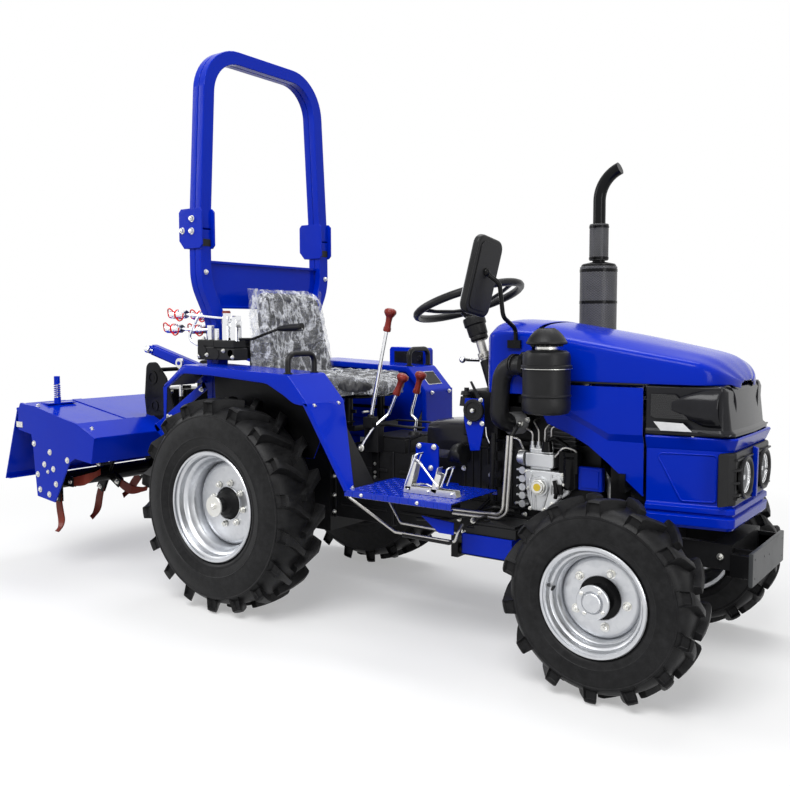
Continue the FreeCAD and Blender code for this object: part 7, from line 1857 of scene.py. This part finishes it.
def cooling():
    dressed("radiator", BLACK_PAINT)
    fins = Shape()
    for step in range(37):
        fins.block((1497, -170 + step * 9.3, 530), (1500, -167 + step * 9.3, 895))
    for z in (520, 895):
        fins.block((1494, -180, z), (1576, 180, z + 12))
    fins.rod((1535, 60, 925), (1535, 60, 944), 22)
    fins.tube([(1520, 120, 905), (1470, 120, 915), (1380, 70, 880)], 16, 30)
    fins.tube([(1520, -120, 540), (1478, -110, 540), (1440, -70, 640)], 16, 30)
    fins.finish("radiator.core", "chassis", ALLOY, "alloy_casting")


def cowl_frame():
    case = Shape()
    case.block((905, -150, 735), (1060, 150, 905))
    case.bevelled(8, 3)
    case.block((1046, -165, 735), (1060, 165, 905))
    case.tube([(1062, -196, 760), (1062, -200, 690), (1050, -190, 560), (1056, -180, 474)], 9, 20)
    for z in (690, 620, 560):
        case.block((1048, -168, z), (1062, -140, z + 34))
    case.finish("cowl_support.frame", "chassis", BLACK_CAST, "black_casting", ["cowl_support"])
    cover = Shape()
    sections = []
    for x, half, low, top in ((722, 112, 676, 768), (730, 122, 675, 776), (800, 125, 672, 783),
                              (880, 126, 672, 786), (910, 128, 672, 786), (922, 118, 676, 780)):
        edge = ((1, low), (1, top - 34), (0.94, top - 14), (0.74, top - 3), (0.4, top))
        sections.append([(x, -half * share, z) for share, z in edge]
                        + [(x, half * share, z) for share, z in reversed(edge)])
    cover.loft(sections)
    cover.tidy()
    cover.finish("cowl_support.clutch_cover", "chassis", GLOSS, "black_plastic", smooth=50)
    boot = Shape()
    boot.loft([[(x, y + r * math.cos(a), z + r * 0.8 * math.sin(a)) for a in angles(20)]
               for x, y, z, r in ((858, -150, 655, 30), (880, -160, 668, 44), (905, -168, 672, 48),
                                  (925, -168, 664, 40))])
    boot.finish("cowl_support.boot", "chassis", PLASTIC, "black_plastic", smooth=60)
    bracket = Shape()
    bracket.plate([(948, 880), (1026, 880), (1030, 790), (1010, 694), (972, 690), (945, 800)],
                  "y", -208, -202)
    bracket.bevelled(2, 3)
    bracket.finish("cowl_support.bracket", "chassis", BLUE, "blue_paint")
    disc = Shape()
    disc.lathe([(0, -209), (40, -209), (41, -212), (41, -219), (38, -222), (30, -222), (28, -219), (12, -219),
                (11, -222), (0, -222)], (990, 0, 838), "y", 56, closed=False)
    for x, r, z in ((938, 15, 0), (938, 22, 8)):
        disc.rod((x, -178, 882 + z), (x, -178, 896 + z), r, r * 0.86)
    disc.rod((938, -178, 850), (938, -178, 884), 26, 22)
    disc.rod((938, -178, 902), (938, -178, 916), 9)
    disc.plate([(968, 940), (974, 942), (1010, 884), (1000, 876)], "y", -206, -200)
    disc.finish("cowl_support.switch", "chassis", PLASTIC, "black_plastic", smooth=35)
    screws = Shape()
    for x, z in ((970, 792), (1022, 792), (1016, 876)):
        screws.bolt((x, -208, z), (0, -1, 0), 12, 7)
    screws.bolt((990, -219, 838), (0, -1, 0), 15, 9)
    screws.tube([(1036, -206, 780), (1042, -212, 750), (1050, -206, 724)], 2.5, 10)
    screws.finish("cowl_support.screws", "chassis", ZINC, "bright_steel")


def battery():
    tray = Shape()
    tray.block((1013, -332, 345), (1215, -327, 418))
    tray.block((1013, -332, 345), (1215, -172, 350))
    tray.block((1013, -332, 345), (1018, -172, 418))
    tray.block((1210, -332, 345), (1215, -172, 418))
    tray.block((1053, -172, 385), (1175, -166, 418))
    tray.bevelled(1.5, 3)
    tray.finish("battery_box.tray", "chassis", BLUE, "blue_paint", ["battery_box"])
    cell = Shape()
    cell.block((1022, -322, 352), (1208, -180, 440))
    cell.bevelled(3)
    cell.block((1059, -324, 418), (1222, -180, 452))
    cell.block((1064, -320, 452), (1216, -184, 462))
    cell.bevelled(2.5)
    for y in (-214, -290):
        cell.rod((1090, y, 462), (1090, y, 466), 12)
    cell.finish("battery_box.cell", "chassis", PLASTIC, "black_plastic", smooth=35)


def pipes():
    bright = Shape()
    for shift in (0, 14):
        bright.tube([(1170 - shift, -262, 764), (1153 - shift, -262 - shift * 0.2, 491 + shift),
                     (1120, -261, 470 + shift), (930, -258, 466 + shift)], 5.6, 34)
    bright.tube([(507, -330, 487), (724, -330, 382), (984, -330, 381), (998, -330, 419),
                 (998, -300, 440)], 5.5, 16)
    bright.tube([(640, -250, 470), (700, -262, 400), (960, -262, 396)], 4.5, 18)
    bright.finish("front_frame.pipes", "chassis", BARE, "bright_steel")
    ends = Shape()
    ends.tube([(1170, -262, 764), (1176, -240, 790), (1160, -180, 800)], 8, 16)
    ends.tube([(930, -258, 473), (880, -230, 480), (860, -150, 480)], 8, 20)
    ends.rod((507, -330, 487), (495, -326, 492), 8)
    ends.tube([(975, -330, 382), (960, -330, 374), (760, -330, 376)], 8, 10)
    ends.tube([(1040, -175, 520), (1000, -200, 470), (900, -230, 430), (760, -240, 420)], 6, 40)
    ends.tube([(1130, -170, 480), (1080, -220, 500), (1010, -226, 472)], 7, 30)
    ends.block((905, -166, 466), (1044, -130, 500))
    ends.block((1066, -335, 466), (1078, -160, 474))
    ends.finish("front_frame.hoses", "chassis", PLASTIC, "black_plastic")


def chassis_details():
    for node in ("front_frame", "front_axle", "steering_knuckle_right", "steering_knuckle_left",
                 "rear_axle_housing", "gearbox_housing"):
        dressed(node, BLACK_CAST)
    dressed("tie_rod", BARE)
    more = Shape()
    for x in (262, 560, 892):
        more.block((x, -132, 346), (x + 14, 132, 644))
    for z in (400, 560):
        for x in (300, 600):
            more.block((x, -131, z), (x + 240, 131, z + 12))
    more.block((330, -90, 338), (520, 90, 350))
    more.bevelled(4, 3)
    trumpet = ((0, 0), (112, 0), (112, 16), (96, 20), (74, 80), (62, 130), (60, 132))
    for side in SIDES:
        more.lathe([(r, along * side) for r, along in trumpet], (0, 150 * side, REAR_AXLE_Z),
                   "y", 48, closed=False)
        more.rod((0, 438 * side, REAR_AXLE_Z), (0, 448 * side, REAR_AXLE_Z), 92, sides=48)
        more.rod((475, 120 * side, 500), (475, 140 * side, 500), 40)
    more.finish("gearbox_housing.ribs", "chassis", BLACK_CAST, "black_casting", smooth=34)
    posts = Shape()
    for y in (-100, -128):
        posts.block((468, y - 8, 525), (500, y + 2, 740))
    posts.rod((484, -100, 736), (484, -136, 736), 18)
    posts.bevelled(2.5)
    posts.finish("gearbox_housing.posts", "chassis", BLACK_PAINT, "black_casting")
    screws = Shape()
    for side in SIDES:
        for z in (370, 440, 520, 610):
            for x in (269, 899):
                screws.bolt((x, 132 * side, z), (0, side, 0), 13, 7)
        for x in (900, 960, 1240, 1420, 1700, 1850):
            screws.bolt((x, 166 * side, 425), (0, side, 0), 15, 8)
        for angle in angles(8):
            screws.bolt((80 * math.cos(angle), 448 * side, REAR_AXLE_Z + 80 * math.sin(angle)),
                        (0, -side, 0), 12, 6)
        screws.bolt((475, 140 * side, 500), (0, side, 0), 24, 10)
        for z in (536, 556, 590, 646, 700):
            screws.bolt((484, -136, z), (0, -1, 0), 10, 5)
    screws.finish("front_frame.screws", "chassis", ZINC, "bright_steel")
    beam = Shape()
    for side in SIDES:
        beam.block((1556, 90 * side, 344), (1594, 300 * side, 356))
        beam.block((1550, 300 * side, 280), (1600, 316 * side, 352))
        beam.rod((1575, 350 * side, 350), (1575, 350 * side, 356), 36, 30)
    beam.rod((1500, 0, 315), (1508, 0, 315), 46)
    beam.rod((1642, 0, 315), (1652, 0, 315), 46)
    beam.bevelled(2)
    beam.finish("front_axle.ribs", "chassis", BLACK_CAST, "black_casting")


air_cleaner()
exhaust()
mirror()
engine_castings()
cooling()
cowl_frame()
battery()
pipes()
chassis_details()


# ---------------------------------------------------------------- hitch and tiller

def flat_bar(shape, a, b, half, low, high):
    """A flat bar between two points (x, z), from one y to another."""
    a, b = Vector(a), Vector(b)
    along = (b - a).normalized()
    out = Vector((-along.y, along.x)) * half
    ends = [a - along * half * 0.4 + out, b + along * half * 0.4 + out, b + along * half * 0.4 - out,
            a - along * half * 0.4 - out]
    shape.plate([tuple(p) for p in ends], "y", low, high)


def lift_details():
    dressed("lift_housing", BLACK_CAST)
    case = Shape()
    case.block((-300, -146, 612), (120, 146, 640))
    case.block((-290, -146, 690), (110, 146, 712))
    case.bevelled(4, 3)
    for side in SIDES:
        case.rod((LIFT_SHAFT_X, 200 * side, LIFT_SHAFT_Z), (LIFT_SHAFT_X, 224 * side, LIFT_SHAFT_Z), 46)
        case.rod((-90, 138 * side, 668), (-90, 150 * side, 668), 30)
    case.block((-250, -90, 470), (-205, 90, 600))
    case.finish("lift_housing.ribs", "chassis", BLACK_CAST, "black_casting")
    bolts = Shape()
    for side in SIDES:
        for x in range(-285, 110, 48):
            bolts.bolt((x, 146 * side, 626), (0, side, 0), 12, 6)
        for angle in angles(6):
            bolts.bolt((LIFT_SHAFT_X + 36 * math.cos(angle), 224 * side,
                        LIFT_SHAFT_Z + 36 * math.sin(angle)), (0, side, 0), 8, 5)
    bolts.finish("lift_housing.bolts", "chassis", ZINC, "bright_steel")


def valve():
    body = Shape()
    body.block((-294, -366, 1020), (-190, 52, 1086))
    body.block((-288, -372, 1000), (-185, 60, 1056))
    body.block((-196, -372, 1000), (-60, -296, 1050))
    body.block((-190, -368, 1050), (-68, -300, 1084))
    body.block((-292, -60, 945), (-232, 60, 1010))
    body.bevelled(5, 3)
    for x, y, z, r in ((-256, -368, 1036, 26), (-178, -368, 1026, 24), (-88, -366, 1030, 15)):
        body.rod((x, y, z), (x, y - 6, z), r)
    for x, y in ((-260, -130), (-240, -40), (-88, -334)):
        body.rod((x, y, 1080), (x, y, 1089), 20, 17)
    body.rod((-294, -330, 1050), (-304, -330, 1050), 22)
    body.finish("control_valve.body", "chassis", BLACK_CAST, "black_casting", ["control_valve"])
    lever = Shape()
    lever.tube([(-88, -346, 1088), (-30, -300, 1088), (0, -240, 1112), (36, -204, 1132)], 5.5, 30)
    lever.tube([(140, -206, 1130), (200, -246, 1128), (232, -292, 1132)], 5.5, 30)
    lever.block((-104, -356, 1080), (-70, -336, 1094))
    lever.finish("control_valve.lever", "chassis", BLACK_PAINT, "black_plastic")
    grip = Shape()
    grip.rod((28, -205, 1130), (66, -203, 1133), 9, 15)
    grip.rod((66, -203, 1133), (160, -203, 1138), 15, 17)
    grip.finish("control_valve.grip", "chassis", PLASTIC, "black_plastic", smooth=50)
    nuts = Shape()
    for x, y, z in ((-226, -372, 1022), (-274, -372, 1016), (-126, -372, 1040), (-72, -372, 1014)):
        nuts.bolt((x, y, z), (0, -1, 0), 12, 6)
    for x, y in ((-270, -350), (-230, -90), (-215, 30)):
        nuts.bolt((x, y, 1086), (0, 0, 1), 14, 8)
    nuts.finish("control_valve.nuts", "chassis", ZINC, "bright_steel")


def couplers():
    bright = Shape()
    red = Shape()
    profile = [(0, 0), (15, 0), (20, 3), (20, 20), (17, 22), (17, 30), (21, 32), (21, 58),
               (18, 60), (18, 70), (14, 74), (14, 92), (9, 96), (0, 96)]
    for x, y, z in ((-477, -345, 1194), (-505, -347, 1132), (-452, -239, 1190), (-470, -239, 1128)):
        bright.lathe(profile, (x, y, z), "x", 36, closed=False)
        bright.rod((x + 74, y, z), (x + 96, y, z), 18, sides=6)
        red.lathe([(18, 36), (22, 38), (22, 48), (18, 50)], (x, y, z), "x", 36)
        red.tube([(x + 44, y - 21, z + 6), (x + 22, y - 30, z + 26), (x - 12, y - 14, z + 22),
                  (x - 16, y - 6, z - 8), (x - 10, y - 2, z - 14)], 3, 16)
        red.tube([(x + 44, y - 14, z - 18), (x + 60, y - 12, z - 30), (x + 84, y - 14, z - 22),
                  (x + 92, y - 16, z + 4)], 3, 14)
    for x, y, top in ((-134, -345, 1196), (-84, -345, 1180), (-134, -286, 1186)):
        bright.rod((x, y, 1080), (x, y, top - 44), 19)
        bright.rod((x, y, top - 44), (x, y, top - 24), 23, sides=6)
        bright.rod((x, y, top - 24), (x, y, top - 14), 16)
        bright.rod((x, y, top - 14), (x, y, top), 19, sides=6)
    bright.tube([(-384, -345, 1194), (-280, -350, 1186), (-150, -345, 1176)], 6.5, 40)
    bright.tube([(-412, -347, 1132), (-330, -350, 1126), (-236, -350, 1128)], 6.5, 40)
    bright.tube([(-300, -352, 1182), (-330, -354, 1140), (-366, -352, 1086), (-320, -340, 1062),
                 (-290, -335, 1060)], 6, 26)
    bright.tube([(-360, -239, 1190), (-280, -239, 1186), (-215, -250, 1150), (-215, -250, 1080)], 6.5, 30)
    bright.tube([(-380, -239, 1128), (-300, -239, 1120), (-262, -245, 1080)], 6.5, 24)
    bright.rod((-226, -350, 1080), (-226, -350, 1146), 15, sides=6)
    bright.rod((-190, -350, 1080), (-190, -350, 1132), 11, sides=6)
    bright.rod((-84, -362, 1148), (-108, -350, 1148), 12, sides=6)
    bright.tidy()
    bright.finish("hydraulic_couplers.fittings", "chassis", CHROME, "chrome_steel",
                  ["hydraulic_couplers"], smooth=32)
    red.finish("hydraulic_couplers.caps", "chassis", RED, "black_plastic")
    top = Shape()
    top.rod((-134, -345, 1196), (-134, -345, 1206), 19, 15)
    top.finish("hydraulic_couplers.plug", "chassis", TINE, "alloy_casting")


def stays():
    bars = Shape()
    for side in SIDES:
        ends = sorted((314 * side, 323 * side))
        flat_bar(bars, (-300, 886), (-628, 678), 19, *ends)
        flat_bar(bars, (-640, 690), (-575, 640), 12, *ends)
        low, high = spread(side, 283, 323)
        bars.block((-318, low, 872), (-280, high, 902))
    bars.bevelled(2, 3)
    bars.finish("lift_housing.stays", "chassis", BLUE, "blue_paint")
    bolts = Shape()
    for side in SIDES:
        for x, z in ((-547, 746), (-524, 744), (-318, 876)):
            bolts.bolt((x, 323 * side, z - 8), (0, side, 0), 15, 9)
    bolts.finish("lift_housing.stay_bolts", "chassis", ZINC, "bright_steel")


def arms_and_links():
    dressed("lift_arms", BLUE)
    dressed("lower_links", BLACK_PAINT)
    dressed("lift_rods", ZINC)
    dressed("top_link", BLACK_PAINT)
    dressed("drive_shaft", BLACK_PAINT)
    caps = Shape()
    balls = Shape()
    for side in SIDES:
        ends = sorted((250 * side, 262 * side))
        flat_bar(caps, (-300, 918), (-708, 1028), 19, *ends)
        balls.rod((-722, 250 * side, 1029), (-752, 250 * side, 1037), 11)
        balls.ball((-748, 268 * side, 1036), 17)
        balls.rod((-748, 258 * side, 1036), (-748, 276 * side, 1036), 13, sides=24)
        balls.bolt((LIFT_SHAFT_X, 250 * side, LIFT_SHAFT_Z), (0, side, 0), 30, 10)
    caps.bevelled(4, 3)
    caps.finish("lift_arms.caps", "lift_arms", BLUE, "blue_paint")
    balls.finish("lift_arms.balls", "lift_arms", CHROME, "chrome_steel")
    link = Shape()
    turnbuckle = Shape()
    for side in SIDES:
        for x, z in ((-662, 505), (-160, 400)):
            turnbuckle.lathe([(13, -3), (24, -3), (24, 3), (13, 3)], (x, 250 * side, z), "y", 32)
        flat_bar(link, (-220, 413), (-600, 492), 10, *sorted((245 * side, 250 * side)))
    link.bevelled(1.5)
    link.finish("lower_links.ribs", "lower_links", BLACK_PAINT, "black_casting")
    turnbuckle.finish("lower_links.rings", "lower_links", ZINC, "bright_steel")
    rods = Shape()
    for side in SIDES:
        rods.rod((-525, 263 * side, 600), (-525, 263 * side, 810), 10, sides=6)
        for z in (592, 818):
            rods.rod((-525, 263 * side, z - 8), (-525, 263 * side, z + 8), 10, sides=6)
    rods.finish("lift_rods.turnbuckles", "lift_rods", BLACK_PAINT, "black_casting")
    tube = Shape()
    low, high = Vector((-345, 0, 830)), Vector((-790, 0, 935))
    tube.rod(low.lerp(high, 0.2), low.lerp(high, 0.8), 15.8, sides=28)
    for share in (0.16, 0.84):
        tube.rod(low.lerp(high, share - 0.02), low.lerp(high, share + 0.02), 14, sides=6)
    tube.finish("top_link.tube", "top_link", ZINC, "bright_steel")


def tiller_sheets():
    dressed("tiller_deck", BLUE)
    dressed("tail_board", BLUE)
    walls = Shape()
    outline = [(-1290, 745), (-1272, 781), (-1157, 774), (-838, 709), (-702, 655), (-727, 540), (-849, 553),
               (-890, 530), (-1012, 336), (-1150, 352), (-1176, 600), (-1187, 640), (-1290, 655)]
    for side in SIDES:
        walls.plate(outline, "y", 596 * side, 602.5 * side)
    walls.bevelled(1.2, 2)
    walls.finish("tiller_sides.walls", "tiller", BLUE, "blue_paint", ["tiller_sides"], smooth=30)
    edge = Shape()
    for y in (-300, 300):
        edge.plate([(-1264, 780), (-1264, 783), (-842, 712), (-842, 709)], "y", y - 26, y + 26)
    edge.block((-1288, -560, 768), (-1246, -350, 774))
    edge.block((-1288, -560, 756), (-1282, -350, 780))
    for low, high in ((-602, -86), (86, 602)):
        edge.plate([(-836, 709), (-836, 712), (-704, 656), (-704, 653)], "y", low, high)
    for side in SIDES:
        edge.plate([(-1268, 781), (-1268, 784), (-838, 712.5), (-700, 655), (-700, 651), (-838, 708)],
                   "y", *spread(side, 588, 602))
    edge.bevelled(1)
    edge.finish("tiller_deck.straps", "tiller", BLUE, "blue_paint")
    spots = ((-1163, 598, 17), (-1038, 567, 17), (-904, 541, 17), (-1084, 507, 17), (-1014, 491, 17),
             (-1139, 456, 17), (-1057, 475, 11), (-996, 423, 17), (-1124, 386, 17), (-1052, 370, 17))
    bolts = Shape()
    for side in SIDES:
        for x, z, across in spots:
            bolts.rod((x, 602 * side, z), (x, 604 * side, z), across * 0.82, sides=24)
            bolts.rod((x, 604 * side, z), (x, 608.5 * side, z), across * 0.6, sides=6)
            bolts.rod((x, 608.5 * side, z), (x, 610 * side, z), across * 0.34, sides=12)
        low, high = spread(side, 602, 605)
        bolts.block((-1302, low, 668), (-1252, high, 694))
        for x in (-1290, -1264):
            bolts.rod((x, 605 * side, 681), (x, 609 * side, 681), 7, 5, sides=6)
    for x, y, z in ((-1189, 560, 767), (-778, 560, 684)):
        for side in SIDES:
            bolts.bolt((x, y * side, z), (0.16, 0, 1), 15, 8)
    bolts.finish("tiller_sides.bolts", "tiller", ZINC, "bright_steel")
    lip = Shape()
    lip.plate([(-1424, 409), (-1392, 409), (-1392, 413), (-1422, 413)], "y", -593, 593)
    lip.plate([(-1421, 418), (-1418, 418), (-1308, 735), (-1311, 735)], "y", -593, -586)
    for y in (-400, 0, 400):
        flat_bar(lip, (-1400, 470), (-1318, 706), 2, y - 22, y + 22)
    lip.finish("tail_board.lip", "tail_board", BLUE, "blue_paint")


def depth_screw():
    x, y = -1205, -446
    steel = Shape()
    steel.rod((x, y, 735), (x, y, 872), 8)
    low, high, steps = 802, 868, 7 * 16
    spring = []
    for step in range(steps + 1):
        angle = math.tau * step / 16
        spring.append((x + 13 * math.cos(angle), y + 13 * math.sin(angle),
                       low + (high - low) * step / steps))
    blue = Shape()
    blue.tube(spring, 3.1, sides=3)
    blue.rod((x, y, 868), (x, y, 903), 14)
    blue.rod((x, y, 903), (x, y, 905), 14, 12)
    blue.rod((x, y, 764), (x, y, 802), 16)
    blue.block((x - 46, y - 60, 772), (x + 20, y + 90, 778))
    blue.block((x - 46, y - 60, 750), (x - 40, y + 90, 778))
    blue.finish("depth_rod.spring", "tiller", BLUE, "blue_paint", ["depth_rod"])
    steel.finish("depth_rod.screw", "tiller", ZINC, "bright_steel")


def headstock():
    black = Shape()
    outline = rounded([(-850, 594), (-884, 640), (-904, 800), (-884, 968), (-810, 972), (-740, 900),
                       (-648, 640), (-640, 500), (-676, 474), (-742, 594), (-850, 594)], 34, 6)
    for side in SIDES:
        black.plate([tuple(p) for p in outline[:-1]], "y", *spread(side, 160, 170))
        black.rod((-662, 168 * side, 505), (-662, 255 * side, 505), 11.9)
    black.block((-900, -85, 594), (-690, 85, 840))
    black.block((-798, -600, 594), (-742, 600, 650))
    black.bevelled(5, 3)
    black.rod((-790, -172, 935), (-790, 172, 935), 10)
    black.rod((-690, 0, 600), (-660, 0, 600), 17)
    for side in SIDES:
        black.lathe([(22, -4), (34, -4), (34, 4), (22, 4)], (-838, 170 * side, 896), "y", 40)
        black.lathe([(18, -4), (27, -4), (27, 4), (18, 4)], (-826, 170 * side, 760), "y", 40)
        black.rod((-838, 168 * side, 896), (-838, 171 * side, 896), 14)
    black.block((-896, -92, 650), (-694, 92, 664))
    black.block((-896, -92, 800), (-694, 92, 812))
    for x in (-880, -820, -760, -706):
        black.block((x - 4, -90, 600), (x + 4, 90, 836))
    black.bevelled(2.5)
    black.rod((-700, 0, 600), (-682, 0, 600), 44, 38)
    black.rod((-795, 0, 838), (-795, 0, 852), 26, 24)
    for side in SIDES:
        black.rod((-770, 560 * side, 622), (-770, 600 * side, 622), 44)
    black.finish("tiller_frame.headstock", "tiller", BLACK_PAINT, "black_casting",
                 ["tiller_frame"], smooth=35)
    bolts = Shape()
    for side in SIDES:
        for z in (620, 690, 760, 826):
            for x in (-870, -790, -720):
                bolts.bolt((x, 90 * side, z), (0, side, 0), 13, 7)
    for y in (-60, 60):
        for z in (616, 700, 780):
            bolts.bolt((-690, y, z), (1, 0, 0), 13, 7)
    bolts.finish("tiller_frame.bolts", "tiller", ZINC, "bright_steel")


def tine(shape, hub, out, on, side):
    """A blade that runs out from the rotor, swept back, and curls to one side."""
    across = AXIS["y"]
    sections = []
    for step in range(16):
        if step < 6:
            bend, r, aside = 0.0, 62 + step * 21, 9.5
        else:
            bend = math.radians((step - 5) * 8)
            r, aside = 167 + 60 * math.sin(bend), 9.5 + 60 * (1 - math.cos(bend))
        share = step / 15
        half = (17 + 9 * math.sin(math.pi * min(1, share * 1.25)) - 4 * share) if share < 1 else 14
        thick = 4.5 - 1.6 * share
        sweep = -0.0013 * (r - 62) ** 2 - 0.35 * (aside - 9.5)
        spot = hub + on * sweep + across * aside * side + out * r
        normal = across * math.cos(bend) - out * side * math.sin(bend)
        sections.append([spot - on * half - normal * thick, spot + on * half - normal * thick,
                         spot + on * half + normal * thick * 0.5, spot - on * half + normal * thick])
    shape.loft(sections)


def rotor():
    black, brown, bright = Shape(), Shape(), Shape()
    for end, radius in ((590, 38), (594, 20)):
        black.rod((ROTOR_X, -end, ROTOR_Z), (ROTOR_X, end, ROTOR_Z), radius)
    for ring in range(5):
        hub = Vector((ROTOR_X, 530 * (ring / 2 - 1), ROTOR_Z))
        for count, start in enumerate(angles(4)):
            side = 1 if count % 2 else -1
            angle = start + ring * 0.5
            out = Vector((math.sin(angle), 0, math.cos(angle)))
            on = Vector((math.cos(angle), 0, -math.sin(angle)))
            turned = Matrix((on, AXIS["y"], out)).transposed()
            for shift in (0, 13):
                low = hub + Vector((-25, 4 * side + shift * side - 3.5, 24))
                high = hub + Vector((25, 4 * side + shift * side + 3.5, 98))
                black.block(low, high, turned, hub)
            tine(brown, hub + AXIS["y"] * side, out, on, side)
            for end in (-1, 1):
                bright.bolt(hub + out * 80 + AXIS["y"] * (10.5 * side + end * 10), AXIS["y"] * end, 17, 7)
    black.bevelled(3, 3)
    black.finish("tiller_rotor.tube", "tiller_rotor", BLACK_PAINT, "black_casting", ["tiller_rotor"])
    brown.bevelled(1.2, 2, 50)
    brown.finish("tiller_rotor.tines", "tiller_rotor", TINE, "tine_paint", smooth=50)
    bright.finish("tiller_rotor.bolts", "tiller_rotor", ZINC, "bright_steel")


lift_details()
valve()
couplers()
stays()
arms_and_links()
tiller_sheets()
depth_screw()
headstock()
rotor()


# ---------------------------------------------------------------- floor, light and camera

def seen_directly(g):
    """One for camera, glossy and transmission rays, none for the light on the tractor."""
    path = g.tree.nodes.new("ShaderNodeLightPath")
    rays = [Wire(g, path.outputs[name]) for name in ("Is Camera Ray", "Is Glossy Ray", "Is Transmission Ray")]
    return g.maths("MINIMUM", rays[0] + rays[1] + rays[2], 1.0)


def stage_paper(name):
    """Matt paper that keeps the tractor's shadow near it and turns to plain white further off."""
    g = Graph(name)
    x, y = g.part("x"), g.part("y")
    away = g.maths("SQRT", x * x + y * y)
    far = g.ramp(away / 12, (0.13, 0.0), (0.30, 1.0))
    g.set(Base_Color=g.mix(far, (0.60, 0.60, 0.60), (0.0, 0.0, 0.0)), Roughness=0.9, Specular_IOR_Level=0.0)
    g.set(Emission_Color=g.mix(far, (0.36, 0.36, 0.36), (1.0, 1.0, 1.0)), Emission_Strength=seen_directly(g))
    return g.done()


def stage():
    floor_mesh = bmesh.new()
    bmesh.ops.create_grid(floor_mesh, x_segments=2, y_segments=2, size=30)
    mesh = bpy.data.meshes.new("floor")
    floor_mesh.to_mesh(mesh)
    floor_mesh.free()
    mesh.materials.append(stage_paper("stage floor"))
    floor = bpy.data.objects.new("floor", mesh)
    bpy.context.scene.collection.objects.link(floor)


def world():
    """White to the eye and in metal and glass, a dim grey as light."""
    sky = bpy.data.worlds.new("studio")
    bpy.context.scene.world = sky
    sky.use_nodes = True
    tree = sky.node_tree
    dim = tree.nodes["Background"]
    dim.inputs["Color"].default_value = (0.82, 0.83, 0.85, 1)
    dim.inputs["Strength"].default_value = 0.36
    white = tree.nodes.new("ShaderNodeBackground")
    white.inputs["Color"].default_value = (1, 1, 1, 1)
    white.inputs["Strength"].default_value = 1.0
    path = tree.nodes.new("ShaderNodeLightPath")
    factor = path.outputs["Is Camera Ray"]
    for name in ("Is Glossy Ray", "Is Transmission Ray"):
        either = tree.nodes.new("ShaderNodeMath")
        either.operation = "MAXIMUM"
        tree.links.new(factor, either.inputs[0])
        tree.links.new(path.outputs[name], either.inputs[1])
        factor = either.outputs[0]
    mixed = tree.nodes.new("ShaderNodeMixShader")
    tree.links.new(factor, mixed.inputs[0])
    tree.links.new(dim.outputs[0], mixed.inputs[1])
    tree.links.new(white.outputs[0], mixed.inputs[2])
    tree.links.new(mixed.outputs[0], tree.nodes["World Output"].inputs["Surface"])


def lamp(name, spot, aim, size, power, colour=(1, 1, 1)):
    light = bpy.data.lights.new(name, "AREA")
    light.shape = "RECTANGLE"
    light.size, light.size_y = size
    light.energy = power
    light.color = colour
    holder = bpy.data.objects.new(name, light)
    bpy.context.scene.collection.objects.link(holder)
    holder.location = spot
    holder.rotation_euler = (Vector(aim) - Vector(spot)).to_track_quat("-Z", "Y").to_euler()


def camera():
    """Stands off the right front corner at the height of a person's chest."""
    data = bpy.data.cameras.new("camera")
    data.sensor_width = 36
    data.lens = 40.541924
    data.clip_end = 100
    eye = bpy.data.objects.new("camera", data)
    bpy.context.scene.collection.objects.link(eye)
    azimuth, pitch, roll = math.radians(36.04), math.radians(4.32), math.radians(-0.177)
    look = Vector((-math.sin(azimuth) * math.cos(pitch), math.cos(azimuth) * math.cos(pitch),
                   -math.sin(pitch)))
    eye.location = Vector((2.6309 + AXLE_X, -2.9489, 1.1415))
    facing = look.to_track_quat("-Z", "Y").to_matrix() @ Matrix.Rotation(roll, 3, "Z")
    eye.rotation_euler = facing.to_euler()
    bpy.context.scene.camera = eye


stage()
world()
lamp("key", (1.4, -4.2, 5.4), (0.4, 0, 0.6), (4.0, 2.6), 300)
lamp("front", (6.0, -2.6, 1.9), (0.8, 0, 0.8), (1.8, 2.6), 70)
lamp("rear", (-4.8, -2.4, 3.0), (-0.4, 0, 0.8), (2.4, 2.0), 70)
lamp("top", (0.2, 1.6, 5.6), (0.2, 0, 0.7), (4.0, 2.0), 130)
camera()

bpy.context.scene.view_settings.view_transform = "Standard"
